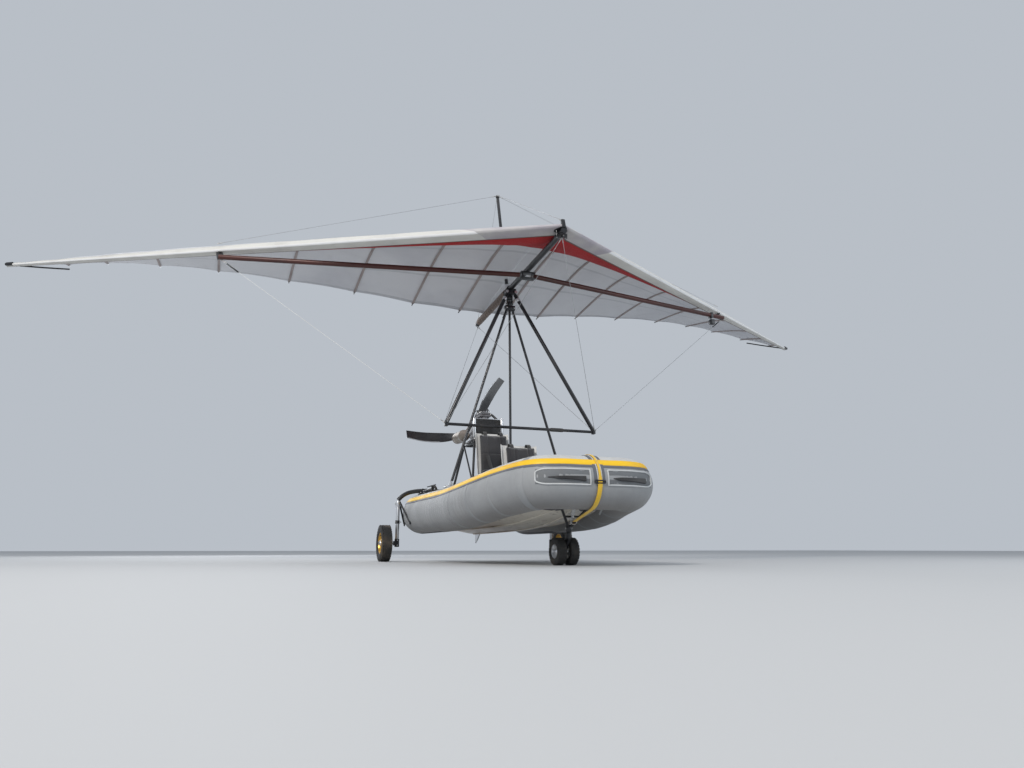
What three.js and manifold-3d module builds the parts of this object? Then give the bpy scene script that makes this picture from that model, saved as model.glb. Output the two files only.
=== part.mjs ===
// Amphibious ultralight trike: an inflatable boat with a V-bottom hull, a pylon, a pusher engine,
// a fixed wheeled gear and a flexible wing that hangs from the pylon head.
// Millimetres. X to port, Y aft, Z up, ground at Z 0. The bow looks along -Y.
// A station is a Y value before the last shift, which puts the origin in the middle of the box.
import * as THREE from 'three';
import { mergeVertices } from 'three/addons/utils/BufferGeometryUtils.js';
import Module from 'manifold-3d';

const wasm = await Module();
wasm.setup();

const GAP = 0.3;                 // play between pieces that touch
const ORIGIN_STATION = -70;      // station of the box's middle
const SIDES = [['port', 1], ['starboard', -1]];

// Boat
const TUBE_R = 232;              // buoyancy tube radius
const TUBE_FACETS = 20;
const TUBE_Z = 559;              // height of the tube's centre line aft
const BOW_Y = -2143;             // centre line of the bow tube
const BOW_Z = 711;
const TUBE_X = 672;              // half distance between the side tubes
const FLOOR_Z = 505;
const TRANSOM_Y = 1060;
const TRANSOM_T = 28;
const TRANSOM_TOP = 640;

// Wheels and gear
const WHEEL_R = 211;
const WHEEL_W = 125;
const WHEEL_Y = 953;
const HALF_TRACK = 1140;
const AXLE_R = 12;
const LEG_X = 990;
const NOSE_WHEEL_R = 125;
const NOSE_WHEEL_W = 88;
const NOSE_WHEEL_X = 63;         // half distance between the twin nose wheels
const NOSE_WHEEL_Y = -1627;
const STEER_Y = -1735;           // steering pin
const HEAD_BOTTOM = 300;         // lower face of the steering head
const HEAD_TOP = 360;

// Pylon and hang point
const PIVOT_Y = -187;            // hang bolt
const PIVOT_Z = 2930;
const KEEL_ABOVE_PIVOT = 170;
const WING_PITCH = THREE.MathUtils.degToRad(4.43);
const STRUT_R = 15;
const STRUT_FOOT_X = 680;
const MAST_LEAN = 53;            // the mast's foot lies this far ahead of its head

// Engine and propeller
const PROP_Y = 1165;
const PROP_Z = 1580;
const PROP_R = 850;
const BED_Z = 1400;              // centre line of the engine bed's rails
const BED_X = 170;

// Wing, in its own frame: origin on the keel's axis above the hang bolt
const HALF_SPAN = 5450;
const NOSE_Y = -1568;
const SWEEP = 0.6065;            // leading edge, aft per outward
const KEEL_R = 31;
const KEEL_TAIL = 1190;
const SKIN_T = 5;
const JUNCTION_X = 3210;         // where the crossbar meets the leading edge
const CROSS_Y = -570;            // the crossbar's middle
const CROSS_Z = -66;
const CROSS_R = 27;
const APEX_Y = -52;
const CORNER_X = 846;            // control frame corners
const CORNER_Y = -280;
const CORNER_Z = -1712;
const DOWNTUBE_R = 22;
const BAR_R = 16;
const WIRE_R = 2.5;
const KINGPOST_TOP = [0, 310, 1370];
const KINGPOST_FOOT = [0, 60, 20];

const FINISH = {
  tubeFabric: [0xb9bbbd, 0.75, 0],
  yellow: [0xf2c21a, 0.6, 0],
  gelcoat: [0xcfc8bb, 0.4, 0],
  sailWhite: [0xe4e6ea, 0.7, 0],
  sailPale: [0xd3d7de, 0.8, 0],
  sailRed: [0xb01b22, 0.7, 0],
  blackTube: [0x15161a, 0.45, 0.4],
  darkBrown: [0x3a1d1b, 0.5, 0.3],
  silver: [0xbfc3c8, 0.3, 1],
  gold: [0xa98436, 0.4, 0.8],
  rubber: [0x131313, 0.85, 0],
  engine: [0x4b4d50, 0.5, 0.7],
  steelWire: [0x6c6f73, 0.4, 0.9],
  cloth: [0x1b1c1f, 0.9, 0],
  tank: [0xd9d4c0, 0.5, 0],
};

const materials = {};
for (const [name, [color, roughness, metalness]] of Object.entries(FINISH)) {
  materials[name] = new THREE.MeshStandardMaterial({ name, color, roughness, metalness });
}

// Basic shapes

const vec = ([x, y, z]) => new THREE.Vector3(x, y, z);
const mirror = (point, side) => [point[0] * side, point[1], point[2]];

function geometryOf(positions, triangles) {
  const geometry = new THREE.BufferGeometry();
  geometry.setAttribute('position', new THREE.Float32BufferAttribute(positions, 3));
  let volume = 0;
  const at = (i) => new THREE.Vector3().fromArray(positions, i * 3);
  for (let i = 0; i < triangles.length; i += 3) {
    volume += at(triangles[i]).dot(at(triangles[i + 1]).cross(at(triangles[i + 2])));
  }
  if (volume < 0) {
    for (let i = 0; i < triangles.length; i += 3) {
      [triangles[i + 1], triangles[i + 2]] = [triangles[i + 2], triangles[i + 1]];
    }
  }
  geometry.setIndex(triangles);
  return geometry;
}

function toSolid(geometry) {
  const bare = geometry.clone();
  bare.deleteAttribute('normal');
  bare.deleteAttribute('uv');
  const merged = mergeVertices(bare, 1e-3);
  return new wasm.Manifold(new wasm.Mesh({
    numProp: 3,
    vertProperties: new Float32Array(merged.attributes.position.array),
    triVerts: new Uint32Array(merged.index.array),
  }));
}

function toGeometry(solid) {
  const mesh = solid.getMesh();
  const geometry = new THREE.BufferGeometry();
  geometry.setAttribute('position', new THREE.BufferAttribute(mesh.vertProperties, 3));
  geometry.setIndex(new THREE.BufferAttribute(mesh.triVerts, 1));
  return geometry;
}

function join(...geometries) {
  return toGeometry(geometries.map(toSolid).reduce((whole, next) => whole.add(next)));
}

function cut(geometry, ...cutters) {
  return toGeometry(cutters.map(toSolid).reduce((whole, next) => whole.subtract(next), toSolid(geometry)));
}

// A neighbour and its copies moved by the gap each way: what is cut by them keeps clear of it.
function around(neighbour) {
  const shifts = [[0, 0, 0], [GAP, 0, 0], [-GAP, 0, 0], [0, GAP, 0], [0, -GAP, 0], [0, 0, GAP], [0, 0, -GAP]];
  return shifts.map((shift) => neighbour.clone().translate(...shift));
}

// Rings of equal length, joined in order, with fan ends. Rings are convex.
function loft(rings) {
  const count = rings[0].length;
  const positions = rings.flat().flatMap((p) => [p.x, p.y, p.z]);
  const triangles = [];
  for (let r = 0; r + 1 < rings.length; r += 1) {
    for (let i = 0; i < count; i += 1) {
      const a = r * count + i;
      const b = r * count + ((i + 1) % count);
      triangles.push(a, b, b + count, a, b + count, a + count);
    }
  }
  const last = (rings.length - 1) * count;
  for (let i = 1; i + 1 < count; i += 1) {
    triangles.push(0, i + 1, i, last, last + i, last + i + 1);
  }
  return geometryOf(positions, triangles);
}

// A thin body between two grids of points with the same rows and columns.
function plate(top, bottom) {
  const rows = top.length;
  const columns = top[0].length;
  const positions = [...top.flat(), ...bottom.flat()].flat();
  const offset = rows * columns;
  const at = (r, c) => r * columns + c;
  const triangles = [];
  for (let r = 0; r + 1 < rows; r += 1) {
    for (let c = 0; c + 1 < columns; c += 1) {
      const quad = [at(r, c), at(r, c + 1), at(r + 1, c + 1), at(r + 1, c)];
      triangles.push(quad[0], quad[1], quad[2], quad[0], quad[2], quad[3]);
      triangles.push(offset + quad[0], offset + quad[2], offset + quad[1]);
      triangles.push(offset + quad[0], offset + quad[3], offset + quad[2]);
    }
  }
  const rim = [];
  for (let c = 0; c + 1 < columns; c += 1) rim.push(at(0, c));
  for (let r = 0; r + 1 < rows; r += 1) rim.push(at(r, columns - 1));
  for (let c = columns - 1; c > 0; c -= 1) rim.push(at(rows - 1, c));
  for (let r = rows - 1; r > 0; r -= 1) rim.push(at(r, 0));
  rim.forEach((a, i) => {
    const b = rim[(i + 1) % rim.length];
    triangles.push(b, a, offset + a, b, offset + a, offset + b);
  });
  return geometryOf(positions, triangles);
}

// A round bar, or a cone where its tip has another radius.
function rod(from, to, radius, facets = 12, tip = radius) {
  const a = vec(from);
  const b = vec(to);
  const along = b.clone().sub(a);
  const geometry = new THREE.CylinderGeometry(tip, radius, along.length(), facets);
  const turn = new THREE.Quaternion().setFromUnitVectors(new THREE.Vector3(0, 1, 0), along.clone().normalize());
  geometry.applyQuaternion(turn);
  geometry.translate(...a.add(b).multiplyScalar(0.5).toArray());
  return geometry;
}

function box([x0, y0, z0], [x1, y1, z1]) {
  const geometry = new THREE.BoxGeometry(x1 - x0, y1 - y0, z1 - z0);
  return geometry.translate((x0 + x1) / 2, (y0 + y1) / 2, (z0 + z1) / 2);
}

// A box whose upright edges and rims are bevelled.
function softBox([x0, y0, z0], [x1, y1, z1], bevel) {
  const ring = (z, inset) => {
    const [a, b, c, d] = [x0 + inset, x1 - inset, y0 + inset, y1 - inset];
    return [[a + bevel, c], [b - bevel, c], [b, c + bevel], [b, d - bevel],
      [b - bevel, d], [a + bevel, d], [a, d - bevel], [a, c + bevel]].map(([x, y]) => new THREE.Vector3(x, y, z));
  };
  return loft([ring(z0, bevel / 2), ring(z0 + bevel / 2, 0), ring(z1 - bevel / 2, 0), ring(z1, bevel / 2)]);
}

// Mitred sweep of a section along corner points. section(i) gives [sideways, up] pairs.
function sweep(points, section) {
  const path = points.map(vec);
  const up = new THREE.Vector3(0, 0, 1);
  const rings = path.map((point, i) => {
    const before = i > 0 ? point.clone().sub(path[i - 1]).normalize() : null;
    const after = i + 1 < path.length ? path[i + 1].clone().sub(point).normalize() : null;
    const tangent = (before ?? after).clone().add(after ?? before).normalize();
    const flat = Math.abs(tangent.z) > 0.999 ? new THREE.Vector3(1, 0, 0) : tangent.clone().cross(up).normalize();
    const rise = flat.clone().cross(tangent);
    const stretch = 1 / (before ?? after).dot(tangent);
    return section(i).map(([side, height]) => point.clone()
      .addScaledVector(flat, side * (Math.abs(tangent.z) > 0.5 ? 1 : stretch))
      .addScaledVector(rise, height));
  });
  return loft(rings);
}

function circle(radius, facets, turn = 0) {
  return Array.from({ length: facets }, (_, i) => {
    const angle = turn + (i * 2 * Math.PI) / facets;
    return [radius * Math.cos(angle), radius * Math.sin(angle)];
  });
}

function bentTube(points, radius, facets = 10) {
  return sweep(points, () => circle(radius, facets));
}

// A flat outline in Y and Z, given its thickness along X about x.
function sidePlate(outline, x, thickness) {
  const near = outline.map(([y, z]) => new THREE.Vector3(x - thickness / 2, y, z));
  const far = outline.map(([y, z]) => new THREE.Vector3(x + thickness / 2, y, z));
  return loft([near, far]);
}

// The same with its two faces drawn in round their rims, as on a cushion.
function cushion(outline, width, edge) {
  const middle = [0, 1].map((k) => outline.reduce((sum, point) => sum + point[k], 0) / outline.length);
  const reach = Math.min(...outline.map((point) => Math.hypot(point[0] - middle[0], point[1] - middle[1])));
  const share = 1 - edge / reach;
  const drawn = outline.map((point) => point.map((value, k) => middle[k] + (value - middle[k]) * share));
  const ring = (points, x) => points.map(([y, z]) => new THREE.Vector3(x, y, z));
  return loft([ring(drawn, -width / 2), ring(outline, edge - width / 2), ring(outline, width / 2 - edge),
    ring(drawn, width / 2)]);
}

// A ring turned about the X axis: the profile holds [along X, radius] pairs and closes on itself.
function turnedAboutX(profile, centre, facets) {
  const points = profile.map(([along, radius]) => new THREE.Vector2(radius, along));
  points.push(points[0].clone());
  const ring = new THREE.LatheGeometry(points, facets);
  ring.rotateZ(-Math.PI / 2);
  ring.translate(...centre);
  return geometryOf([...ring.attributes.position.array], [...ring.index.array]);
}

// Craft

const craft = new THREE.Group();
craft.position.y = -ORIGIN_STATION;
const wingPivot = new THREE.Group();
wingPivot.position.set(0, PIVOT_Y, PIVOT_Z);
wingPivot.rotation.x = -WING_PITCH;
const wing = new THREE.Group();
wing.position.z = KEEL_ABOVE_PIVOT;
wingPivot.add(wing);
craft.add(wingPivot);

function add(group, name, geometry, finish) {
  const solid = toSolid(geometry);
  const mesh = new THREE.Mesh(toGeometry(solid), materials[finish]);
  mesh.name = name;
  group.add(mesh);
  return mesh.geometry;
}

// Buoyancy tubes: columns are x, y, z and the tube's radius, from the bow's middle aft
const TUBE_PATH = [
  [0, BOW_Y, BOW_Z, TUBE_R],
  [310, BOW_Y, BOW_Z, TUBE_R],
  [430, -2040, 705, TUBE_R],
  [545, -1620, 668, TUBE_R],
  [625, -1250, 620, TUBE_R],
  [668, -850, 580, TUBE_R],
  [TUBE_X, -400, 562, TUBE_R],
  [TUBE_X, 1040, TUBE_Z, TUBE_R],
  [TUBE_X, 1230, 575, 180],
  [TUBE_X, 1390, 595, 100],
  [TUBE_X, 1430, 600, 60],
];
const SEAM = 2;                  // row of the path where the bow tube ends

function tubeSection(row, extra) {
  return circle(TUBE_PATH[row][3] + extra, TUBE_FACETS);
}

function bowTube(extra = 0) {
  const rows = [3, 2, 1, 0, 1, 2, 3];
  const points = rows.map((row, i) => mirror(TUBE_PATH[row], i < 3 ? -1 : 1));
  return sweep(points, (i) => tubeSection(rows[i], extra));
}

function sideTube(side, extra = 0) {
  const rows = TUBE_PATH.map((_, row) => row).filter((row) => row >= SEAM);
  const guide = [SEAM - 1, ...rows];
  const points = guide.map((row) => mirror(TUBE_PATH[row], side));
  return sweep(points, (i) => tubeSection(guide[i], extra));
}

// The bow tube and a side tube meet at a mitre: a slab that ends there takes off what lies
// ahead of it (way -1) or behind it (way 1).
const SLAB_W = 900;              // wider than a tube
const SLAB_T = 700;
function seamSlab(side, way) {
  const [a, b, c] = [SEAM - 1, SEAM, SEAM + 1].map((row) => vec(mirror(TUBE_PATH[row], side)));
  const tangent = b.clone().sub(a).normalize().add(c.clone().sub(b).normalize()).normalize();
  const slab = new THREE.BoxGeometry(SLAB_W, SLAB_W, SLAB_T);
  slab.translate(0, 0, way * (SLAB_T - GAP) / 2);
  slab.applyQuaternion(new THREE.Quaternion().setFromUnitVectors(new THREE.Vector3(0, 0, 1), tangent));
  return slab.translate(...b.toArray());
}

add(craft, 'bow_tube', cut(bowTube(), seamSlab(1, 1), seamSlab(-1, 1)), 'tubeFabric');
for (const [name, side] of SIDES) {
  add(craft, `side_tube_${name}`, cut(sideTube(side), seamSlab(side, -1)), 'tubeFabric');
}
const fatTubes = [bowTube(GAP), sideTube(1, GAP), sideTube(-1, GAP)];

// Yellow rub strake on the outer upper quarter of the tubes, all round
const STRAKE_FROM = THREE.MathUtils.degToRad(36);
const STRAKE_TO = THREE.MathUtils.degToRad(54);
const STRAKE_IN = 0.6;
const STRAKE_OUT = 5;
const STRAKE_END = 8;            // last row of the path that carries it

function strake() {
  const half = TUBE_PATH.map((_, row) => row).filter((row) => row > 0 && row <= STRAKE_END);
  const rows = [...half].reverse().concat([0], half);
  const points = rows.map((row, i) => mirror(TUBE_PATH[row], i < half.length ? -1 : 1));
  return sweep(points, (i) => {
    const radius = TUBE_PATH[rows[i]][3];
    const corner = (angle, extra) => [(radius + extra) * Math.cos(angle), (radius + extra) * Math.sin(angle)];
    return [corner(STRAKE_FROM, STRAKE_IN), corner(STRAKE_FROM, STRAKE_OUT),
      corner(STRAKE_TO, STRAKE_OUT), corner(STRAKE_TO, STRAKE_IN)];
  });
}
add(craft, 'rub_strake', cut(strake(), ...fatTubes), 'yellow');

// Hull: columns are station, half width at the chine, keel height, chine height, floor height
const HULL_HALF = 475;
const HULL_ROWS = [
  [TRANSOM_Y - GAP, HULL_HALF, 323, 440, FLOOR_Z],
  [0, HULL_HALF, 330, 440, FLOOR_Z],
  [-900, 455, 350, 455, FLOOR_Z + 5],
  [-1500, 380, 410, 510, 545],
  [-1800, 260, 480, 560, 590],
  [-1940, 190, 545, 592, 612],
];

const SKEG = [[820, 340], [1000, 340], [1000, 216], [930, 250]];
const SKEG_T = 14;

function hull() {
  const rings = HULL_ROWS.map(([y, half, keel, chine, floor]) => [
    new THREE.Vector3(0, y, keel),
    new THREE.Vector3(half, y, chine),
    new THREE.Vector3(half, y, floor),
    new THREE.Vector3(-half, y, floor),
    new THREE.Vector3(-half, y, chine),
  ]);
  return join(cut(loft(rings), ...fatTubes), sidePlate(SKEG, 0, SKEG_T));
}
const hullSolid = add(craft, 'hull', hull(), 'gelcoat');
const lowered = hullSolid.clone().translate(0, 0, -GAP);
const raised = hullSolid.clone().translate(0, 0, GAP);

const TRANSOM_KEEL = 326;
const TRANSOM_CHINE = 443;
const transom = cut(
  loft([TRANSOM_Y, TRANSOM_Y + TRANSOM_T].map((y) => [
    new THREE.Vector3(0, y, TRANSOM_KEEL),
    new THREE.Vector3(HULL_HALF, y, TRANSOM_CHINE),
    new THREE.Vector3(HULL_HALF, y, TRANSOM_TOP),
    new THREE.Vector3(-HULL_HALF, y, TRANSOM_TOP),
    new THREE.Vector3(-HULL_HALF, y, TRANSOM_CHINE),
  ])),
  ...fatTubes,
);
add(craft, 'transom', transom, 'gelcoat');

// Pylon: two side struts on the tubes, a mast on the floor, and the head that carries the bolt
const HEAD_BLOCK_LOW = 2840;
const HEAD_BLOCK_TOP = 2900;
const HEAD_HALF_X = 60;
const HEAD_HALF_Y = 32;
const LUG_HALF = 20;
const LUG_R = 30;
const BOLT_R = 8;
const STRUT_TOP = [40, PIVOT_Y, HEAD_BLOCK_LOW + 10];
const FOOT_PAD = [60, 45];       // half sizes of a strut's pad on its tube
const MAST_R = 14;
const MAST_PAD = 45;

const lug = join(
  box([-LUG_HALF, PIVOT_Y - LUG_R, HEAD_BLOCK_TOP - 10], [LUG_HALF, PIVOT_Y + LUG_R, PIVOT_Z]),
  rod([-LUG_HALF, PIVOT_Y, PIVOT_Z], [LUG_HALF, PIVOT_Y, PIVOT_Z], LUG_R, 24),
  box([-HEAD_HALF_X, PIVOT_Y - HEAD_HALF_Y, HEAD_BLOCK_LOW], [HEAD_HALF_X, PIVOT_Y + HEAD_HALF_Y, HEAD_BLOCK_TOP]),
);
const headSolid = add(craft, 'pylon_head',
  cut(lug, rod([-HEAD_HALF_X, PIVOT_Y, PIVOT_Z], [HEAD_HALF_X, PIVOT_Y, PIVOT_Z], BOLT_R + 0.5, 24)), 'blackTube');
const headClear = headSolid.clone().translate(0, 0, -GAP);

for (const [name, side] of SIDES) {
  const foot = [side * STRUT_FOOT_X, PIVOT_Y, TUBE_Z + TUBE_R + 4];
  const strut = join(
    rod(mirror(STRUT_TOP, side), foot, STRUT_R, 14),
    box([foot[0] - FOOT_PAD[0], foot[1] - FOOT_PAD[1], TUBE_Z + TUBE_R - 20],
      [foot[0] + FOOT_PAD[0], foot[1] + FOOT_PAD[1], foot[2] + 6]),
  );
  add(craft, `pylon_strut_${name}`, cut(strut, headClear, ...fatTubes), 'blackTube');
}
const MAST_FOOT_Y = PIVOT_Y - MAST_LEAN;
const mast = join(
  rod([0, PIVOT_Y, HEAD_BLOCK_LOW + 10], [0, MAST_FOOT_Y, FLOOR_Z + 5], MAST_R, 14),
  box([-MAST_PAD, MAST_FOOT_Y - MAST_PAD, FLOOR_Z - 5], [MAST_PAD, MAST_FOOT_Y + MAST_PAD, FLOOR_Z + 12]),
);
add(craft, 'mast', cut(mast, headClear, raised), 'blackTube');

// Seats on their frame
const RAIL_X = 190;
const RAIL_R = 13;
const LOW_RAIL_Z = 785;
const HIGH_RAIL_Z = 901;

const LOW_RAIL = [-970, 340];    // where a rail begins and ends
const HIGH_RAIL = [-160, 340];
const LOW_POSTS = [-930, -300, 320];
const HIGH_POSTS = [-130, 320];

function seatFrame() {
  const pieces = [];
  for (const [, side] of SIDES) {
    const x = side * RAIL_X;
    pieces.push(rod([x, LOW_RAIL[0], LOW_RAIL_Z], [x, LOW_RAIL[1], LOW_RAIL_Z], RAIL_R, 8));
    pieces.push(rod([x, HIGH_RAIL[0], HIGH_RAIL_Z], [x, HIGH_RAIL[1], HIGH_RAIL_Z], RAIL_R, 8));
    for (const y of LOW_POSTS) pieces.push(rod([x, y, FLOOR_Z - 4], [x, y, LOW_RAIL_Z], RAIL_R, 8));
    for (const y of HIGH_POSTS) pieces.push(rod([x, y, LOW_RAIL_Z], [x, y, HIGH_RAIL_Z], RAIL_R, 8));
  }
  for (const y of LOW_POSTS) pieces.push(rod([-RAIL_X, y, LOW_RAIL_Z], [RAIL_X, y, LOW_RAIL_Z], RAIL_R, 8));
  pieces.push(rod([-RAIL_X, HIGH_POSTS[1], HIGH_RAIL_Z], [RAIL_X, HIGH_POSTS[1], HIGH_RAIL_Z], RAIL_R, 8));
  return cut(join(...pieces), raised);
}
add(craft, 'seat_frame', seatFrame(), 'blackTube');

// Seat outlines: columns are y and z
const PILOT_SEAT_Z = LOW_RAIL_Z + RAIL_R + GAP;
const REAR_SEAT_Z = HIGH_RAIL_Z + RAIL_R + GAP;
const PILOT_SEAT = [[-960, 872], [-600, 862], [-505, 1250], [-445, 1240], [-530, PILOT_SEAT_Z],
  [-960, PILOT_SEAT_Z]];
const REAR_SEAT = [[-160, 1000], [290, 985], [372, 1500], [432, 1490], [355, REAR_SEAT_Z], [-160, REAR_SEAT_Z]];

const SEAT_W = 420;
const BACK_W = 380;
const SEAT_EDGE = 22;            // how far a cushion's rim is drawn in

function seat([front, crook, top, topRear, heel, frontLow]) {
  const base = cushion([front, crook, heel, frontLow], SEAT_W, SEAT_EDGE);
  const back = cushion([crook, top, topRear, heel], BACK_W, SEAT_EDGE);
  return join(base, back);
}
add(craft, 'pilot_seat', seat(PILOT_SEAT), 'cloth');
add(craft, 'rear_seat', seat(REAR_SEAT), 'cloth');

const FOOT_BAR_Y = -1450;
const FOOT_BAR_Z = 660;
const FOOT_BAR_HALF = 300;
const FOOT_BAR_R = 13;
const FOOT_POST_X = 120;
const FOOT_POST_LOW = 530;       // inside the floor, before it is cut by it
const FOOT_TIE_Z = 600;
const footBar = join(
  rod([-FOOT_BAR_HALF, FOOT_BAR_Y, FOOT_BAR_Z], [FOOT_BAR_HALF, FOOT_BAR_Y, FOOT_BAR_Z], FOOT_BAR_R, 10),
  ...SIDES.map(([, side]) => rod([side * FOOT_POST_X, FOOT_BAR_Y, FOOT_BAR_Z],
    [side * FOOT_POST_X, FOOT_BAR_Y, FOOT_POST_LOW], FOOT_BAR_R, 10)),
  rod([-FOOT_POST_X, FOOT_BAR_Y, FOOT_TIE_Z], [FOOT_POST_X, FOOT_BAR_Y, FOOT_TIE_Z], 10, 10),
);
add(craft, 'foot_bar', cut(footBar, raised), 'silver');

// Engine bed on long legs: to the transom, to the floor ahead, and back up from the seat frame's height
const BED_FRONT = 560;
const BED_BACK = 980;
const BED_R = 15;
const BED_BRACE_R = 11;
const BED_CROSS_R = 12;
const ENGINE_MOUNTS_Y = [690, 870];
const MOUNT_X = 130;
const MOUNT_R = 20;
const CRANK_LOW = BED_Z + 29 + GAP;     // the engine's foot, on its rubber mounts
const TRANSOM_LEG = [330, TRANSOM_Y + TRANSOM_T / 2, TRANSOM_TOP + 8];
const FLOOR_LEG = [300, 250, FLOOR_Z - 2];
const BRACE_LOW = [240, 400, 900];
const LEG_PAD_X = 45;
const RADIATOR_LOW = BED_Z + 60;

function engineBed() {
  const pieces = [];
  for (const [, side] of SIDES) {
    const rail = (y, z = BED_Z) => [side * BED_X, y, z];
    const pad = [side * TRANSOM_LEG[0], TRANSOM_Y];
    pieces.push(rod(rail(BED_FRONT - 20), rail(BED_BACK + 20), BED_R, 8));
    pieces.push(rod(rail(BED_BACK), mirror(TRANSOM_LEG, side), BED_R, 8));
    pieces.push(rod(rail(BED_FRONT), mirror(FLOOR_LEG, side), BED_R, 8));
    pieces.push(rod(rail(BED_BACK), mirror(BRACE_LOW, side), BED_BRACE_R, 6));
    pieces.push(rod([side * 150, BED_FRONT, BED_Z], [side * 150, BED_FRONT, RADIATOR_LOW], 10, 6));
    pieces.push(box([pad[0] - LEG_PAD_X, pad[1], TRANSOM_TOP + GAP],
      [pad[0] + LEG_PAD_X, pad[1] + TRANSOM_T, TRANSOM_TOP + 12]));
    for (const y of ENGINE_MOUNTS_Y) {
      pieces.push(rod([side * MOUNT_X, y, BED_Z - 5], [side * MOUNT_X, y, CRANK_LOW - GAP], MOUNT_R, 8));
    }
  }
  for (const y of [BED_FRONT, ...ENGINE_MOUNTS_Y, BED_BACK]) {
    pieces.push(rod([-BED_X, y, BED_Z], [BED_X, y, BED_Z], BED_CROSS_R, 6));
  }
  return cut(join(...pieces), raised, transom);
}
const bedSolid = add(craft, 'engine_bed', engineBed(), 'blackTube');

// Engine: two upright cylinders in a row, carburettors to port, ports to starboard, the gearbox astern
const CRANK_Z = 1508;
const CYLINDERS_Y = [712, 838];
const CASE_FRONT = 650;
const CASE_BACK = 910;
const HEAD_Z = 1745;
const INTAKE_Z = 1666;
const PORT_Z = 1650;
const PORT_END = -110;

function engine() {
  const pieces = [
    box([-150, CASE_FRONT, CRANK_LOW], [150, CASE_BACK, CRANK_LOW + 30]),
    rod([0, CASE_FRONT - 2, CRANK_Z], [0, CASE_BACK, CRANK_Z], 78, 20),
    softBox([-84, CASE_FRONT, CRANK_LOW + 20], [84, CASE_BACK, 1580], 16),
    rod([0, CASE_FRONT - 22, CRANK_Z], [0, CASE_FRONT, CRANK_Z], 66, 20, 76),
    rod([0, CASE_BACK - 4, CRANK_Z + 12], [0, 1040, CRANK_Z + 12], 78, 20),
    rod([0, CASE_BACK - 4, PROP_Z + 10], [0, 1040, PROP_Z + 10], 86, 20),
    rod([0, 1030, PROP_Z], [0, PROP_Y - 45, PROP_Z], 42, 16),
    softBox([-70, CASE_FRONT - 4, HEAD_Z - 16], [70, 902, HEAD_Z + 44], 16),
    rod([0, 690, HEAD_Z + 46], [0, 870, HEAD_Z + 46], 20, 10),
  ];
  for (const y of CYLINDERS_Y) {
    pieces.push(rod([0, y, 1560], [0, y, HEAD_Z], 60, 18));
    pieces.push(rod([30, y, INTAKE_Z], [150, y, INTAKE_Z], 22, 10));
    pieces.push(rod([112, y, INTAKE_Z - 66], [112, y, INTAKE_Z], 24, 10));
    pieces.push(rod([140, y, INTAKE_Z], [238, y, INTAKE_Z], 48, 16, 38));
    pieces.push(rod([PORT_END, y, PORT_Z], [-40, y, PORT_Z], 27, 12));
    for (const [, side] of SIDES) pieces.push(rod([side * 38, y, HEAD_Z + 30], [side * 46, y, HEAD_Z + 92], 9, 8));
  }
  return join(...pieces);
}
const engineSolid = add(craft, 'engine', engine(), 'engine');

// Radiator: a core between two round tanks, with its hoses
const RADIATOR_TOP = 1690;
const RADIATOR_X = 175;
const HOSE_R = 14;

function radiator() {
  const low = RADIATOR_LOW + GAP;
  const y = BED_FRONT - 1;
  const pieces = [
    box([-RADIATOR_X, y - 23, low], [RADIATOR_X, y + 23, RADIATOR_TOP]),
    bentTube([[150, y + 20, 1665], [118, 620, 1712], [76, 652, 1758], [50, 678, 1764]], HOSE_R, 10),
    bentTube([[-150, y + 20, 1492], [-128, 612, 1480], [-70, 665, 1478]], HOSE_R, 10),
  ];
  for (const [, side] of SIDES) {
    pieces.push(rod([side * RADIATOR_X, y, low], [side * RADIATOR_X, y, RADIATOR_TOP], 25, 12));
  }
  return cut(join(...pieces), ...around(engineSolid), ...around(bedSolid));
}
add(craft, 'radiator', radiator(), 'blackTube');

// Exhaust: two headers into a silencer with cone ends
const SILENCER = [-265, 1490];   // x and z of its axis
const SILENCER_R = 68;
const TAIL_R = 20;

function exhaust() {
  const [x, z] = SILENCER;
  const pieces = [
    bentTube([[PORT_END - 0.5, CYLINDERS_Y[0], PORT_Z], [-165, CYLINDERS_Y[0], PORT_Z], [-200, 660, 1600],
      [-250, 640, 1520]], 24, 12),
    bentTube([[PORT_END - 0.5, CYLINDERS_Y[1], PORT_Z], [-165, CYLINDERS_Y[1], PORT_Z], [-190, 700, 1625]],
      20, 12),
    rod([x, 560, z], [x, 670, z], 30, 20, SILENCER_R),
    rod([x, 670, z], [x, 960, z], SILENCER_R, 20),
    rod([x, 960, z], [x, 1040, z], SILENCER_R, 20, TAIL_R + 4),
    rod([x, 1030, z], [x, 1065, z], TAIL_R, 12),
    box([x, 700, BED_Z - 12], [-150, 724, BED_Z + 30]),
  ];
  return cut(join(...pieces), ...around(engineSolid), ...around(bedSolid));
}
add(craft, 'exhaust', exhaust(), 'silver');

const TANK_X = 190;
add(craft, 'fuel_tank', softBox([-TANK_X, 480, FLOOR_Z + GAP], [TANK_X, 860, 760], 30), 'tank');

// Propeller: columns are radius, chord, twist in degrees, sweep back, thickness
const BLADE_ROWS = [
  [48, 62, 58, 0, 34],
  [180, 100, 42, -12, 24],
  [400, 140, 28, -22, 17],
  [640, 132, 20, 0, 12],
  [PROP_R, 104, 15, 46, 8],
];
const BLADE_COUNT = 3;
const BLADE_STEPS = 3;           // sections between two rows
const BLADE_TURN = THREE.MathUtils.degToRad(24.4);
const AEROFOIL = [[-0.5, 0.02], [-0.42, 0.3], [-0.25, 0.46], [0, 0.5], [0.25, 0.34], [0.5, 0.06], [0.25, -0.14],
  [0, -0.22], [-0.25, -0.24], [-0.42, -0.16]];
const HUB_R = 56;

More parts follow.
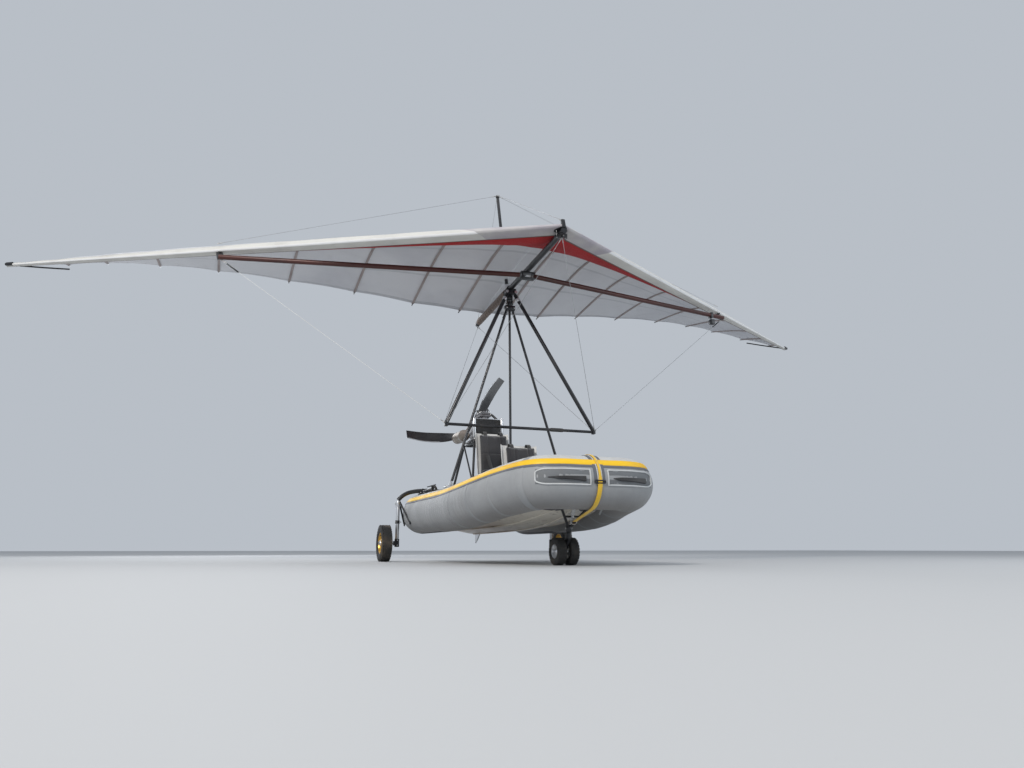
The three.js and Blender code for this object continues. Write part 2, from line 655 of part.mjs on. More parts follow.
function blade() {
  const curve = (...columns) => new THREE.CatmullRomCurve3(
    BLADE_ROWS.map((row) => new THREE.Vector3(...columns.map((column) => row[column]))));
  const line = curve(0, 1, 2);
  const other = curve(0, 3, 4);
  const count = (BLADE_ROWS.length - 1) * BLADE_STEPS;
  const rings = Array.from({ length: count + 1 }, (_, i) => {
    const [radius, chord, twist] = line.getPoint(i / count).toArray();
    const [, sweepBack, thick] = other.getPoint(i / count).toArray();
    const turn = THREE.MathUtils.degToRad(twist);
    return AEROFOIL.map(([u, w]) => {
      const along = u * chord + sweepBack;
      const across = w * thick;
      return new THREE.Vector3(along * Math.cos(turn) - across * Math.sin(turn),
        along * Math.sin(turn) + across * Math.cos(turn), radius);
    });
  });
  return loft(rings);
}

const hubBody = join(
  rod([0, PROP_Y - 45 + 0.4, PROP_Z], [0, PROP_Y + 32, PROP_Z], HUB_R, 24),
  rod([0, PROP_Y + 30, PROP_Z], [0, PROP_Y + 62, PROP_Z], 34, 20, 30),
);
add(craft, 'propeller_hub', hubBody, 'blackTube');
for (let i = 0; i < BLADE_COUNT; i += 1) {
  const geometry = cut(blade(), rod([0, -90, 0], [0, 90, 0], HUB_R + GAP, 48));
  geometry.rotateY(BLADE_TURN + (i * 2 * Math.PI) / BLADE_COUNT);
  geometry.translate(0, PROP_Y, PROP_Z);
  add(craft, `propeller_blade_${i + 1}`, geometry, 'blackTube');
}

// Main gear
const BEAM_Z = 830;
const BEAM_R = 25;
const LEG_TOP = 715;
const BEAM_HALF = [[720, BEAM_Z], [880, 800], [LEG_X, LEG_TOP]]; // x and z, from the middle out
const BEAM_PAD = [70, 50];
const BRACE_R = 11;
const BRACE_FOOT = [880, 770, 450];      // where the leg's braces meet the tube's side, ahead and astern
const BRACE_REAR_FOOT = [876, 1090, 440];
const LEG_R = 23;

function gearBeam() {
  const points = [...BEAM_HALF].reverse().map(([x, z]) => [-x, WHEEL_Y, z])
    .concat(BEAM_HALF.map(([x, z]) => [x, WHEEL_Y, z]));
  const rings = points.map(([x, y, z], i) => {
    const before = points[Math.max(i - 1, 0)];
    const after = points[Math.min(i + 1, points.length - 1)];
    const slope = Math.atan2(after[2] - before[2], after[0] - before[0]);
    return circle(BEAM_R, 14).map(([a, b]) => (
      new THREE.Vector3(x - b * Math.sin(slope), y + a, z + b * Math.cos(slope))));
  });
  const pieces = [loft(rings)];
  for (const [, side] of SIDES) {
    const x = side * TUBE_X;
    pieces.push(box([x - BEAM_PAD[0], WHEEL_Y - BEAM_PAD[1], BEAM_Z - 60],
      [x + BEAM_PAD[0], WHEEL_Y + BEAM_PAD[1], BEAM_Z - 10]));
    pieces.push(rod([side * (LEG_X - 8), WHEEL_Y - 5, LEG_TOP], mirror(BRACE_FOOT, side), BRACE_R, 8));
    pieces.push(rod([side * (LEG_X - 8), WHEEL_Y + 5, LEG_TOP], mirror(BRACE_REAR_FOOT, side), BRACE_R, 8));
  }
  return cut(join(...pieces), ...fatTubes);
}
const beamSolid = add(craft, 'gear_beam', gearBeam(), 'blackTube');
for (const [name, side] of SIDES) {
  const x = side * LEG_X;
  const leg = join(
    rod([x, WHEEL_Y, LEG_TOP + 30], [x, WHEEL_Y, WHEEL_R - 25], LEG_R, 16),
    rod([x, WHEEL_Y, WHEEL_R], [side * (HALF_TRACK + 70), WHEEL_Y, WHEEL_R], AXLE_R, 16),
  );
  const above = box([x - 60, WHEEL_Y - 60, LEG_TOP - 8], [x + 60, WHEEL_Y + 60, LEG_TOP + 60]);
  add(craft, `gear_leg_${name}`, cut(leg, above, ...around(beamSolid)), 'silver');
}

function tyre(radius, width, bead, x, y, facets) {
  const half = width / 2;
  const profile = [
    [-half * 0.72, bead], [-half, bead + (radius - bead) * 0.3], [-half * 0.98, bead + (radius - bead) * 0.66],
    [-half * 0.72, radius * 0.965], [-half * 0.3, radius], [half * 0.3, radius], [half * 0.72, radius * 0.965],
    [half * 0.98, bead + (radius - bead) * 0.66], [half, bead + (radius - bead) * 0.3], [half * 0.72, bead],
  ];
  return turnedAboutX(profile, [x, y, radius], facets);
}

function rim(bead, bore, width, hubWidth, x, y, z, facets) {
  const half = width / 2;
  const hub = hubWidth / 2;
  const profile = [
    [-half, bead - GAP], [-half, bead - 12], [-half * 0.25, bead - 22], [-hub, bore + 16], [-hub, bore],
    [hub, bore], [hub, bore + 16], [half * 0.25, bead - 22], [half, bead - 12], [half, bead - GAP],
  ];
  return turnedAboutX(profile, [x, y, z], facets);
}

const MAIN_BEAD = 118;
const MAIN_RIM_W = 88;
const MAIN_HUB_W = 104;
const WHEEL_FACETS = 28;
const NOSE_FACETS = 22;
for (const [name, side] of SIDES) {
  const x = side * HALF_TRACK;
  const wheel = rim(MAIN_BEAD, AXLE_R + 0.5, MAIN_RIM_W, MAIN_HUB_W, x, WHEEL_Y, WHEEL_R, WHEEL_FACETS);
  add(craft, `main_tyre_${name}`, tyre(WHEEL_R, WHEEL_W, MAIN_BEAD, x, WHEEL_Y, WHEEL_FACETS), 'rubber');
  add(craft, `main_rim_${name}`, wheel, 'gold');
}

// Nose gear
const BRACKET_X = 149;
const BRACKET_Y = -1885;
const BRACKET_Z = 535;
const BRACKET_HALF = [22, 28];
const PIN_R = 12;
const HEAD_R = 29;
const ARM_R = 13;
const TIE = [78, -1810, 432];            // end of the bar between the arms
const TIE_R = 9;
const headRing = rod([0, STEER_Y, HEAD_BOTTOM], [0, STEER_Y, HEAD_TOP], HEAD_R, 20);
const tieBar = (extra = 0) => rod(mirror(TIE, -1), TIE, TIE_R + extra, 8);

function noseFrame() {
  const pieces = [headRing];
  for (const [, side] of SIDES) {
    const armEnd = [side * 8, STEER_Y - 12, HEAD_BOTTOM + 38];
    pieces.push(rod([side * BRACKET_X, BRACKET_Y, BRACKET_Z], armEnd, ARM_R, 10));
    pieces.push(box([side * BRACKET_X - BRACKET_HALF[0], BRACKET_Y - BRACKET_HALF[1], BRACKET_Z - 14],
      [side * BRACKET_X + BRACKET_HALF[0], BRACKET_Y + BRACKET_HALF[1], BRACKET_Z + 45]));
  }
  pieces.push(tieBar());
  return cut(join(...pieces), lowered, hullSolid, ...fatTubes,
    rod([0, STEER_Y, HEAD_BOTTOM - 1], [0, STEER_Y, HEAD_TOP + 1], PIN_R + 0.5, 20));
}
const noseFrameSolid = add(craft, 'nose_frame', noseFrame(), 'blackTube');

const SHOCK_TOP = [0, -1880, 545];
const SHOCK_LOW = [0, STEER_Y - 36, HEAD_TOP + 8];
const SHOCK_R = 17;
const shock = cut(rod(SHOCK_TOP, SHOCK_LOW, SHOCK_R, 12), lowered, hullSolid, tieBar(GAP), noseFrameSolid);
add(craft, 'nose_shock', shock, 'silver');

const FORK_LEG = [[STEER_Y - 24, 292], [STEER_Y + 24, 292], [NOSE_WHEEL_Y + 26, 150],
  [NOSE_WHEEL_Y + 26, 104], [NOSE_WHEEL_Y - 22, 100], [STEER_Y - 24, 236]];
const FORK_T = 24;
const NOSE_AXLE_R = 8;
const NOSE_AXLE_HALF = 122;
const fork = cut(join(
  sidePlate(FORK_LEG, 0, FORK_T),
  rod([0, STEER_Y, 262], [0, STEER_Y, HEAD_BOTTOM - 0.4], HEAD_R - 3, 20),
  rod([0, STEER_Y, 280], [0, STEER_Y, HEAD_TOP - 4], PIN_R, 20),
), rod([-FORK_T, NOSE_WHEEL_Y, NOSE_WHEEL_R], [FORK_T, NOSE_WHEEL_Y, NOSE_WHEEL_R], NOSE_AXLE_R + 0.5, 16));
add(craft, 'nose_fork', fork, 'blackTube');

const NOSE_BEAD = 62;
const NOSE_RIM_W = 62;
const NOSE_HUB_W = 76;
const noseRim = (side) => rim(NOSE_BEAD, NOSE_AXLE_R - 0.4, NOSE_RIM_W, NOSE_HUB_W, side * NOSE_WHEEL_X,
  NOSE_WHEEL_Y, NOSE_WHEEL_R, NOSE_FACETS);
const NOSE_AXLE_END = [NOSE_AXLE_HALF, NOSE_WHEEL_Y, NOSE_WHEEL_R];
const hubs = join(
  rod(mirror(NOSE_AXLE_END, -1), NOSE_AXLE_END, NOSE_AXLE_R, 16),
  noseRim(1),
  noseRim(-1),
);
add(craft, 'nose_wheel_hubs', hubs, 'silver');
for (const [name, side] of SIDES) {
  const ring = tyre(NOSE_WHEEL_R, NOSE_WHEEL_W, NOSE_BEAD, side * NOSE_WHEEL_X, NOSE_WHEEL_Y, NOSE_FACETS);
  add(craft, `nose_tyre_${name}`, ring, 'rubber');
}

// Yellow strap from the top of the bow round its front to the steering head
const STRAP_W = 46;
const STRAP_END_W = 20;
const STRAP_T = 3;
const STRAP_R = TUBE_R + 7;
const STRAP_LEAVES = -73;        // degrees below the bow's front, where it leaves the tube

function noseStrap() {
  const path = [];
  for (let angle = 90; angle > STRAP_LEAVES; angle -= 18) path.push(angle);
  path.push(STRAP_LEAVES);
  const points = path.map((angle) => {
    const turn = THREE.MathUtils.degToRad(angle);
    return [BOW_Y - STRAP_R * Math.cos(turn), BOW_Z + STRAP_R * Math.sin(turn)];
  });
  points.push([STEER_Y - 33, HEAD_TOP - 12]);
  const rings = points.map(([y, z], i) => {
    const before = points[Math.max(i - 1, 0)];
    const after = points[Math.min(i + 1, points.length - 1)];
    const along = new THREE.Vector2(after[0] - before[0], after[1] - before[1]).normalize();
    const out = new THREE.Vector2(along.y, -along.x).multiplyScalar(STRAP_T / 2);
    const width = i + 1 < points.length ? STRAP_W : STRAP_END_W;
    return [[-1, -1], [1, -1], [1, 1], [-1, 1]].map(([s, t]) => new THREE.Vector3((s * width) / 2,
      y + t * out.x, z + t * out.y));
  });
  return loft(rings);
}
add(craft, 'nose_strap', cut(noseStrap(), ...around(noseFrameSolid)), 'yellow');

// Hang bracket: a sleeve on the keel, two cheeks and the bolt
const CHEEK_IN = 26;
const CHEEK_T = 8;
const SLEEVE_FROM = -14;
const SLEEVE_TO = 22;
const CHEEK = [[-18, -18], [18, -18], [22, 150], [-14, 150]];
const NUT_REACH = 12;            // how far the bolt stands out past a cheek

function hangBracket() {
  const pieces = [
    rod([0, SLEEVE_FROM, KEEL_ABOVE_PIVOT], [0, SLEEVE_TO, KEEL_ABOVE_PIVOT], KEEL_R + 9, 18),
    rod([-CHEEK_IN - CHEEK_T - NUT_REACH, 0, 0], [CHEEK_IN + CHEEK_T + NUT_REACH, 0, 0], BOLT_R, 18),
  ];
  for (const [, side] of SIDES) pieces.push(sidePlate(CHEEK, side * (CHEEK_IN + CHEEK_T / 2), CHEEK_T));
  return cut(join(...pieces), rod([0, -60, KEEL_ABOVE_PIVOT], [0, 60, KEEL_ABOVE_PIVOT], KEEL_R + 0.5, 18));
}
add(wingPivot, 'hang_bracket', hangBracket(), 'blackTube');

// Keel with its nose plates, apex block and crossbar sleeve
const APEX_LOW = -78;
const APEX_HALF = [58, 26];
const SLEEVE_X = 85;
const SLEEVE_HALF = [42, 36];
const NOSE_PLATE_X = 70;
const apexBlock = (extra = 0) => box([-APEX_HALF[0] - extra, APEX_Y - APEX_HALF[1] - extra, APEX_LOW - extra],
  [APEX_HALF[0] + extra, APEX_Y + APEX_HALF[1] + extra, 0]);
const keelBody = join(
  rod([0, NOSE_Y + 8, 0], [0, KEEL_TAIL, 0], KEEL_R, 24),
  rod([0, KEEL_TAIL - 40, 0], [0, KEEL_TAIL + 12, 0], KEEL_R + 3, 24),
  loft([-40, -30].map((z) => [[-NOSE_PLATE_X, 90], [-32, 4], [32, 4], [NOSE_PLATE_X, 90], [60, 130], [-60, 130]]
    .map(([x, y]) => new THREE.Vector3(x, NOSE_Y + y, z)))),
  apexBlock(),
  box([-SLEEVE_X, CROSS_Y - SLEEVE_HALF[0], CROSS_Z - SLEEVE_HALF[1]],
    [SLEEVE_X, CROSS_Y + SLEEVE_HALF[0], CROSS_Z + SLEEVE_HALF[1]]),
);
const keelSolid = add(wing, 'keel', keelBody, 'blackTube');

const CROSS_END_Y = 300;
const CROSS_END_Z = 108;
const END_PLATE = [[280, 96], [322, 100], [404, 232], [352, 232]]; // y and z, up into the leading edge
const END_PLATE_X = 3162;
const END_PLATE_T = 20;

// Wing surface: columns are distance from the keel, trailing edge y and z, camber
const WING_ROWS = [
  [0, 960, 62, 150],
  [300, 1000, 90, 172],
  [860, 1200, 200, 185],
  [1560, 1450, 370, 165],
  [2350, 1720, 530, 140],
  [3200, 1985, 670, 110],
  [3900, 2185, 740, 80],
  [4520, 2365, 770, 50],
  [4900, 2130, 590, 30],
  [5250, 1900, 440, 12],
  [HALF_SPAN, 1800, 372, 4],
];
const LEADING_Z = KEEL_R + GAP + 24; // leading edge height at the nose, its pocket resting on the keel
const LEADING_RISE = 0.054;
const SCALLOP = 28;              // hollow of the trailing edge between two battens

function leading(x) {
  return [NOSE_Y + SWEEP * x, LEADING_Z + LEADING_RISE * x];
}

function wingRow(x) {
  const last = WING_ROWS.length - 1;
  const i = Math.min(Math.max(WING_ROWS.findIndex((row) => row[0] >= x), 1), last);
  const [a, b] = [WING_ROWS[i - 1], WING_ROWS[i]];
  const t = (x - a[0]) / (b[0] - a[0]);
  return a.map((value, k) => value + (b[k] - value) * t);
}

// Height and place of the sail's upper side, t from 0 at the leading to 1 at the trailing edge
function surface(x, t, scallop = 0) {
  const [, trailY, trailZ, camber] = wingRow(x);
  const [leadY, leadZ] = leading(x);
  const y = leadY + (trailY - leadY) * t - scallop * Math.max(0, 2 * t - 1) ** 2;
  return [x, y, leadZ + (trailZ - leadZ) * t + camber * Math.sin(Math.PI * t ** 0.66)];
}

const NOSE_DEPTH = [215, 60];    // chordwise depth of the leading edge's pocket, root and tip
function pocketDepth(x) {
  return NOSE_DEPTH[0] + ((NOSE_DEPTH[1] - NOSE_DEPTH[0]) * x) / HALF_SPAN;
}

function chord(x) {
  return wingRow(x)[1] - leading(x)[0];
}

const xs = WING_ROWS.map((row) => row[0]);
xs[0] = GAP / 2;

function leadingEdge(side) {
  const rings = xs.map((x) => {
    const depth = pocketDepth(x);
    const share = depth / chord(x);
    const [leadY, leadZ] = leading(x);
    const top = (s) => surface(x, share * s);
    const height = top(1)[2] - leadZ;
    const floor = 0.16 * height + 6;
    const low = (s, drop) => [x, leadY + depth * s, leadZ - drop];
    const points = [low(0, 0), top(0.12), top(0.4), top(0.7), top(1), low(1, floor * 0.8), low(0.5, floor * 1.2),
      low(0.12, floor * 0.8)];
    return points.map((p) => vec(mirror(p, side)));
  });
  return loft(rings);
}

const CHORD_STEPS = 9;
const BATTEN_HALF = 8;
const BATTEN_DROP = 10;          // how far a batten stands below the sail
const BATTEN_R = 7;
const BATTEN_OUT = 35;           // how far a batten's end stands out behind the sail
const LAST_LONG_BATTEN = 6;      // row of the last batten that ends ahead of the tip's corner
const KINGPOST_HOLE_R = 22;

// Columns: distance from the keel, hollow of the trailing edge, how far the underside drops
function sailRows() {
  const rows = [];
  xs.forEach((x, i) => {
    const inner = i === 0;
    const outer = i + 1 === xs.length;
    if (inner || outer) rows.push([x, 0, 0]);
    else rows.push([x - BATTEN_HALF, 0, 0], [x, 0, BATTEN_DROP], [x + BATTEN_HALF, 0, 0]);
    if (!outer) rows.push([(x + xs[i + 1]) / 2, SCALLOP, 0]);
  });
  return rows;
}

function sailGrid(side, thickness) {
  return sailRows().map(([x, scallop, drop]) => Array.from({ length: CHORD_STEPS + 1 }, (_, k) => {
    const start = (pocketDepth(x) + GAP + 0.2) / chord(x);
    const t = start + ((1 - start) * k) / CHORD_STEPS;
    const [px, y, z] = surface(x, t, scallop);
    return mirror([px, y, z - thickness - (thickness > 0 ? drop : 0)], side);
  }));
}

function battenEnd(side, x) {
  const below = new THREE.Vector3(0, 0, -SKIN_T);
  const [before, end] = [0.97, 1].map((t) => vec(mirror(surface(x, t), side)).add(below));
  const away = end.clone().sub(before).normalize();
  return rod(before.toArray(), end.addScaledVector(away, BATTEN_OUT).toArray(), BATTEN_R, 6);
}

function sail(side) {
  const hole = rod(KINGPOST_FOOT, KINGPOST_TOP, KINGPOST_HOLE_R, 10);
  const cloth = cut(plate(sailGrid(side, 0), sailGrid(side, SKIN_T)), hole);
  return join(cloth, ...xs.slice(1, LAST_LONG_BATTEN + 1).map((x) => battenEnd(side, x)));
}

// Crossbar half with the plate that carries the leading edge at its outer end
function crossbar(side, edge) {
  const whole = join(
    rod([0, CROSS_Y - 20, CROSS_Z], [side * (JUNCTION_X - 30), CROSS_END_Y, CROSS_END_Z], CROSS_R, 14),
    sidePlate(END_PLATE, side * END_PLATE_X, END_PLATE_T),
  );
  const sleeve = box([-SLEEVE_X - GAP, CROSS_Y - 200, -200], [SLEEVE_X + GAP, CROSS_Y + 200, 100]);
  return cut(whole, sleeve, ...around(edge));
}

// Red lower panel between the leading edge and the sail, inboard only
const PANEL_END = 3080;
const PANEL_ROOT_Y = -735;
const PANEL_TIP_Y = 372;
const PANEL_T = 4;
const TIP_ROD = [[5300, 1690, 330], [4860, 1975, 470]];
const TIP_CAP = [[5380, 1702, 350], [5462, 1752, 354]];

function lowerPanel(side) {
  const stations = [xs[0], 300, 860, 1560, 2350, PANEL_END];
  const grid = (drop) => stations.map((x) => {
    const depth = pocketDepth(x) + GAP + 0.2;
    const [leadY, leadZ] = leading(x);
    const share = pocketDepth(x) / chord(x);
    const height = surface(x, share)[2] - leadZ;
    const frontZ = leadZ - (0.16 * height + 6) * 0.8;
    const rearY = Math.max(PANEL_ROOT_Y + ((PANEL_TIP_Y - PANEL_ROOT_Y) * x) / PANEL_END, leadY + depth + 40);
    const t = (rearY - leadY) / chord(x);
    const rearZ = surface(x, t)[2] - SKIN_T - 9;
    return Array.from({ length: 5 }, (_, k) => {
      const s = k / 4;
      const y = leadY + depth + (rearY - leadY - depth) * s;
      const bulge = -18 * Math.sin(Math.PI * s);
      return mirror([x, y, frontZ + (rearZ - frontZ) * s ** 1.6 + bulge * (1 - s) - drop], side);
    });
  });
  return plate(grid(0), grid(PANEL_T));
}

const crossbars = {};
for (const [name, side] of SIDES) {
  const tipRod = rod(mirror(TIP_ROD[0], side), mirror(TIP_ROD[1], side), 9, 8);
  const tipCap = rod(mirror(TIP_CAP[0], side), mirror(TIP_CAP[1], side), 20, 10);
  const edge = join(leadingEdge(side), tipCap);
  const sailSolid = sail(side);
  crossbars[side] = add(wing, `crossbar_${name}`, crossbar(side, edge), 'darkBrown');
  add(wing, `leading_edge_${name}`, edge, 'sailWhite');
  add(wing, `sail_${name}`, sailSolid, 'sailPale');
  add(wing, `lower_panel_${name}`, cut(lowerPanel(side), ...around(sailSolid)), 'sailRed');
  add(wing, `tip_rod_${name}`, cut(tipRod, ...around(edge), ...around(sailSolid)), 'blackTube');
}

// Kingpost
const KINGPOST_R = 19;
const keelBore = rod([0, -100, 0], [0, 300, 0], KEEL_R + GAP, 24);
const kingpost = cut(rod(KINGPOST_FOOT, KINGPOST_TOP, KINGPOST_R, 14), keelBore);
add(wing, 'kingpost', kingpost, 'blackTube');

// Control frame
const SHOE = 34;                 // width of a corner fitting
const SHOE_HALF_Y = 24;
const SHOE_LOW = 24;             // below and above the bar's axis
const SHOE_HIGH = 26;
const DOWNTUBE_TOP = [52, APEX_Y, APEX_LOW + 20];
const bar = join(
  rod([-CORNER_X, CORNER_Y, CORNER_Z], [CORNER_X, CORNER_Y, CORNER_Z], BAR_R, 14),
  ...SIDES.map(([, side]) => box([side * CORNER_X - SHOE / 2, CORNER_Y - SHOE_HALF_Y, CORNER_Z - SHOE_LOW],
    [side * CORNER_X + SHOE / 2, CORNER_Y + SHOE_HALF_Y, CORNER_Z + SHOE_HIGH])),
);
add(wing, 'base_bar', bar, 'blackTube');
for (const [name, side] of SIDES) {
  const tube = rod(mirror(DOWNTUBE_TOP, side), [side * CORNER_X, CORNER_Y, CORNER_Z], DOWNTUBE_R, 14);
  const belowShoe = box([side * CORNER_X - 200, CORNER_Y - 200, CORNER_Z - 200],
    [side * CORNER_X + 200, CORNER_Y + 200, CORNER_Z + SHOE_HIGH + GAP]);
  add(wing, `downtube_${name}`, cut(tube, apexBlock(GAP), belowShoe), 'blackTube');
}

// Rigging: corner fittings to nose, keel tail and crossbar ends, and the kingpost's four wires
const wire = (from, to) => rod(from, to, WIRE_R, 6);
const cornerAt = (side, dy, dz) => [side * CORNER_X, CORNER_Y + dy, CORNER_Z + dz];
const NOSE_TANG = [0, NOSE_Y + 60, -50];
const TAIL_TANG = [0, KEEL_TAIL - 20, -44];
const REAR_WIRE_OUT = 14;        // the rear wires leave the corner fittings at their outer rear edge
const REAR_WIRE_AFT = 26;
const TANG_X = 9;
const rearWireFoot = (side) => [side * (CORNER_X + REAR_WIRE_OUT), CORNER_Y + REAR_WIRE_AFT, CORNER_Z + 14];
add(wing, 'wires_front', join(
  ...SIDES.map(([, side]) => wire(cornerAt(side, -30, 14), NOSE_TANG)),
  box([-TANG_X, NOSE_Y + 46, -58], [TANG_X, NOSE_Y + 74, -40 - GAP]),
), 'steelWire');
add(wing, 'wires_rear', join(
  ...SIDES.map(([, side]) => wire(rearWireFoot(side), TAIL_TANG)),
  box([-TANG_X, KEEL_TAIL - 34, -54], [TANG_X, KEEL_TAIL - 6, -KEEL_R - 3 - GAP]),
), 'steelWire');
const SIDE_WIRE_TOP = [JUNCTION_X - 60, 305, 80];
for (const [name, side] of SIDES) {
  const line = wire([side * (CORNER_X + 12), CORNER_Y, CORNER_Z + 10], mirror(SIDE_WIRE_TOP, side));
  add(wing, `wire_side_${name}`, cut(line, ...around(bar), ...around(crossbars[side])), 'steelWire');
}
const CAP_Z = 1386;              // the kingpost's cap, which holds the upper wires
const CAP_R = 24;
const capY = KINGPOST_TOP[1];
const cap = rod([0, capY, CAP_Z - 20], [0, capY, CAP_Z + 8], CAP_R, 14);
const junctionTop = (side) => [side * JUNCTION_X, 430, 320];
add(wing, 'wires_upper', cut(join(
  cap,
  wire([0, capY - CAP_R + 4, CAP_Z], [0, NOSE_Y + 30, 120]),
  wire([0, capY + CAP_R - 3, CAP_Z], [0, KEEL_TAIL - 20, KEEL_R + 8]),
  ...SIDES.map(([, side]) => wire([side * (CAP_R - 4), capY, CAP_Z], junctionTop(side))),
), ...around(kingpost)), 'steelWire');

export default craft;
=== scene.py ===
"""Looks of an amphibious ultralight trike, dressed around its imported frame. Metres, +Z up, bow along -Y."""
import logging
import math
from bisect import bisect_right
from dataclasses import dataclass, field
from enum import Enum
from typing import Any, Callable, ClassVar, Iterable, Sequence

import bmesh
import bpy
from mathutils import Matrix, Vector, noise


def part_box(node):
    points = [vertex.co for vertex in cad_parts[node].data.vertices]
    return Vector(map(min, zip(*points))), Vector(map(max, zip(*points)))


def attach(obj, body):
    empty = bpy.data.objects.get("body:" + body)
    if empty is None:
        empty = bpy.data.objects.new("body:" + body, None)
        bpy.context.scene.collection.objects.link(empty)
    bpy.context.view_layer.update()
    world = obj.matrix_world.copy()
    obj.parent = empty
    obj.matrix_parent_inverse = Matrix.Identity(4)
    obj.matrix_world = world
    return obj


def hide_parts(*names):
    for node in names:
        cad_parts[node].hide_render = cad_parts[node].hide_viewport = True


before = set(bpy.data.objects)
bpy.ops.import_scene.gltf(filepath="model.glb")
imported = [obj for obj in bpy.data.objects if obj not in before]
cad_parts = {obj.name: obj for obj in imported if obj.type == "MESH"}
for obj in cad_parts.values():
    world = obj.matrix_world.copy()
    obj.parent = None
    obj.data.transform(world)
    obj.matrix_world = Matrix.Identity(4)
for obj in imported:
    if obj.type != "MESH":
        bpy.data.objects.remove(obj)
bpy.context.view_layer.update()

log = logging.getLogger("trike")
Point = Sequence[float]
Colour = tuple[float, float, float]


class Side(Enum):
    """The two sides of the craft, each with the sign of its X."""

    port = 1
    starboard = -1


class Grain(Enum):
    """Fine relief of a finish."""

    WEAVE = "weave"
    CAST = "cast"
    BRUSHED = "brushed"
    PEEL = "peel"


class Socket:
    """A node's output that takes part in Python expressions; each operator adds a Math node."""

    def __init__(self, graph: "Graph", link: bpy.types.NodeSocket) -> None:
        """Keeps the graph that the output belongs to."""
        self.graph = graph
        self.link = link

    def _math(self, operation: str, *values: Any) -> "Socket":
        """Adds one Math node on the values."""
        return self.graph.node("ShaderNodeMath", {"operation": operation}, dict(enumerate(values)))

    def __add__(self, other: Any) -> "Socket":
        """Sum."""
        return self._math("ADD", self, other)

    def __sub__(self, other: Any) -> "Socket":
        """Difference."""
        return self._math("SUBTRACT", self, other)

    def __rsub__(self, other: Any) -> "Socket":
        """Difference, the number first."""
        return self._math("SUBTRACT", other, self)

    def __mul__(self, other: Any) -> "Socket":
        """Product."""
        return self._math("MULTIPLY", self, other)

    def __abs__(self) -> "Socket":
        """Absolute value."""
        return self._math("ABSOLUTE", self)

    def sine(self) -> "Socket":
        """Sine of an angle in radians."""
        return self._math("SINE", self)

    def step(self, low: float, high: float) -> "Socket":
        """Rises smoothly from 0 at low to 1 at high, or falls where high is the lower.

        Args:
            low: value where it starts.
            high: value where it ends.

        Returns:
            The share.
        """
        rise = self.graph.node("ShaderNodeMapRange", {"interpolation_type": "SMOOTHSTEP"},
                               {"Value": self, "From Min": min(low, high), "From Max": max(low, high)})
        return rise if high > low else 1 - rise


class Graph:
    """The node tree of one material."""

    def __init__(self, name: str) -> None:
        """Starts an empty tree.

        Args:
            name: the material's name.
        """
        self.material = bpy.data.materials.new(name)
        self.material.use_nodes = True
        self.tree = self.material.node_tree
        self.tree.nodes.clear()

    def node(self, kind: str, settings: dict[str, Any] | None = None,
             inputs: dict[str | int, Any] | None = None, output: str | int = 0) -> Socket:
        """Adds a node.

        Args:
            kind: the node's type.
            settings: attributes that are set first.
            inputs: values or links by socket name or number.
            output: the output that is handed back.

        Returns:
            The chosen output.
        """
        made = self.tree.nodes.new(kind)
        for key, value in (settings or {}).items():
            setattr(made, key, value)
        for key, value in (inputs or {}).items():
            if isinstance(value, Socket):
                self.tree.links.new(value.link, made.inputs[key])
            else:
                made.inputs[key].default_value = value
        return Socket(self, made.outputs[output])

    def place(self) -> Socket:
        """Object coordinates, which are the craft's own."""
        return self.node("ShaderNodeTexCoord", output="Object")

    def unwrapped(self) -> Socket:
        """The piece's own UV map, in metres along and a share across."""
        return self.node("ShaderNodeUVMap", {"uv_map": "run"})

    def axes(self, vector: Socket) -> tuple[Socket, Socket, Socket]:
        """Splits a vector.

        Args:
            vector: the vector output.

        Returns:
            Its three numbers.
        """
        outs = self.node("ShaderNodeSeparateXYZ", inputs={0: vector}).link.node.outputs
        return tuple(Socket(self, outs[i]) for i in range(3))

    def noise(self, scale: float, detail: float = 3.0, stretch: Point = (1, 1, 1)) -> Socket:
        """Noise on the craft's coordinates.

        Args:
            scale: how often it changes in a metre.
            detail: octaves.
            stretch: the scale's factor along each axis.

        Returns:
            A value round 0.5.
        """
        where = self.node("ShaderNodeMapping", inputs={"Vector": self.place(), "Scale": stretch})
        return self.node("ShaderNodeTexNoise", inputs={"Vector": where, "Scale": scale, "Detail": detail})

    def mix(self, share: Any, first: Any, second: Any) -> Socket:
        """Blends two colours.

        Args:
            share: how much of the second there is.
            first: a colour or a link.
            second: a colour or a link.

        Returns:
            The blended colour.
        """
        full = [c if isinstance(c, Socket) else (*c, 1) for c in (first, second)]
        return self.node("ShaderNodeMix", {"data_type": "RGBA"}, {0: share, 6: full[0], 7: full[1]}, 2)


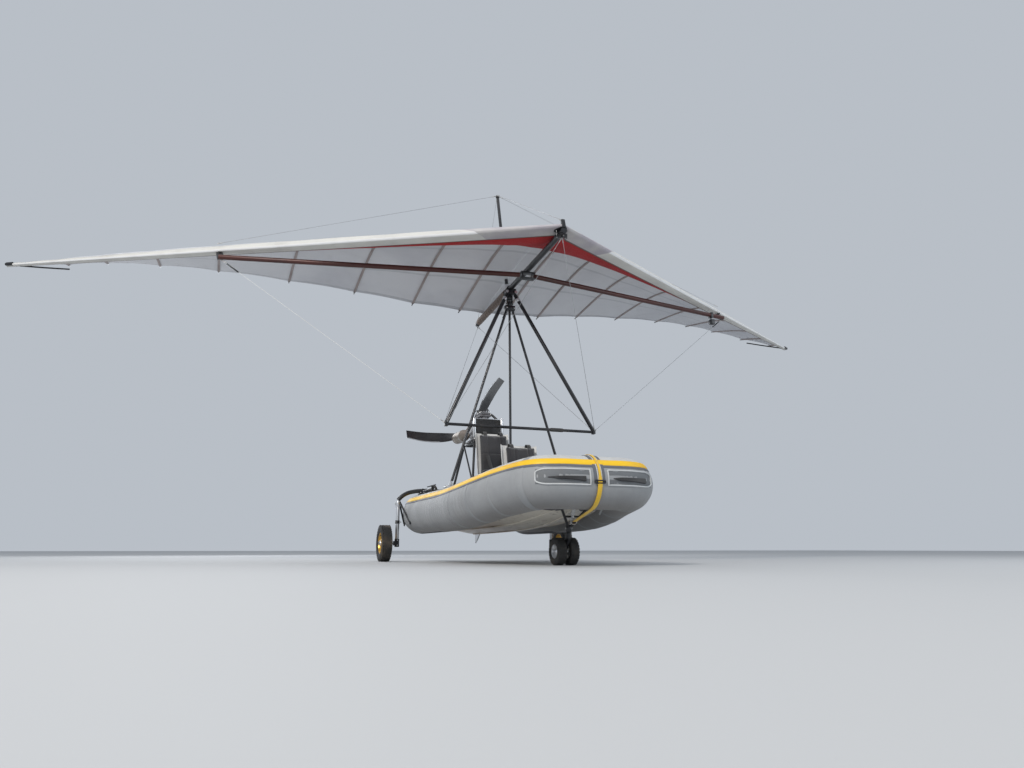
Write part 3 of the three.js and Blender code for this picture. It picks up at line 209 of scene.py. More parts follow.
@dataclass(frozen=True)
class Finish:
    """One finish: a colour that drifts to a shade, with soiling and a fine grain; on the tubes the soiling
    mask also carries painted shade.
    """

    name: str
    slot: str
    colour: Colour
    shade: Colour
    roughness: float
    metallic: float = 0.0
    grain: Grain = Grain.PEEL
    pitch: float = 0.0015          # size of the grain, in metres
    relief: float = 0.15
    drift: float = 2.5             # how often the tone changes in a metre
    grime: float = 0.15
    # colour of grime, and on the tubes also of the painted shade on their undersides
    soil_and_shade: Colour = (0.10, 0.075, 0.05)
    coat: float = 0.0
    sheen: float = 0.0
    made: ClassVar[dict[str, bpy.types.Material]] = {}

    def material(self) -> bpy.types.Material:
        """Makes the material at its first use.

        Returns:
            The material, shared by the pieces of this finish.
        """
        if self.name not in Finish.made:
            graph = Graph(self.name)
            # mask of grime, and on the tubes also of painted shade on the underside
            dirt_and_shade = self.dirt_and_shade(graph)
            colour = graph.mix(dirt_and_shade, self.base(graph), self.soil_and_shade)
            rough = graph.noise(9.0) * 0.16 + (self.roughness - 0.08) + dirt_and_shade * 0.2
            bump = graph.node("ShaderNodeBump", inputs={"Strength": self.relief, "Distance": self.pitch,
                                                        "Height": self.height(graph)})
            shader = graph.node("ShaderNodeBsdfPrincipled", inputs={
                "Base Color": colour, "Roughness": rough, "Metallic": self.metallic, "Normal": bump,
                "Coat Weight": self.coat, "Coat Roughness": 0.15, "Sheen Weight": self.sheen,
                "Sheen Roughness": 0.5})
            self.end(graph, shader)
            Finish.made[self.name] = graph.material
        return Finish.made[self.name]

    @staticmethod
    def end(graph: Graph, shader: Socket) -> None:
        """Links the shader to the material's output."""
        end = graph.tree.nodes.new("ShaderNodeOutputMaterial")
        graph.tree.links.new(shader.link, end.inputs["Surface"])

    def base(self, graph: Graph) -> Socket:
        """The clean colour, drifting to its shade."""
        return graph.mix(graph.noise(self.drift, 4.0).step(0.4, 0.75), self.colour, self.shade)

    def dirt_and_shade(self, graph: Graph) -> Socket:
        """How much grime lies on the surface, in specks and smears."""
        return graph.noise(5.5, 8.0).step(0.48, 0.8) * self.grime

    def height(self, graph: Graph) -> Socket:
        """Relief of the grain.

        Args:
            graph: the tree that it goes into.

        Returns:
            A height for the Bump node.
        """
        if self.grain is Grain.WEAVE:
            x, y, z = graph.axes(graph.place())
            turns = 2 * math.pi / self.pitch
            return (x * turns).sine() * 0.25 + (y * turns).sine() * 0.25 + (z * turns).sine() * 0.25
        if self.grain is Grain.BRUSHED:
            return graph.noise(1 / self.pitch, 2.0, (0.05, 0.05, 1.0))
        if self.grain is Grain.CAST:
            return graph.noise(0.5 / self.pitch, 4.0)
        return graph.noise(0.3 / self.pitch, 1.0)


@dataclass(frozen=True)
class TubeFabric(Finish):
    """Coated fabric of the tubes, with painted sunlight on top and an underside darkened by painted shade
    mixed with grime.
    """

    # painted sunlight: the lighter colour of the band over the tube's top
    top: Colour = (0.56, 0.57, 0.56)

    def base(self, graph: Graph) -> Socket:
        """The painted sunlight on the top above the strake, lighter than the side below it.

        Args:
            graph: the tree that it goes into.

        Returns:
            The colour.
        """
        across = graph.axes(graph.unwrapped())[1]
        # painted sunlight: the band over the top of the tube is lighter
        upper = across.step(0.125, 0.13) * across.step(0.42, 0.40)
        return graph.mix(upper, super().base(graph), self.top)

    def dirt_and_shade(self, graph: Graph) -> Socket:
        """Grime in specks and runs down the side, and an underside darkened by painted shade mixed with
        grime.

        Args:
            graph: the tree that it goes into.

        Returns:
            How much of it there is.
        """
        across = graph.axes(graph.unwrapped())[1]
        # painted shade mixed with grime: the underside of the tube is darkened
        below = across.step(0.97, 0.78) * across.step(0.5, 0.62)
        runs = graph.noise(26.0, 5.0, (1, 1, 0.08)).step(0.5, 0.72)
        return graph.noise(3.0, 8.0).step(0.42, 0.8) * self.grime + below * 0.45 + runs * 0.05

    def height(self, graph: Graph) -> Socket:
        """Weave along the piece's own run, under shallow creases.

        Args:
            graph: the tree that it goes into.

        Returns:
            A height for the Bump node.
        """
        along, across, _ = graph.axes(graph.unwrapped())
        turns = 2 * math.pi / self.pitch
        weave = (along * turns).sine() + (across * (turns * 1.45)).sine()
        return weave * 0.2 + graph.noise(14.0, 5.0, (1, 0.5, 1)) * 2.5


@dataclass(frozen=True)
class HullGelcoat(Finish):
    """Gelcoat of the V-bottom: pale ahead, stained brown towards the stern."""

    stain: Colour = (0.30, 0.19, 0.095)
    clean_y: float = -1.55
    stained_y: float = 0.35

    def base(self, graph: Graph) -> Socket:
        """Pale at the bow, with rust-brown stains that thicken aft.

        Args:
            graph: the tree that it goes into.

        Returns:
            The colour.
        """
        y = graph.axes(graph.place())[1]
        blots = graph.noise(2.2, 9.0, (1.3, 0.45, 1.3))
        aft = y.step(self.clean_y, self.stained_y)
        share = (blots * 0.9 + aft * 0.75).step(0.5, 1.15)
        return graph.mix(share * 0.85, super().base(graph), self.stain)

    def dirt_and_shade(self, graph: Graph) -> Socket:
        """Scuffs along the keel and specks of dried mud.

        Args:
            graph: the tree that it goes into.

        Returns:
            How much of it there is.
        """
        z = graph.axes(graph.place())[2]
        scuffs = graph.noise(34.0, 6.0, (1, 0.15, 1)).step(0.56, 0.7) * z.step(0.47, 0.36)
        return scuffs * 0.5 + graph.noise(18.0, 9.0).step(0.55, 0.8) * self.grime


@dataclass(frozen=True)
class SailCloth(Finish):
    """Sailcloth with sewn panel seams that follow the chord, and a woven grid."""

    seams: tuple[float, ...] = (0.34, 0.66)
    seam_shade: Colour = (0.42, 0.44, 0.47)
    edge_shade: Colour = (0.36, 0.37, 0.40)

    def base(self, graph: Graph) -> Socket:
        """The cloth's tone with darker seams and a reinforced trailing edge.

        Args:
            graph: the tree that it goes into.

        Returns:
            The colour.
        """
        _, share, _ = graph.axes(graph.unwrapped())
        colour = super().base(graph)
        for seam in self.seams:
            line = abs(share - seam).step(0.012, 0.007)
            colour = graph.mix(line * 0.55, colour, self.seam_shade)
        return graph.mix(share.step(0.965, 0.972) * 0.6, colour, self.edge_shade)

    def height(self, graph: Graph) -> Socket:
        """A weave, and soft creases along the span.

        Args:
            graph: the tree that it goes into.

        Returns:
            A height for the Bump node.
        """
        along, share, _ = graph.axes(graph.unwrapped())
        turns = 2 * math.pi / self.pitch
        weave = (along * turns).sine() + (share * turns * 2.5).sine()
        return weave * 0.2 + graph.noise(3.5, 4.0, (2, 0.6, 1)) * 3.0


@dataclass(frozen=True)
class EdgeCloth(Finish):
    """Cloth of the leading edge: lilac grey at the nose, cream beyond it, with a painted highlight band and a
    dark brown band on its underside.
    """

    root: Colour = (0.40, 0.37, 0.41)
    # painted highlight: the white of the band along the front of the underside
    panel: Colour = (0.86, 0.86, 0.86)
    # the dark brown of the band along the rear of the underside
    rear_brown_band: Colour = (0.10, 0.055, 0.045)
    root_x: float = 0.80
    slant: float = 0.45

    def base(self, graph: Graph) -> Socket:
        """The root's tone, the cloth beyond its seam, the painted highlight band at the front of the
        underside and the dark brown band at its rear.

        Args:
            graph: the tree that it goes into.

        Returns:
            The colour.
        """
        x = abs(graph.axes(graph.place())[0])
        across = graph.axes(graph.unwrapped())[1]
        outer = (x + across * self.slant).step(self.root_x + 0.2, self.root_x + 0.215)
        root = graph.mix(graph.noise(self.drift, 4.0).step(0.4, 0.75), self.root, self.shade)
        colour = graph.mix(outer, root, super().base(graph))
        # painted highlight: a white band along the front of the underside, outboard of the root
        painted_highlight = across.step(0.500, 0.506) * across.step(0.606, 0.600) * outer
        colour = graph.mix(painted_highlight, colour, self.panel)
        # a dark brown band along the rear of the underside
        return graph.mix(across.step(0.845, 0.850) * across.step(0.985, 0.980), colour, self.rear_brown_band)


@dataclass(frozen=True)
class Finishes:
    """Every finish of the craft."""

    tube: TubeFabric = TubeFabric("coated_grey_fabric", "tube_fabric", (0.32, 0.33, 0.34), (0.26, 0.27, 0.28),
                                  0.55, pitch=0.0018, relief=0.35, grime=0.12, sheen=0.15)
    seam: Finish = Finish("seam_tape", "tube_fabric", (0.33, 0.34, 0.35), (0.27, 0.28, 0.29), 0.6,
                          grain=Grain.WEAVE, pitch=0.0016, relief=0.25)
    frame_patch: Finish = Finish("grey_patch", "tube_fabric", (0.16, 0.17, 0.18), (0.12, 0.13, 0.14), 0.6,
                                 grain=Grain.WEAVE, pitch=0.0016, relief=0.25, grime=0.2)
    piping: Finish = Finish("pale_piping", "tube_fabric", (0.60, 0.61, 0.61), (0.48, 0.50, 0.51), 0.55,
                            grime=0.25)
    dark_patch: Finish = Finish("dark_patch", "tube_fabric", (0.10, 0.10, 0.11), (0.07, 0.07, 0.075), 0.7,
                                grain=Grain.WEAVE, pitch=0.002, relief=0.4, grime=0.3, soil_and_shade=(0.2, 0.16, 0.12))
    strake: Finish = Finish("yellow_strake", "yellow_tape", (0.92, 0.56, 0.010), (0.80, 0.45, 0.010), 0.5,
                            grime=0.10)
    strake_edge: Finish = Finish("grey_stripe", "tube_fabric", (0.12, 0.13, 0.15), (0.10, 0.105, 0.12), 0.55)
    webbing: Finish = Finish("yellow_webbing", "yellow_tape", (0.90, 0.56, 0.02), (0.76, 0.45, 0.02), 0.75,
                             grain=Grain.WEAVE, pitch=0.003, relief=0.6, sheen=0.3)
    brown_web: Finish = Finish("brown_webbing", "seat_cloth", (0.17, 0.10, 0.06), (0.11, 0.07, 0.05), 0.8,
                               grain=Grain.WEAVE, pitch=0.003, relief=0.6, sheen=0.3)
    black_web: Finish = Finish("black_webbing", "seat_cloth", (0.025, 0.025, 0.028), (0.05, 0.048, 0.045),
                               0.8, grain=Grain.WEAVE, pitch=0.003, relief=0.6, sheen=0.3)
    hull: HullGelcoat = HullGelcoat("hull_gelcoat", "gelcoat", (0.74, 0.70, 0.62), (0.62, 0.56, 0.46), 0.35,
                                    relief=0.1, grime=0.5, coat=0.25)
    board: Finish = Finish("board_gelcoat", "gelcoat", (0.72, 0.69, 0.62), (0.58, 0.53, 0.44), 0.4, grime=0.4,
                           coat=0.2)
    black: Finish = Finish("black_tube_paint", "black_tube", (0.018, 0.019, 0.022), (0.035, 0.036, 0.04),
                           0.34, metallic=0.3, relief=0.12, grime=0.12, soil_and_shade=(0.16, 0.14, 0.12), coat=0.2)
    brown: Finish = Finish("brown_tube_paint", "brown_tube", (0.075, 0.022, 0.018), (0.05, 0.02, 0.018), 0.4,
                           metallic=0.2, relief=0.12, grime=0.12)
    pocket: Finish = Finish("brown_pocket_cloth", "brown_tube", (0.13, 0.085, 0.06), (0.09, 0.06, 0.045),
                            0.85, grain=Grain.WEAVE, pitch=0.002, relief=0.5, sheen=0.3)
    blade: Finish = Finish("propeller_composite", "propeller_black", (0.014, 0.014, 0.016),
                           (0.03, 0.03, 0.032), 0.32, relief=0.08, grime=0.1, coat=0.35)
    burnt: Finish = Finish("heated_steel", "bare_metal", (0.34, 0.30, 0.26), (0.22, 0.17, 0.14), 0.45,
                           metallic=0.85, grain=Grain.CAST, pitch=0.0012, relief=0.12, grime=0.35,
                           soil_and_shade=(0.13, 0.06, 0.03))
    blade_edge: Finish = Finish("blade_edge_metal", "propeller_black", (0.55, 0.56, 0.57), (0.38, 0.38, 0.4),
                                0.35, metallic=0.9, grain=Grain.BRUSHED, grime=0.2)
    metal: Finish = Finish("bare_aluminium", "bare_metal", (0.72, 0.73, 0.75), (0.58, 0.59, 0.61), 0.3,
                           metallic=0.95, grain=Grain.BRUSHED, pitch=0.0006, relief=0.12, grime=0.15)
    steel: Finish = Finish("zinc_steel", "bare_metal", (0.55, 0.55, 0.54), (0.40, 0.39, 0.37), 0.38,
                           metallic=1.0, grain=Grain.CAST, pitch=0.0008, relief=0.1, grime=0.25,
                           soil_and_shade=(0.2, 0.09, 0.04))
    gold: Finish = Finish("gold_rim_paint", "gold_rim", (0.62, 0.36, 0.06), (0.45, 0.25, 0.04), 0.34,
                          metallic=0.75, relief=0.1, grime=0.2, coat=0.2)
    rubber: Finish = Finish("tyre_rubber", "tyre_rubber", (0.018, 0.018, 0.018), (0.035, 0.034, 0.032), 0.75,
                            grain=Grain.CAST, pitch=0.001, relief=0.2, grime=0.45, soil_and_shade=(0.19, 0.15, 0.11))
    block: Finish = Finish("cast_engine_metal", "engine_metal", (0.22, 0.22, 0.23), (0.15, 0.15, 0.16), 0.55,
                           metallic=0.6, grain=Grain.CAST, pitch=0.002, relief=0.35, grime=0.35,
                           soil_and_shade=(0.06, 0.045, 0.03))
    core: Finish = Finish("radiator_core", "black_tube", (0.05, 0.05, 0.052), (0.08, 0.08, 0.08), 0.5,
                          metallic=0.5, grain=Grain.BRUSHED, pitch=0.002, relief=0.5)
    hose: Finish = Finish("hose_rubber", "tyre_rubber", (0.02, 0.02, 0.022), (0.04, 0.04, 0.04), 0.55,
                          grime=0.2)
    tank: Finish = Finish("tank_plastic", "tank_plastic", (0.66, 0.62, 0.50), (0.56, 0.51, 0.38), 0.4,
                          relief=0.15, grime=0.25)
    cloth: Finish = Finish("seat_cover", "seat_cloth", (0.022, 0.022, 0.026), (0.045, 0.045, 0.05), 0.85,
                           grain=Grain.WEAVE, pitch=0.0022, relief=0.5, sheen=0.4, grime=0.2,
                           soil_and_shade=(0.13, 0.11, 0.09))
    cover: Finish = Finish("coated_black_cover", "seat_cloth", (0.014, 0.014, 0.016), (0.025, 0.025, 0.028),
                           0.3, relief=0.3, pitch=0.004, grime=0.1, coat=0.3)
    pale_cloth: Finish = Finish("seat_shell", "tank_plastic", (0.78, 0.78, 0.76), (0.66, 0.66, 0.64), 0.5,
                                grime=0.2)
    edge_cloth: EdgeCloth = EdgeCloth("leading_edge_cloth", "sail_white", (0.66, 0.65, 0.61),
                                      (0.57, 0.56, 0.53), 0.6, grain=Grain.WEAVE, pitch=0.002, relief=0.3,
                                      sheen=0.1, grime=0.12)
    batten: Finish = Finish("batten_pocket_cloth", "sail_pale", (0.36, 0.31, 0.30), (0.27, 0.23, 0.22), 0.75,
                            grain=Grain.WEAVE, pitch=0.002, relief=0.4)
    sail: SailCloth = SailCloth("sail_cloth", "sail_pale", (0.66, 0.67, 0.70), (0.56, 0.57, 0.61), 0.6,
                                pitch=0.006, relief=0.35, sheen=0.2, grime=0.06, drift=1.2)
    red: SailCloth = SailCloth("red_panel_cloth", "sail_red", (0.42, 0.006, 0.008), (0.30, 0.005, 0.007), 0.7,
                               pitch=0.006, relief=0.35, grime=0.06, seams=(), edge_shade=(0.3, 0.01, 0.012))
    wire: Finish = Finish("stainless_wire", "steel_wire", (0.42, 0.43, 0.44), (0.3, 0.3, 0.31), 0.35,
                          metallic=0.9, grain=Grain.BRUSHED, pitch=0.002, relief=0.4)
    pale_wire: Finish = Finish("coated_wire", "steel_wire", (0.74, 0.74, 0.72), (0.6, 0.6, 0.58), 0.45)


FINISH = Finishes()


X, Y, Z = Vector((1, 0, 0)), Vector((0, 1, 0)), Vector((0, 0, 1))
HEX = 6                              # sides of a nut or a bolt's head
# A strap's flat section: pairs across and up
RING = ((-1, -0.6), (-0.94, -1), (0.94, -1), (1, -0.6), (1, 0.6), (0.94, 1), (-0.94, 1), (-1, 0.6))


def blend(a: Any, b: Any, c: Any, d: Any, t: float) -> Any:
    """The smooth line through four values, at a share t between the middle two."""
    return 0.5 * (2 * b + (c - a) * t + (2 * a - 5 * b + 4 * c - d) * t ** 2
                  + (3 * b - a - 3 * c + d) * t ** 3)


def near(rows: Sequence[Any], i: int) -> list[Any]:
    """The four rows about the gap after row i, where the end rows stand in for missing ones."""
    return [rows[min(max(k, 0), len(rows) - 1)] for k in range(i - 1, i + 3)]


def smooth_row(rows: Sequence[Sequence[float]], share: float) -> tuple[float, ...]:
    """A row of a table, on smooth lines through its columns.

    Args:
        rows: the table.
        share: 0 at its first row, 1 at its last.

    Returns:
        The row.
    """
    spot = share * (len(rows) - 1)
    i = min(int(spot), len(rows) - 2)
    return tuple(blend(*column, spot - i) for column in zip(*near(rows, i)))


def curve_through(points: Sequence[Point], steps: int) -> list[Vector]:
    """A smooth line through points.

    Args:
        points: the points it passes.
        steps: samples between two of them.

    Returns:
        The samples, ends included.
    """
    spots = [Vector(p) for p in points]
    samples = [(i, k / steps) for i in range(len(spots) - 1) for k in range(steps)]
    return [blend(*near(spots, i), share) for i, share in samples] + [spots[-1]]


def circle(count: int, radius: float, first: float = 0.0) -> list[tuple[float, float]]:
    """Points of a circle.

    Args:
        count: how many there are.
        radius: its radius.
        first: angle of the first one.

    Returns:
        Pairs of places.
    """
    turns = [math.tau * k / count + first for k in range(count)]
    return [(radius * math.cos(a), radius * math.sin(a)) for a in turns]


def thicken(piece: bpy.types.Object, thickness: float, offset: float = 0.0) -> None:
    """Gives an open piece its thickness.

    Args:
        piece: the piece.
        thickness: its thickness.
        offset: -1 inwards, 0 both ways, 1 outwards.
    """
    solid = piece.modifiers.new("thickness", "SOLIDIFY")
    solid.thickness, solid.offset = thickness, offset


class Form:
    """A mesh in the making, from bmesh operators, and the finished piece at its end."""

    def __init__(self, name: str, body: str = "boat") -> None:
        """Starts an empty mesh that rides on a body.

        Args:
            name: the piece's name.
            body: the body that it rides on.
        """
        self.name = name
        self.body = body
        self.bm = bmesh.new()
        self.run = self.bm.loops.layers.uv.new("run")

    def bevel(self, edges: Iterable[bmesh.types.BMEdge], size: float, segments: int = 2) -> None:
        """Rounds edges."""
        bmesh.ops.bevel(self.bm, geom=list(edges), offset=size, offset_type="OFFSET", segments=segments,
                        profile=0.5, affect="EDGES", material=-1, clamp_overlap=True)

    def rod(self, start: Point, end: Point, radius: float, sides: int = 24, edge: float = 0.0) -> "Form":
        """A round bar.

        Args:
            start: middle of one end.
            end: middle of the other end.
            radius: its radius.
            sides: faces round it.
            edge: rounding of its rims.

        Returns:
            The form.
        """
        a, b = Vector(start), Vector(end)
        turn = (b - a).to_track_quat("Z", "Y").to_matrix().to_4x4()
        made = bmesh.ops.create_cone(self.bm, cap_ends=True, segments=sides, radius1=radius, radius2=radius,
                                     depth=(b - a).length, matrix=Matrix.Translation((a + b) / 2) @ turn)
        if edge:
            self.bevel({e for v in made["verts"] for e in v.link_edges
                        if any(len(f.verts) == sides for f in e.link_faces)}, edge)
        return self

    def bar(self, spot: Point, axis: Vector, low: float, high: float, radius: float, sides: int = 24,
            edge: float = 0.0) -> "Form":
        """A round bar on an axis.

        Args:
            spot: a point of the axis.
            axis: its direction.
            low: where the bar starts, from that point.
            high: where it ends.
            radius: its radius.
            sides: faces round it.
            edge: rounding of its rims.

        Returns:
            The form.
        """
        return self.rod(Vector(spot) + axis * low, Vector(spot) + axis * high, radius, sides, edge)

    def bolt(self, spot: Point, axis: Vector, reach: Point, radius: float, head: float,
             ends: Iterable[Point]) -> "Form":
        """A bolt with its head and nut.

        Args:
            spot: a point of its axis.
            axis: its direction.
            reach: where its shank starts and ends, from that point.
            radius: the shank's radius.
            head: radius of the head and the nut.
            ends: where each of these starts and ends.

        Returns:
            The form.
        """
        self.bar(spot, axis, *reach, radius, 14)
        for low, high in ends:
            self.bar(spot, axis, low, high, head, HEX, 0.001)
        return self

    def block(self, low: Point, high: Point, edge: float = 0.004, turn: Matrix | None = None) -> "Form":
        """A box with rounded edges.

        Args:
            low: its lowest corner.
            high: its highest corner.
            edge: rounding.
            turn: a turn about its middle.

        Returns:
            The form.
        """
        a, b = Vector(low), Vector(high)
        place = Matrix.Translation((a + b) / 2) @ (turn or Matrix.Identity(4))
        made = bmesh.ops.create_cube(self.bm, size=1, matrix=place @ Matrix.Diagonal((*(b - a), 1)))
        if edge:
            self.bevel({e for v in made["verts"] for e in v.link_edges}, edge)
        return self

    def slab(self, spot: Point, half: Point, low: float, high: float, edge: float,
             turn: Matrix | None = None) -> "Form":
        """A box about an upright line.

        Args:
            spot: a point of the line.
            half: half its sizes along X and Y.
            low: its underside, from that point.
            high: its top, from that point.
            edge: rounding.
            turn: a turn about its middle.

        Returns:
            The form.
        """
        return self.block(Vector(spot) + Vector((-half[0], -half[1], low)),
                          Vector(spot) + Vector((*half, high)), edge, turn)

    def ball(self, centre: Point, size: Point, sides: int = 24) -> "Form":
        """An ellipsoid with three half axes.

        Args:
            centre: its middle.
            size: its half axes.
            sides: faces round it.

        Returns:
            The form.
        """
        bmesh.ops.create_uvsphere(self.bm, u_segments=sides, v_segments=sides // 2, radius=1,
                                  matrix=Matrix.Translation(centre) @ Matrix.Diagonal((*size, 1)))
        return self

    def surface(self, columns: int, rows: int, where: Callable[[float, float], Vector], closed: bool = False,
                run: tuple[float, float] = (1.0, 1.0)) -> "Form":
        """A grid laid on a formula.

        Args:
            columns: steps along.
            rows: steps across.
            where: the place of a share along and a share across.
            closed: whether it closes on itself across and at its ends.
            run: size of its UV map along and across.

        Returns:
            The form.
        """
        verts = bmesh.ops.create_grid(self.bm, x_segments=columns, y_segments=rows, size=0.5)["verts"]
        share = {v: (v.co.x + 0.5, v.co.y + 0.5) for v in verts}
        for face in {f for v in verts for f in v.link_faces}:
            for loop in face.loops:
                u, w = share[loop.vert]
                loop[self.run].uv = (u * run[0], w * run[1])
        for vert, (u, w) in share.items():
            vert.co = where(u, w)
        if closed:
            bmesh.ops.remove_doubles(self.bm, verts=verts, dist=1e-5)
            edges = {e for v in verts if v.is_valid for e in v.link_edges}
            bmesh.ops.holes_fill(self.bm, edges=[e for e in edges if e.is_boundary], sides=0)
        return self

    def pipe(self, points: Sequence[Point], radius: float, sides: int = 14, smooth: int = 6) -> "Form":
        """A round tube along points.

        Args:
            points: the points of its middle line.
            radius: its radius.
            sides: faces round it.
            smooth: samples between two points, or 0 for straight runs.

        Returns:
            The form.
        """
        line = curve_through(points, smooth) if smooth and len(points) > 2 else [Vector(p) for p in points]
        last = len(line) - 1
        tangents = [(line[min(i + 1, last)] - line[max(i - 1, 0)]).normalized() for i in range(last + 1)]
        normal = tangents[0].orthogonal().normalized()
        frames = []
        for tangent in tangents:
            normal = (normal - tangent * normal.dot(tangent)).normalized()
            frames.append((normal.copy(), tangent.cross(normal)))

        def where(u: float, w: float) -> Vector:
            """The tube's skin.

            Args:
                u: share along.
                w: share round.

            Returns:
                The point.
            """
            i, turn = round(u * last), math.tau * w
            side, up = frames[i]
            return line[i] + radius * (math.cos(turn) * side + math.sin(turn) * up)

        return self.surface(last, sides, where, True)

    def turned(self, profile: Sequence[tuple[float, float]], centre: Point, axis: Point = X,
               steps: int = 48) -> "Form":
        """A profile turned about an axis.

        Args:
            profile: pairs of place along the axis and radius; it closes unless its ends are on the axis.
            centre: the axis' origin.
            axis: its direction.
            steps: faces round it.

        Returns:
            The form.
        """
        line = Vector(axis).normalized()
        out = line.orthogonal().normalized()
        middle = Vector(centre)
        verts = [self.bm.verts.new(middle + line * along + out * radius) for along, radius in profile]
        edges = [self.bm.edges.new(pair) for pair in zip(verts, verts[1:])]
        if min(profile[0][1], profile[-1][1]) > 1e-6:
            edges.append(self.bm.edges.new((verts[-1], verts[0])))
        made = bmesh.ops.spin(self.bm, geom=verts + edges, cent=middle, axis=line, angle=math.tau,
                              steps=steps, use_merge=True, use_duplicate=False)
        queue = [item for item in made["geom_last"] if isinstance(item, bmesh.types.BMVert)]
        island = set(queue)
        while queue:
            fresh = {v for e in queue.pop().link_edges for v in e.verts} - island
            island |= fresh
            queue += fresh
        bmesh.ops.remove_doubles(self.bm, verts=list(island), dist=1e-6)
        return self

    def plate(self, outline: Sequence[Point], depth: Point, edge: float = 0.002) -> "Form":
        """A flat outline given a thickness.

        Args:
            outline: its corners.
            depth: how far and which way it is thick.
            edge: rounding of its edges.

        Returns:
            The form.
        """
        first = [self.bm.verts.new(Vector(p)) for p in outline]
        face = self.bm.faces.new(first)
        made = bmesh.ops.extrude_face_region(self.bm, geom=[face], use_keep_orig=True)
        moved = [item for item in made["geom"] if isinstance(item, bmesh.types.BMVert)]
        bmesh.ops.translate(self.bm, verts=moved, vec=Vector(depth))
        self.bevel({e for v in moved + first for e in v.link_edges}, edge)
        return self

    def ribbon(self, points: Sequence[Point], across: Vector | Sequence[Vector],
               width: Sequence[float] | float, thickness: float) -> "Form":
        """A flat strap along points.

        Args:
            points: its middle line.
            across: the way across it, one for all or one for each point.
            width: its width, one for all or one for each point.
            thickness: its thickness.

        Returns:
            The form.
        """
        line = [Vector(p) for p in points]
        last = len(line) - 1
        widths = [width] * len(line) if isinstance(width, float) else width
        ways = [across] * len(line) if isinstance(across, Vector) else across

        def where(u: float, w: float) -> Vector:
            """The strap's skin, a flat ring of eight points at each share along.

            Args:
                u: share along.
                w: share round.

            Returns:
                The point.
            """
            i = round(u * last)
            out = (line[min(i + 1, last)] - line[max(i - 1, 0)]).normalized().cross(ways[i]).normalized()
            side, rise = RING[round(w * len(RING)) % len(RING)]
            return line[i] + ways[i].normalized() * (side * widths[i] / 2) + out * (rise * thickness / 2)

        return self.surface(last, len(RING), where, True)

    def piece(self, finish: Finish, node: str = "", angle: float = 38.0,
              recalculate: bool = True) -> bpy.types.Object:
        """Ends the mesh and makes it a piece of the craft.

        Args:
            finish: its finish.
            node: the frame's node that it stands for.
            angle: edges sharper than this stay sharp.
            recalculate: whether its normals are made to point outwards.

        Returns:
            The new object.
        """
        if recalculate:
            bmesh.ops.recalc_face_normals(self.bm, faces=self.bm.faces)
        mesh = bpy.data.meshes.new(self.name)
        self.bm.to_mesh(mesh)
        self.bm.free()
        mesh.polygons.foreach_set("use_smooth", [True] * len(mesh.polygons))
        mesh.set_sharp_from_angle(angle=math.radians(angle))
        mesh.materials.append(finish.material())
        made = bpy.data.objects.new(self.name, mesh)
        bpy.context.scene.collection.objects.link(made)
        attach(made, self.body)
        if node:
            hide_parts(node)
        log.info("%s: %d faces on %s", self.name, len(mesh.polygons), self.body)
        return made


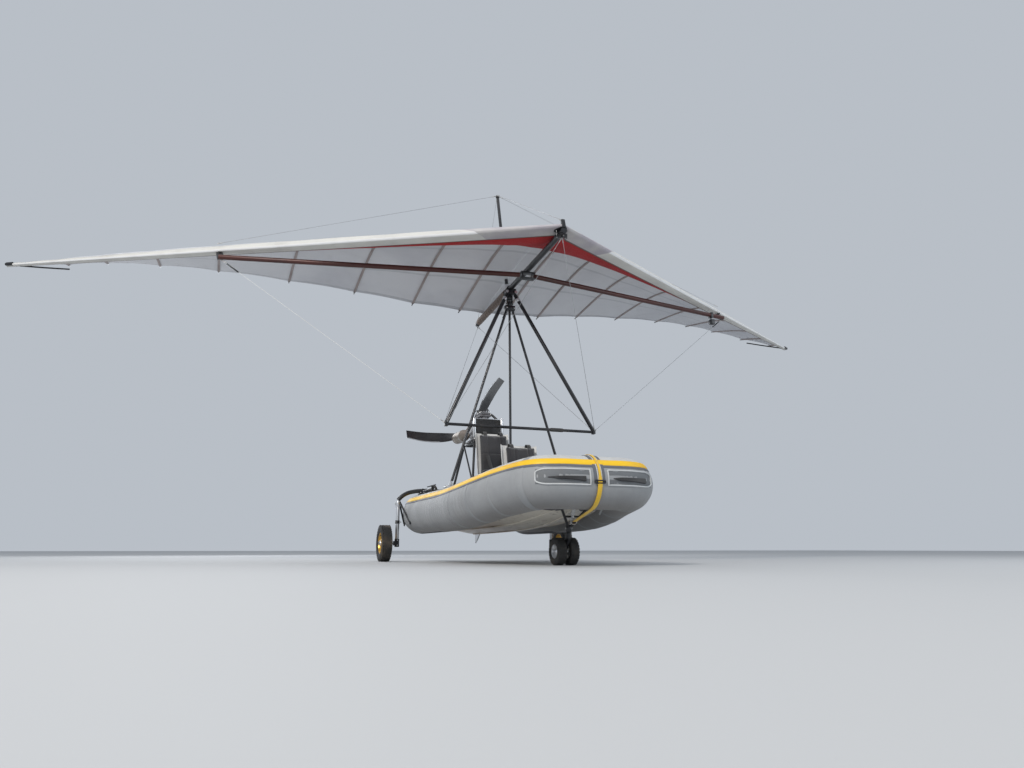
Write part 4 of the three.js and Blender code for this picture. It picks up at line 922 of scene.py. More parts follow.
@dataclass
class TubeLine:
    """Centre line of the inflated tubes, from the bow's middle aft along one side."""

    # Columns: x, y, z, radius
    rows: tuple[tuple[float, float, float, float], ...] = (
        (0.000, -2.073, 0.711, 0.232), (0.160, -2.073, 0.711, 0.232), (0.310, -2.068, 0.711, 0.232),
        (0.437, -1.970, 0.705, 0.232), (0.545, -1.550, 0.668, 0.232), (0.625, -1.180, 0.620, 0.232),
        (0.668, -0.780, 0.580, 0.232), (0.672, -0.330, 0.562, 0.232), (0.672, 0.300, 0.560, 0.232),
        (0.672, 1.100, 0.559, 0.232), (0.672, 1.300, 0.575, 0.180), (0.672, 1.460, 0.595, 0.100),
        (0.672, 1.500, 0.600, 0.060))
    steps: int = 30
    seam_row: int = 3
    line: list[tuple[Vector, float]] = field(default_factory=list)
    lengths: list[float] = field(default_factory=list)
    at_row: list[float] = field(default_factory=list)
    frames: dict[float, tuple[Vector, Vector, Vector, float]] = field(default_factory=dict)

    def __post_init__(self) -> None:
        """Samples the line; the radius rides along as a straight measure."""
        mirrored = [(-x, y, z) for x, y, z, _ in self.rows[2:0:-1]] + [row[:3] for row in self.rows]
        total = 0.0
        for i, point in enumerate(curve_through(mirrored, self.steps)[2 * self.steps:]):
            row, part = divmod(i, self.steps)
            after = self.rows[min(row + 1, len(self.rows) - 1)]
            radius = self.rows[row][3] + (after[3] - self.rows[row][3]) * part / self.steps
            total += (point - self.line[-1][0]).length if self.line else 0.0
            if part == 0:
                self.at_row.append(total)
            self.line.append((point, radius))
            self.lengths.append(total)

    def centre(self, along: float) -> tuple[Vector, float]:
        """The middle and the radius of the tube.

        Args:
            along: metres from the bow's middle; below zero is starboard.

        Returns:
            The middle and the radius.
        """
        reach = min(abs(along), self.lengths[-1] - 1e-6)
        high = bisect_right(self.lengths, reach)
        low = high - 1
        part = (reach - self.lengths[low]) / (self.lengths[high] - self.lengths[low])
        point = self.line[low][0].lerp(self.line[high][0], part)
        radius = self.line[low][1] + (self.line[high][1] - self.line[low][1]) * part
        return Vector((math.copysign(point.x, along), point.y, point.z)), radius

    def along_at(self, y: float) -> float:
        """Where the port tube passes a y, to the nearest two centimetres."""
        return min(range(60, 190), key=lambda s: abs(self.centre(s / 50)[0].y - y)) / 50

    def frame(self, along: float) -> tuple[Vector, Vector, Vector, float]:
        """The section across the tube.

        Args:
            along: metres from the bow's middle; below zero is starboard.

        Returns:
            Middle, outward, up and radius.
        """
        if along not in self.frames:
            step = 0.012
            middle, radius = self.centre(along)
            heading = (self.centre(along + step)[0] - self.centre(along - step)[0]).normalized()
            outward = heading.cross(Z).normalized()
            self.frames[along] = middle, outward, outward.cross(heading).normalized(), radius
        return self.frames[along]

    def skin(self, along: float, angle: float, lift: float = 0.0) -> Vector:
        """A point on the tube.

        Args:
            along: metres from the bow's middle.
            angle: degrees up from straight outwards.
            lift: distance off the fabric.

        Returns:
            The point.
        """
        middle, outward, up, radius = self.frame(along)
        turn = math.radians(angle)
        return middle + (outward * math.cos(turn) + up * math.sin(turn)) * (radius + lift)


TUBES = TubeLine()


@dataclass
class Tubes:
    """The inflated tubes with their seams, strake, dark strips under the tubes aft and end cones."""

    ring: int = 72
    fold: float = 0.0016             # depth of the creases along the cockpit
    fold_from: float = 1.0
    fold_to: float = 3.1
    strake: tuple[float, float] = (35.5, 52.5)
    stripe: tuple[float, float] = (28.5, 34.8)
    strake_end: float = 3.72
    # Columns: row of the line, width
    tapes: tuple[tuple[int, float], ...] = ((3, 0.05), (4, 0.035), (5, 0.035), (6, 0.035), (9, 0.045))
    loop_angle: float = 72.0         # degrees up the starboard tube, for the grab loop and the bar
    bar_angle: float = 76.0

    def skin_form(self, name: str, start: float, end: float, step: float) -> Form:
        """One tube's fabric.

        Args:
            name: the piece's name.
            start: where it starts, along the line.
            end: where it ends.
            step: length of a face.

        Returns:
            The form.
        """
        def where(u: float, w: float) -> Vector:
            """The fabric with its creases.

            Args:
                u: share along.
                w: share round.

            Returns:
                The point.
            """
            turn = math.tau * w
            along = start + (end - start) * u
            reach = abs(along)
            band = min(max((reach - self.fold_from) * 3, 0), max((self.fold_to - reach) * 2, 0), 1)
            side = max(0.0, math.cos(turn + 0.1)) ** 3
            wave = math.sin(reach * 74 + 2.2 * math.sin(reach * 9)) + 0.6 * math.sin(reach * 131 + 1.7)
            soft = noise.noise(Vector((reach * 3, math.cos(turn) * 0.8, math.sin(turn) * 0.8))) * 0.0022
            return TUBES.skin(along, 360 * w, wave * self.fold * band * side + soft)

        length = abs(end - start)
        return Form(name).surface(round(length / step), self.ring, where, True, (length, 1.0))

    def band(self, form: Form, along: float, width: float, lift: float,
             angles: tuple[float, float] = (0.0, 360.0)) -> None:
        """A tape round a tube.

        Args:
            form: the form that gets it.
            along: its middle along the line.
            width: its width.
            lift: how far it stands off.
            angles: where it starts and ends round the tube.
        """
        first, last = angles
        offsets = ((-1, 0.2), (-0.92, 1), (0.92, 1), (1, 0.2), (1, -0.8), (-1, -0.8))

        def where(u: float, w: float) -> Vector:
            """The tape's skin at a share round the tube and a share round the tape."""
            side, rise = offsets[round(w * 6) % 6]
            return TUBES.skin(along + side * width / 2, first + (last - first) * u, rise * lift)

        form.surface(round((last - first) / 5), 6, where, True)

    def strip(self, form: Form, start: float, end: float, low: float, high: float, lift: float,
              step: float = 0.03) -> None:
        """A strip along a tube.

        Args:
            form: the form that gets it.
            start: where it starts along the line.
            end: where it ends.
            low: its lower edge, in degrees.
            high: its upper edge, in degrees.
            lift: how proud it stands.
            step: length of a face.
        """
        section = ((0, -0.5), (0, 0.25), (0.12, 0.75), (0.3, 1.0), (0.7, 1.0), (0.88, 0.75), (1, 0.25),
                   (1, -0.5))

        def where(u: float, w: float) -> Vector:
            """The strip's skin at a share along and a share round it."""
            share, rise = section[round(w * 8) % 8]
            return TUBES.skin(start + (end - start) * u, low + (high - low) * share, rise * lift)

        form.surface(max(2, round(abs(end - start) / step)), 8, where, True)

    def build(self) -> None:
        """Builds the tubes and what is glued on them."""
        seam, end = TUBES.at_row[TUBES.seam_row], TUBES.lengths[-1]
        self.skin_form("bow_tube_skin", -seam, seam, 0.02).piece(FINISH.tube, "bow_tube", 60)
        tapes, dark_strips, caps = Form("tube_seam_tapes"), Form("tube_wear_strips"), Form("tube_end_caps")
        x, y, z, radius = TUBES.rows[-1]
        for side in Side:
            sign = side.value
            form = self.skin_form(f"side_tube_skin_{side.name}", sign * seam, sign * (end - 0.002), 0.014)
            form.piece(FINISH.tube, f"side_tube_{side.name}", 60)
            for row, width in self.tapes:
                self.band(tapes, sign * TUBES.at_row[row], width, 0.0016)
            # dark strips along the undersides of the tubes, aft
            self.strip(dark_strips, sign * 2.55, sign * (end - 0.45), -112, -78, 0.004, 0.05)
            caps.turned(((-0.012, radius + 0.004), (0.004, radius + 0.006), (0.014, radius - 0.004),
                         (0.02, 0.03), (0.028, 0.024), (0.028, 0.0), (-0.012, 0.0)), (sign * x, y - 0.004, z),
                        (0, 1, 0.12), 40)
        tapes.piece(FINISH.seam, angle=50)
        yellow, grey = Form("rub_strake_band"), Form("rub_strake_stripe")
        self.strip(yellow, -self.strake_end, self.strake_end, *self.strake, lift=0.0085)
        self.strip(grey, -self.strake_end, self.strake_end, *self.stripe, lift=0.004)
        yellow.piece(FINISH.strake, "rub_strake", 50)
        grey.piece(FINISH.strake_edge, angle=50)
        dark_strips.piece(FINISH.dark_patch, angle=50)
        caps.piece(FINISH.dark_patch)
        self.top_bar()

    def top_bar(self) -> None:
        """The grab loop and the short bar on top of the starboard tube, behind the strut's foot."""
        def on(y: float, angle: float, lift: float) -> Vector:
            """A point off the straight run of the starboard tube."""
            return TUBES.skin(-TUBES.along_at(y), angle, lift)

        loop, bar = Form("tube_grab_loop"), Form("tube_top_bar")
        arch = ((0.20, 0.002), (0.205, 0.030), (0.235, 0.056), (0.285, 0.060), (0.325, 0.040), (0.345, 0.004))
        line = curve_through([on(y, self.loop_angle, lift) for y, lift in arch], 6)
        loop.ribbon(line, Vector((0.95, 0, 0.3)), 0.026, 0.005)
        for y in (0.195, 0.352):
            loop.ball(on(y, self.loop_angle, 0.003), (0.030, 0.026, 0.009), 20)
        loop.piece(FINISH.hose, angle=50)
        top = self.bar_angle
        bar.pipe([on(0.33, top, 0.034), on(0.50, top, 0.036), on(0.78, top, 0.026)], 0.0085, 16)
        bar.rod(on(0.415, top - 10, 0.066), on(0.425, top + 10, 0.070), 0.0060, 16, 0.001)
        bar.rod(on(0.42, top, 0.030), on(0.42, top, 0.069), 0.0060, 16)
        bar.rod(on(0.76, top, 0.027), on(0.80, top, 0.025), 0.0150, 20, 0.002)
        for y in (0.37, 0.70):
            bar.rod(on(y, top, 0.0), on(y, top, 0.034), 0.0110, 18)
            bar.ball(on(y, top, 0.002), (0.026, 0.026, 0.008), 20)
        bar.piece(FINISH.black, angle=50)


@dataclass
class BowTrim:
    """Piped frames, black handles whose dark wedges also paint the shadow in their openings, patch and strap
    on the blunt bow.
    """

    frame_in: float = 0.085          # from the bow's middle to a frame, along the tube
    frame_out: float = 0.405
    frame_top: float = 23.0
    frame_low: float = -9.0
    pipe_r: float = 0.007
    corner: float = 0.035
    handle_x: tuple[float, float] = (0.13, 0.37)
    strap_lift: float = 0.0125

    def framed(self, form: Form, sign: int) -> None:
        """One piped rectangle with rounded outer corners.

        Args:
            form: the form that gets it.
            sign: 1 to port, -1 to starboard.
        """
        low, high, inner, outer = self.frame_low, self.frame_top, self.frame_in, self.frame_out
        turn = math.degrees(self.corner / TUBES.rows[0][3])
        arc = [math.pi / 2 * k / 6 for k in range(7)]
        path = [(inner, high), (inner, low)]
        path += [(outer - self.corner * (1 - math.sin(a)), low + turn * (1 - math.cos(a))) for a in arc]
        path += [(outer - self.corner * (1 - math.cos(a)), high - turn * (1 - math.sin(a))) for a in arc]
        dense: list[Vector] = []
        for (a0, b0), (a1, b1) in zip(path, path[1:] + path[:1]):
            parts = max(1, round(abs(a1 - a0) / 0.03) + round(abs(b1 - b0) / 6))
            dense += [TUBES.skin(sign * (a0 + (a1 - a0) * k / parts), b0 + (b1 - b0) * k / parts, 0.002)
                      for k in range(parts)]
        form.pipe(dense + dense[:1], self.pipe_r, 10, 0)

    def handle(self, form: Form, sign: int) -> None:
        """One wedge-shaped carrying handle, thin at its starboard end; its black wedge also paints the shadow
        in the handle's opening.

        Args:
            form: the form that gets it.
            sign: 1 to port, -1 to starboard.
        """
        start, end = sorted(sign * x for x in self.handle_x)
        section = ((-1, 0), (-0.8, 1), (0.8, 1), (1, 0), (1, -1), (-1, -1))

        def where(u: float, w: float) -> Vector:
            """The handle's skin.

            Args:
                u: share along.
                w: share round.

            Returns:
                The point.
            """
            side, rise = section[round(w * 6) % 6]
            thick = 0.004 + 0.018 * min(1.0, 3 * u) * (1 - 0.4 * u)
            return TUBES.skin(start + (end - start) * u, 5.0 - 2.0 * u + side * (0.8 + 5.0 * u ** 0.7),
                              rise * thick if rise > 0 else rise * 0.002)

        form.surface(16, 6, where, True)

    def build(self) -> None:
        """Builds what is glued and strapped on the bow."""
        frames, handles, patch = Form("bow_frames"), Form("bow_handles"), Form("bow_frame_patches")
        bands, pale, buckle = Form("bow_centre_patch"), Form("bow_centre_webbing"), Form("bow_strap_buckle")
        tubes = Tubes()
        for sign in (1, -1):
            self.framed(frames, sign)
            self.handle(handles, sign)
            start, end = sorted((sign * self.frame_in, sign * self.frame_out))
            tubes.strip(patch, start, end, self.frame_low, self.frame_top, 0.0012, 0.02)
            tubes.band(pale, -sign * 0.018, 0.012, 0.0066, (2.0, 126.0))
            side = -sign * 0.05
            buckle.rod(TUBES.skin(side, 0.0, 0.012), TUBES.skin(side, -5.0, 0.012), 0.006, 14)
        for along, width in ((-0.036, 0.034), (0.0, 0.03), (0.036, 0.034)):
            tubes.band(bands, along, width, 0.005, (-6.0, 128.0))
        for angle in (0.0, -5.0):
            buckle.rod(TUBES.skin(-0.05, angle, 0.012), TUBES.skin(0.05, angle, 0.012), 0.006, 14, 0.002)
        frames.piece(FINISH.piping, angle=60)
        # black rubber handles, their dark wedges also painted shadow in the openings
        handles.piece(FINISH.hose)
        patch.piece(FINISH.frame_patch, angle=50)
        bands.piece(FINISH.strake_edge, angle=50)
        pale.piece(FINISH.piping, angle=50)
        buckle.piece(FINISH.black)
        self.strap()

    def strap(self) -> None:
        """The yellow strap from the bow's top to the steering head, with its brown tail and ring."""
        low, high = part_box("nose_strap")
        foot = Vector((0.0, high.y - 0.004, low.z + 0.016))
        points = [TUBES.skin(0.0, angle, self.strap_lift) for angle in range(96, -74, -6)]
        start = points[-1].copy()
        points += [start.lerp(foot, k / 10) for k in range(1, 9)]
        widths = [0.022 if i < 15 else min(0.042, 0.022 + 0.008 * (i - 14)) for i in range(len(points))]
        Form("nose_strap_webbing").ribbon(points, X, widths, 0.0032).piece(FINISH.webbing, "nose_strap", 50)
        ring_at = start.lerp(foot, 0.84)
        loop = [ring_at + Vector((0.028 * x, 0, 0.020 * z)) for x, z in circle(20, 1.0)]
        Form("nose_strap_ring").pipe(loop + loop[:1], 0.0035, 10, 0).piece(FINISH.steel)
        tails = Form("nose_strap_tails")
        for sign in (1, -1):
            path = [ring_at + Vector((sign * 0.012, 0, -0.012)), ring_at.lerp(foot, 0.6) + X * (sign * 0.02),
                    foot + Vector((sign * 0.026, 0.01, 0.004))]
            tails.ribbon(curve_through(path, 5), Vector((1, 0.3 * sign, 0)), 0.018, 0.003)
        tails.piece(FINISH.brown_web)


@dataclass
class Hull:
    """The V-bottom with its piping, flap, floor and transom."""

    # Columns: y, half width at the chine, keel height, chine height, floor height
    rows: tuple[tuple[float, float, float, float, float], ...] = (
        (1.1297, 0.475, 0.323, 0.440, 0.505), (0.070, 0.475, 0.330, 0.440, 0.505),
        (-0.830, 0.455, 0.350, 0.455, 0.510), (-1.430, 0.380, 0.410, 0.510, 0.545),
        (-1.730, 0.260, 0.480, 0.560, 0.590), (-1.870, 0.190, 0.545, 0.592, 0.612))
    bulge: float = 0.009
    keel_soft: float = 0.0048
    # Columns: share across, share of the length, radius
    rails: tuple[tuple[float, float, float], ...] = (
        (-0.97, 0.97, 0.012), (-0.52, 0.93, 0.009), (0.52, 0.93, 0.009), (0.97, 0.97, 0.012))
    skeg: tuple[tuple[float, float], ...] = ((0.890, 0.338), (1.070, 0.334), (1.066, 0.214), (1.000, 0.250))

    def bottom(self, share: float, across: float, drop: float = 0.0) -> Vector:
        """A point on the V.

        Args:
            share: 0 at the stern, 1 at the bow.
            across: -1 at the starboard chine, 1 at the port chine.
            drop: distance below the skin.

        Returns:
            The point.
        """
        y, half, keel, chine, _ = smooth_row(self.rows, share)
        reach = abs(across)
        rise = keel + (chine - keel) * (reach * 0.86 + 0.14 * reach ** 2.2)
        rise -= self.bulge * math.sin(math.pi * reach)
        return Vector((half * across, y, rise + self.keel_soft * math.exp(-((reach / 0.06) ** 2)) - drop))

    def build(self) -> None:
        """Builds the hull."""
        def where(u: float, w: float) -> Vector:
            """Bottom from chine to chine, then up and back over the floor.

            Args:
                u: share along.
                w: share round.

            Returns:
                The point.
            """
            y, half, _, chine, floor = smooth_row(self.rows, u)
            if w <= 0.8:
                return self.bottom(u, -1 + 2 * w / 0.8)
            part = (w - 0.8) / 0.2
            if part <= 0.25:
                return Vector((half, y, chine + (floor - chine) * part / 0.25))
            if part <= 0.75:
                return Vector((half * (1 - 4 * (part - 0.25)), y, floor))
            return Vector((-half, y, floor + (chine - floor) * (part - 0.75) / 0.25))

        Form("hull_shell").surface(110, 40, where, True, (3.0, 1.0)).piece(FINISH.hull, "hull", 28)
        rails = Form("hull_spray_rails")
        for across, reach, radius in self.rails:
            rails.pipe([self.bottom(reach * k / 40, across, 0.003) for k in range(41)], radius, 10, 0)
        rails.piece(FINISH.hull, angle=60)
        line = [self.bottom(0.96 * k / 40, 0.0, 0.004) for k in range(41)]
        Form("hull_keel_strip").ribbon(line, X, 0.034, 0.009).piece(FINISH.hull)
        Form("hull_skeg").plate([(0.008, y, z) for y, z in self.skeg], X * -0.016, 0.004).piece(FINISH.metal)
        self.flap()
        self.transom()

    def flap(self) -> None:
        """The dark recessed flap under the bow with its pale piped edge."""
        corners = [Vector(p) for p in (
            (-0.47, -1.46, 0.535), (-0.285, -1.90, 0.560), (0.285, -1.90, 0.560), (0.47, -1.46, 0.535))]
        line = [a.lerp(b, k / 12) for a, b in zip(corners, corners[1:]) for k in range(12)] + corners[-1:]
        Form("bow_flap_piping").pipe([self.under_bow(p) for p in line], 0.008, 10, 0).piece(
            FINISH.piping, angle=60)

        def where(u: float, w: float) -> Vector:
            """The flap's cloth.

            Args:
                u: share across the bow.
                w: share from its edge line to its fold.

            Returns:
                The point.
            """
            x = -1 + 2 * u
            front = self.under_bow(Vector((0.285 * x, -1.895, 0.55)))
            back = Vector((0.335 * x, -1.66, 0.505 - 0.02 * (1 - x * x)))
            return front.lerp(back, w) - Z * (0.010 * math.sin(math.pi * w))

        thicken(Form("bow_flap").surface(24, 10, where).piece(FINISH.dark_patch), 0.004, -1.0)

    def under_bow(self, point: Vector) -> Vector:
        """Sets a point on the underside of the bow tube, just proud of its fabric.

        Args:
            point: a point near it.

        Returns:
            The point on the tube.
        """
        def far(along: float) -> float:
            """How far a place of the tube's line is from the point, mostly across."""
            middle = TUBES.centre(along)[0]
            return abs(middle.x - point.x) + abs(middle.y - point.y) * 0.35

        middle, outward, up, radius = TUBES.frame(min((s / 50 for s in range(-90, 91)), key=far))
        heading = outward.cross(up).normalized()
        away = point - middle
        away -= heading * away.dot(heading)
        return middle + away.normalized() * (radius + 0.004)

    def transom(self) -> None:
        """The transom board, its capping and its drain sockets."""
        low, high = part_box("transom")
        corners = ((0, 0.326), (0.475, 0.443), (0.475, high.z), (-0.475, high.z), (-0.475, 0.443))
        Form("transom_board").plate([(x, low.y, z) for x, z in corners], Y * (high.y - low.y), 0.005).piece(
            FINISH.board, "transom")
        cap, drains = Form("transom_capping"), Form("transom_drains")
        for a, b in ((-0.40, -0.29), (-0.20, 0.20), (0.29, 0.40)):
            cap.block((a, low.y - 0.006, high.z - 0.004), (b, high.y + 0.006, high.z + 0.007), 0.003)
        cap.piece(FINISH.dark_patch)
        for x in (-0.30, 0.30):
            drains.turned(((0.0, 0.030), (0.008, 0.030), (0.012, 0.026), (0.012, 0.017), (0.004, 0.015),
                           (0.004, 0.0), (0.0, 0.0)), (x, high.y - 0.001, 0.475), Y, 32)
        drains.piece(FINISH.black)


@dataclass
class WingShape:
    """The wing's surface in its own frame, whose origin is on the keel's axis above the hang bolt."""

    pivot: tuple[float, float, float] = (0.0, -0.117, 2.930)
    pitch: float = 4.43
    above: float = 0.170
    # Columns: distance from the keel, trailing edge y and z, camber
    rows: tuple[tuple[float, float, float, float], ...] = (
        (0.000, 0.960, 0.062, 0.150), (0.300, 1.000, 0.090, 0.172), (0.860, 1.200, 0.200, 0.185),
        (1.560, 1.450, 0.370, 0.165), (2.350, 1.720, 0.530, 0.140), (3.200, 1.985, 0.670, 0.110),
        (3.900, 2.185, 0.740, 0.080), (4.520, 2.365, 0.770, 0.050), (4.900, 2.130, 0.590, 0.030),
        (5.250, 1.900, 0.440, 0.012), (5.450, 1.800, 0.372, 0.004))
    corner_row: int = 7              # where the trailing edge turns forward to the tip
    hollow: float = 0.028
    billow: float = 0.010
    depth: tuple[float, float] = (0.215, 0.060)

    def __post_init__(self) -> None:
        """Works out the frame."""
        self.turn = Matrix.Rotation(-math.radians(self.pitch), 4, "X")
        self.matrix = Matrix.Translation(self.pivot) @ self.turn @ Matrix.Translation((0, 0, self.above))

    def at(self, x: float, y: float, z: float) -> Vector:
        """A point of the wing's frame, in the craft's."""
        return self.matrix @ Vector((x, y, z))

    def way(self, x: float, y: float, z: float) -> Vector:
        """A direction of the wing's frame, in the craft's."""
        return self.at(x, y, z) - self.at(0, 0, 0)

    def span(self, share: float) -> float:
        """Distance from the keel at a share of the rows, so that a grid meets every batten.

        Args:
            share: 0 at the keel, 1 at the tip.

        Returns:
            The distance, never quite zero.
        """
        spot = share * (len(self.rows) - 1)
        i = min(int(spot), len(self.rows) - 2)
        return max(0.0015, self.rows[i][0] + (self.rows[i + 1][0] - self.rows[i][0]) * (spot - i))

    def row(self, x: float) -> tuple[float, float, float, float]:
        """Trailing edge y and z, camber, and how far the place lies between two battens.

        Args:
            x: distance from the keel.

        Returns:
            The three measures and a share from 0 to 1.
        """
        last = len(self.rows) - 2
        i = next((k for k in range(last) if self.rows[k + 1][0] >= x), last)
        a, b = self.rows[i], self.rows[i + 1]
        width = b[0] - a[0]
        t = (x - a[0]) / width
        if i >= self.corner_row:
            return *(a[k] + (b[k] - a[k]) * t for k in (1, 2, 3)), t
        before = self.rows[i - 1] if i else a
        after = self.rows[i + 2] if i + 1 < self.corner_row else b
        found = []
        for k in (1, 2, 3):
            slope_a = (b[k] - before[k]) / (b[0] - before[0]) * width
            slope_b = (after[k] - a[k]) / (after[0] - a[0]) * width
            found.append((2 * t ** 3 - 3 * t ** 2 + 1) * a[k] + (t ** 3 - 2 * t ** 2 + t) * slope_a
                         + (3 * t ** 2 - 2 * t ** 3) * b[k] + (t ** 3 - t ** 2) * slope_b)
        return *found, t

    def leading(self, x: float) -> tuple[float, float]:
        """Leading edge y and z."""
        return -1.568 + 0.6065 * x, 0.0553 + 0.054 * x

    def chord(self, x: float) -> float:
        """Length from the leading to the trailing edge."""
        return self.row(x)[0] - self.leading(x)[0]

    def pocket(self, x: float) -> float:
        """Chordwise depth of the leading edge's pocket."""
        return self.depth[0] + (self.depth[1] - self.depth[0]) * x / self.rows[-1][0]

    def skin(self, side: int, x: float, t: float, drop: float = 0.0) -> Vector:
        """A point on the sail.

        Args:
            side: 1 to port, -1 to starboard.
            x: distance from the keel.
            t: 0 at the leading edge, 1 at the trailing edge.
            drop: distance below the cloth.

        Returns:
            The point.
        """
        trail_y, trail_z, camber, between = self.row(x)
        lead_y, lead_z = self.leading(x)
        slack = math.sin(math.pi * between)
        y = lead_y + (trail_y - lead_y) * t - self.hollow * slack * max(0.0, 2 * t - 1) ** 2
        z = lead_z + (trail_z - lead_z) * t + camber * math.sin(math.pi * max(t, 0.0) ** 0.66)
        z += self.billow * slack * math.sin(math.pi * min(1.0, t)) ** 0.8 if 0 < t < 1 else 0.0
        return self.at(side * x, y, z - drop)


WING = WingShape()


@dataclass
class Sail:
    """The cloth of the wing: leading edge pockets, sail halves, red panels, battens and tips."""

    thickness: float = 0.0012
    sail_flat: tuple[float, float] = (5.50, 2.80)
    panel_flat: tuple[float, float] = (0.66, 3.70)
    batten_r: float = 0.0080
    batten_out: float = 0.050
    batten_pocket: tuple[float, float] = (0.030, 0.010)
    panel_end: float = 3.080
    panel_root_y: float = -0.735
    panel_tip_y: float = 0.372
    wand: tuple[tuple[float, float, float], ...] = (
        (5.300, 1.690, 0.330), (5.090, 1.835, 0.398), (4.860, 1.975, 0.470))

    def cloth(self, form: Form, finish: Finish, side: Side, name: str, rests: Sequence[str],
              flat: tuple[float, float]) -> None:
        """Ends an open cloth as a sheet with its thickness.

        Args:
            form: the cloth's grid.
            finish: its finish.
            side: the side that it is on.
            name: start of the name of the frame's node that it stands for.
            rests: what holds it; not used.
            flat: width and length that it is cut from; not used.
        """
        if side is Side.starboard:
            bmesh.ops.reverse_faces(form.bm, faces=form.bm.faces)
        area = sum(face.calc_area() for face in form.bm.faces)
        log.info("%s: %.2f square metres", form.name, area)
        made = form.piece(finish, f"{name}_{side.name}", 40, False)
        thicken(made, self.thickness, 1.0)
        list(rests)

    def edge(self, side: Side) -> None:
        """One leading edge pocket and its tip cap.

        Args:
            side: the side that it is on.
        """
        sign = side.value

        def where(u: float, w: float) -> Vector:
            """Over the top to the nose, back below, and up the rear.

            Args:
                u: share along.
                w: share round.

            Returns:
                The point.
            """
            x = WING.span(u)
            depth = WING.pocket(x)
            share = depth / WING.chord(x)
            lead_y, lead_z = WING.leading(x)
            _, trail_z, camber, _ = WING.row(x)
            floor = 0.16 * (camber * math.sin(math.pi * share ** 0.66) + (trail_z - lead_z) * share) + 0.006
            if w <= 0.5:
                return WING.skin(sign, x, share * (1 - w / 0.5) ** 1.6)
            if w <= 0.88:
                s = ((w - 0.5) / 0.38) ** 1.6
                drop = floor * (0.85 * (1 - math.exp(-s / 0.05)) + 0.35 * math.sin(math.pi * s))
                return WING.at(sign * x, lead_y + depth * s, lead_z - drop)
            low = WING.at(sign * x, lead_y + depth, lead_z - 0.85 * floor)
            return low.lerp(WING.skin(sign, x, share), (w - 0.88) / 0.12)

        Form(f"leading_edge_cloth_{side.name}", "wing").surface(120, 50, where, True, (6.2, 1.0)).piece(
            FINISH.edge_cloth, f"leading_edge_{side.name}", 50)
        start, end = WING.at(sign * 5.380, 1.702, 0.350), WING.at(sign * 5.462, 1.752, 0.354)
        Form(f"leading_edge_cap_{side.name}", "wing").turned(
            ((0.0, 0.0), (0.0, 0.021), (0.07, 0.021), (0.088, 0.016), (0.094, 0.006), (0.094, 0.0)),
            start, end - start, 32).piece(FINISH.black)

    def sail(self, side: Side) -> None:
        """One sail half with its battens.

        Args:
            side: the side that it is on.
        """
        sign = side.value

        def where(u: float, w: float) -> Vector:
            """The single surface behind the pocket.

            Args:
                u: share along.
                w: share back.

            Returns:
                The point.
            """
            x = WING.span(u)
            start = (WING.pocket(x) - 0.012) / WING.chord(x)
            return WING.skin(sign, x, start + (1 - start) * w, -0.0008 if w < 0.02 else 0.0)

        form = Form(f"sail_cloth_{side.name}", "wing").surface(140, 30, where, run=(6.0, 1.0))
        self.cloth(form, FINISH.sail, side, "sail", (f"leading_edge_{side.name}", "keel"), self.sail_flat)
        pockets, ends = Form(f"batten_pockets_{side.name}", "wing"), Form(f"batten_ends_{side.name}", "wing")
        width, deep = self.batten_pocket
        for x, *_ in WING.rows[1:-1]:
            start = (WING.pocket(x) + 0.01) / WING.chord(x)
            shares = [start + (1 - start) * k / 24 for k in range(25)]
            line = [WING.skin(sign, x, share, deep / 2 + self.thickness) for share in shares]
            across = [WING.skin(sign, x + 0.01, share) - WING.skin(sign, x - 0.01, share) for share in shares]
            pockets.ribbon(line, across, width, deep)
            ends.bar(line[-1], (line[-1] - line[-2]).normalized(), -0.03, self.batten_out, self.batten_r, 14,
                     0.0015)
        pockets.piece(FINISH.batten, angle=60)
        ends.piece(FINISH.black)

    def panel(self, side: Side) -> None:
        """One red lower panel.

        Args:
            side: the side that it is on.
        """
        sign = side.value

        def where(u: float, w: float) -> Vector:
            """From the pocket's rear edge up to the sail.

            Args:
                u: share along.
                w: share back.

            Returns:
                The point.
            """
            x = max(0.0015, self.panel_end * u)
            depth, chord = WING.pocket(x), WING.chord(x)
            lead_y, lead_z = WING.leading(x)
            height = WING.row(x)[2] * math.sin(math.pi * (depth / chord) ** 0.66)
            front_y, front_z = lead_y + depth - 0.006, lead_z - (0.16 * height + 0.006) * 0.85
            rear_y = max(self.panel_root_y + (self.panel_tip_y - self.panel_root_y) * u,
                         lead_y + depth + 0.04)
            rear = WING.matrix.inverted() @ WING.skin(1, x, (rear_y - lead_y) / chord, 0.010)
            z = front_z + (rear.z - front_z) * w ** 1.6 - 0.018 * math.sin(math.pi * w) * (1 - w)
            return WING.at(sign * x, front_y + (rear_y - front_y) * w, z)

        form = Form(f"lower_panel_cloth_{side.name}", "wing").surface(84, 18, where, run=(3.1, 1.0))
        rests = (f"leading_edge_{side.name}", f"sail_{side.name}")
        self.cloth(form, FINISH.red, side, "lower_panel", rests, self.panel_flat)

    def build(self) -> None:
        """Builds both halves."""
        for side in Side:
            self.edge(side)
            self.sail(side)
            self.panel(side)
            line = [WING.at(side.value * x, y, z) for x, y, z in self.wand]
            Form(f"tip_wand_{side.name}", "wing").pipe(line, 0.009, 16).piece(
                FINISH.black, f"tip_rod_{side.name}", 60)


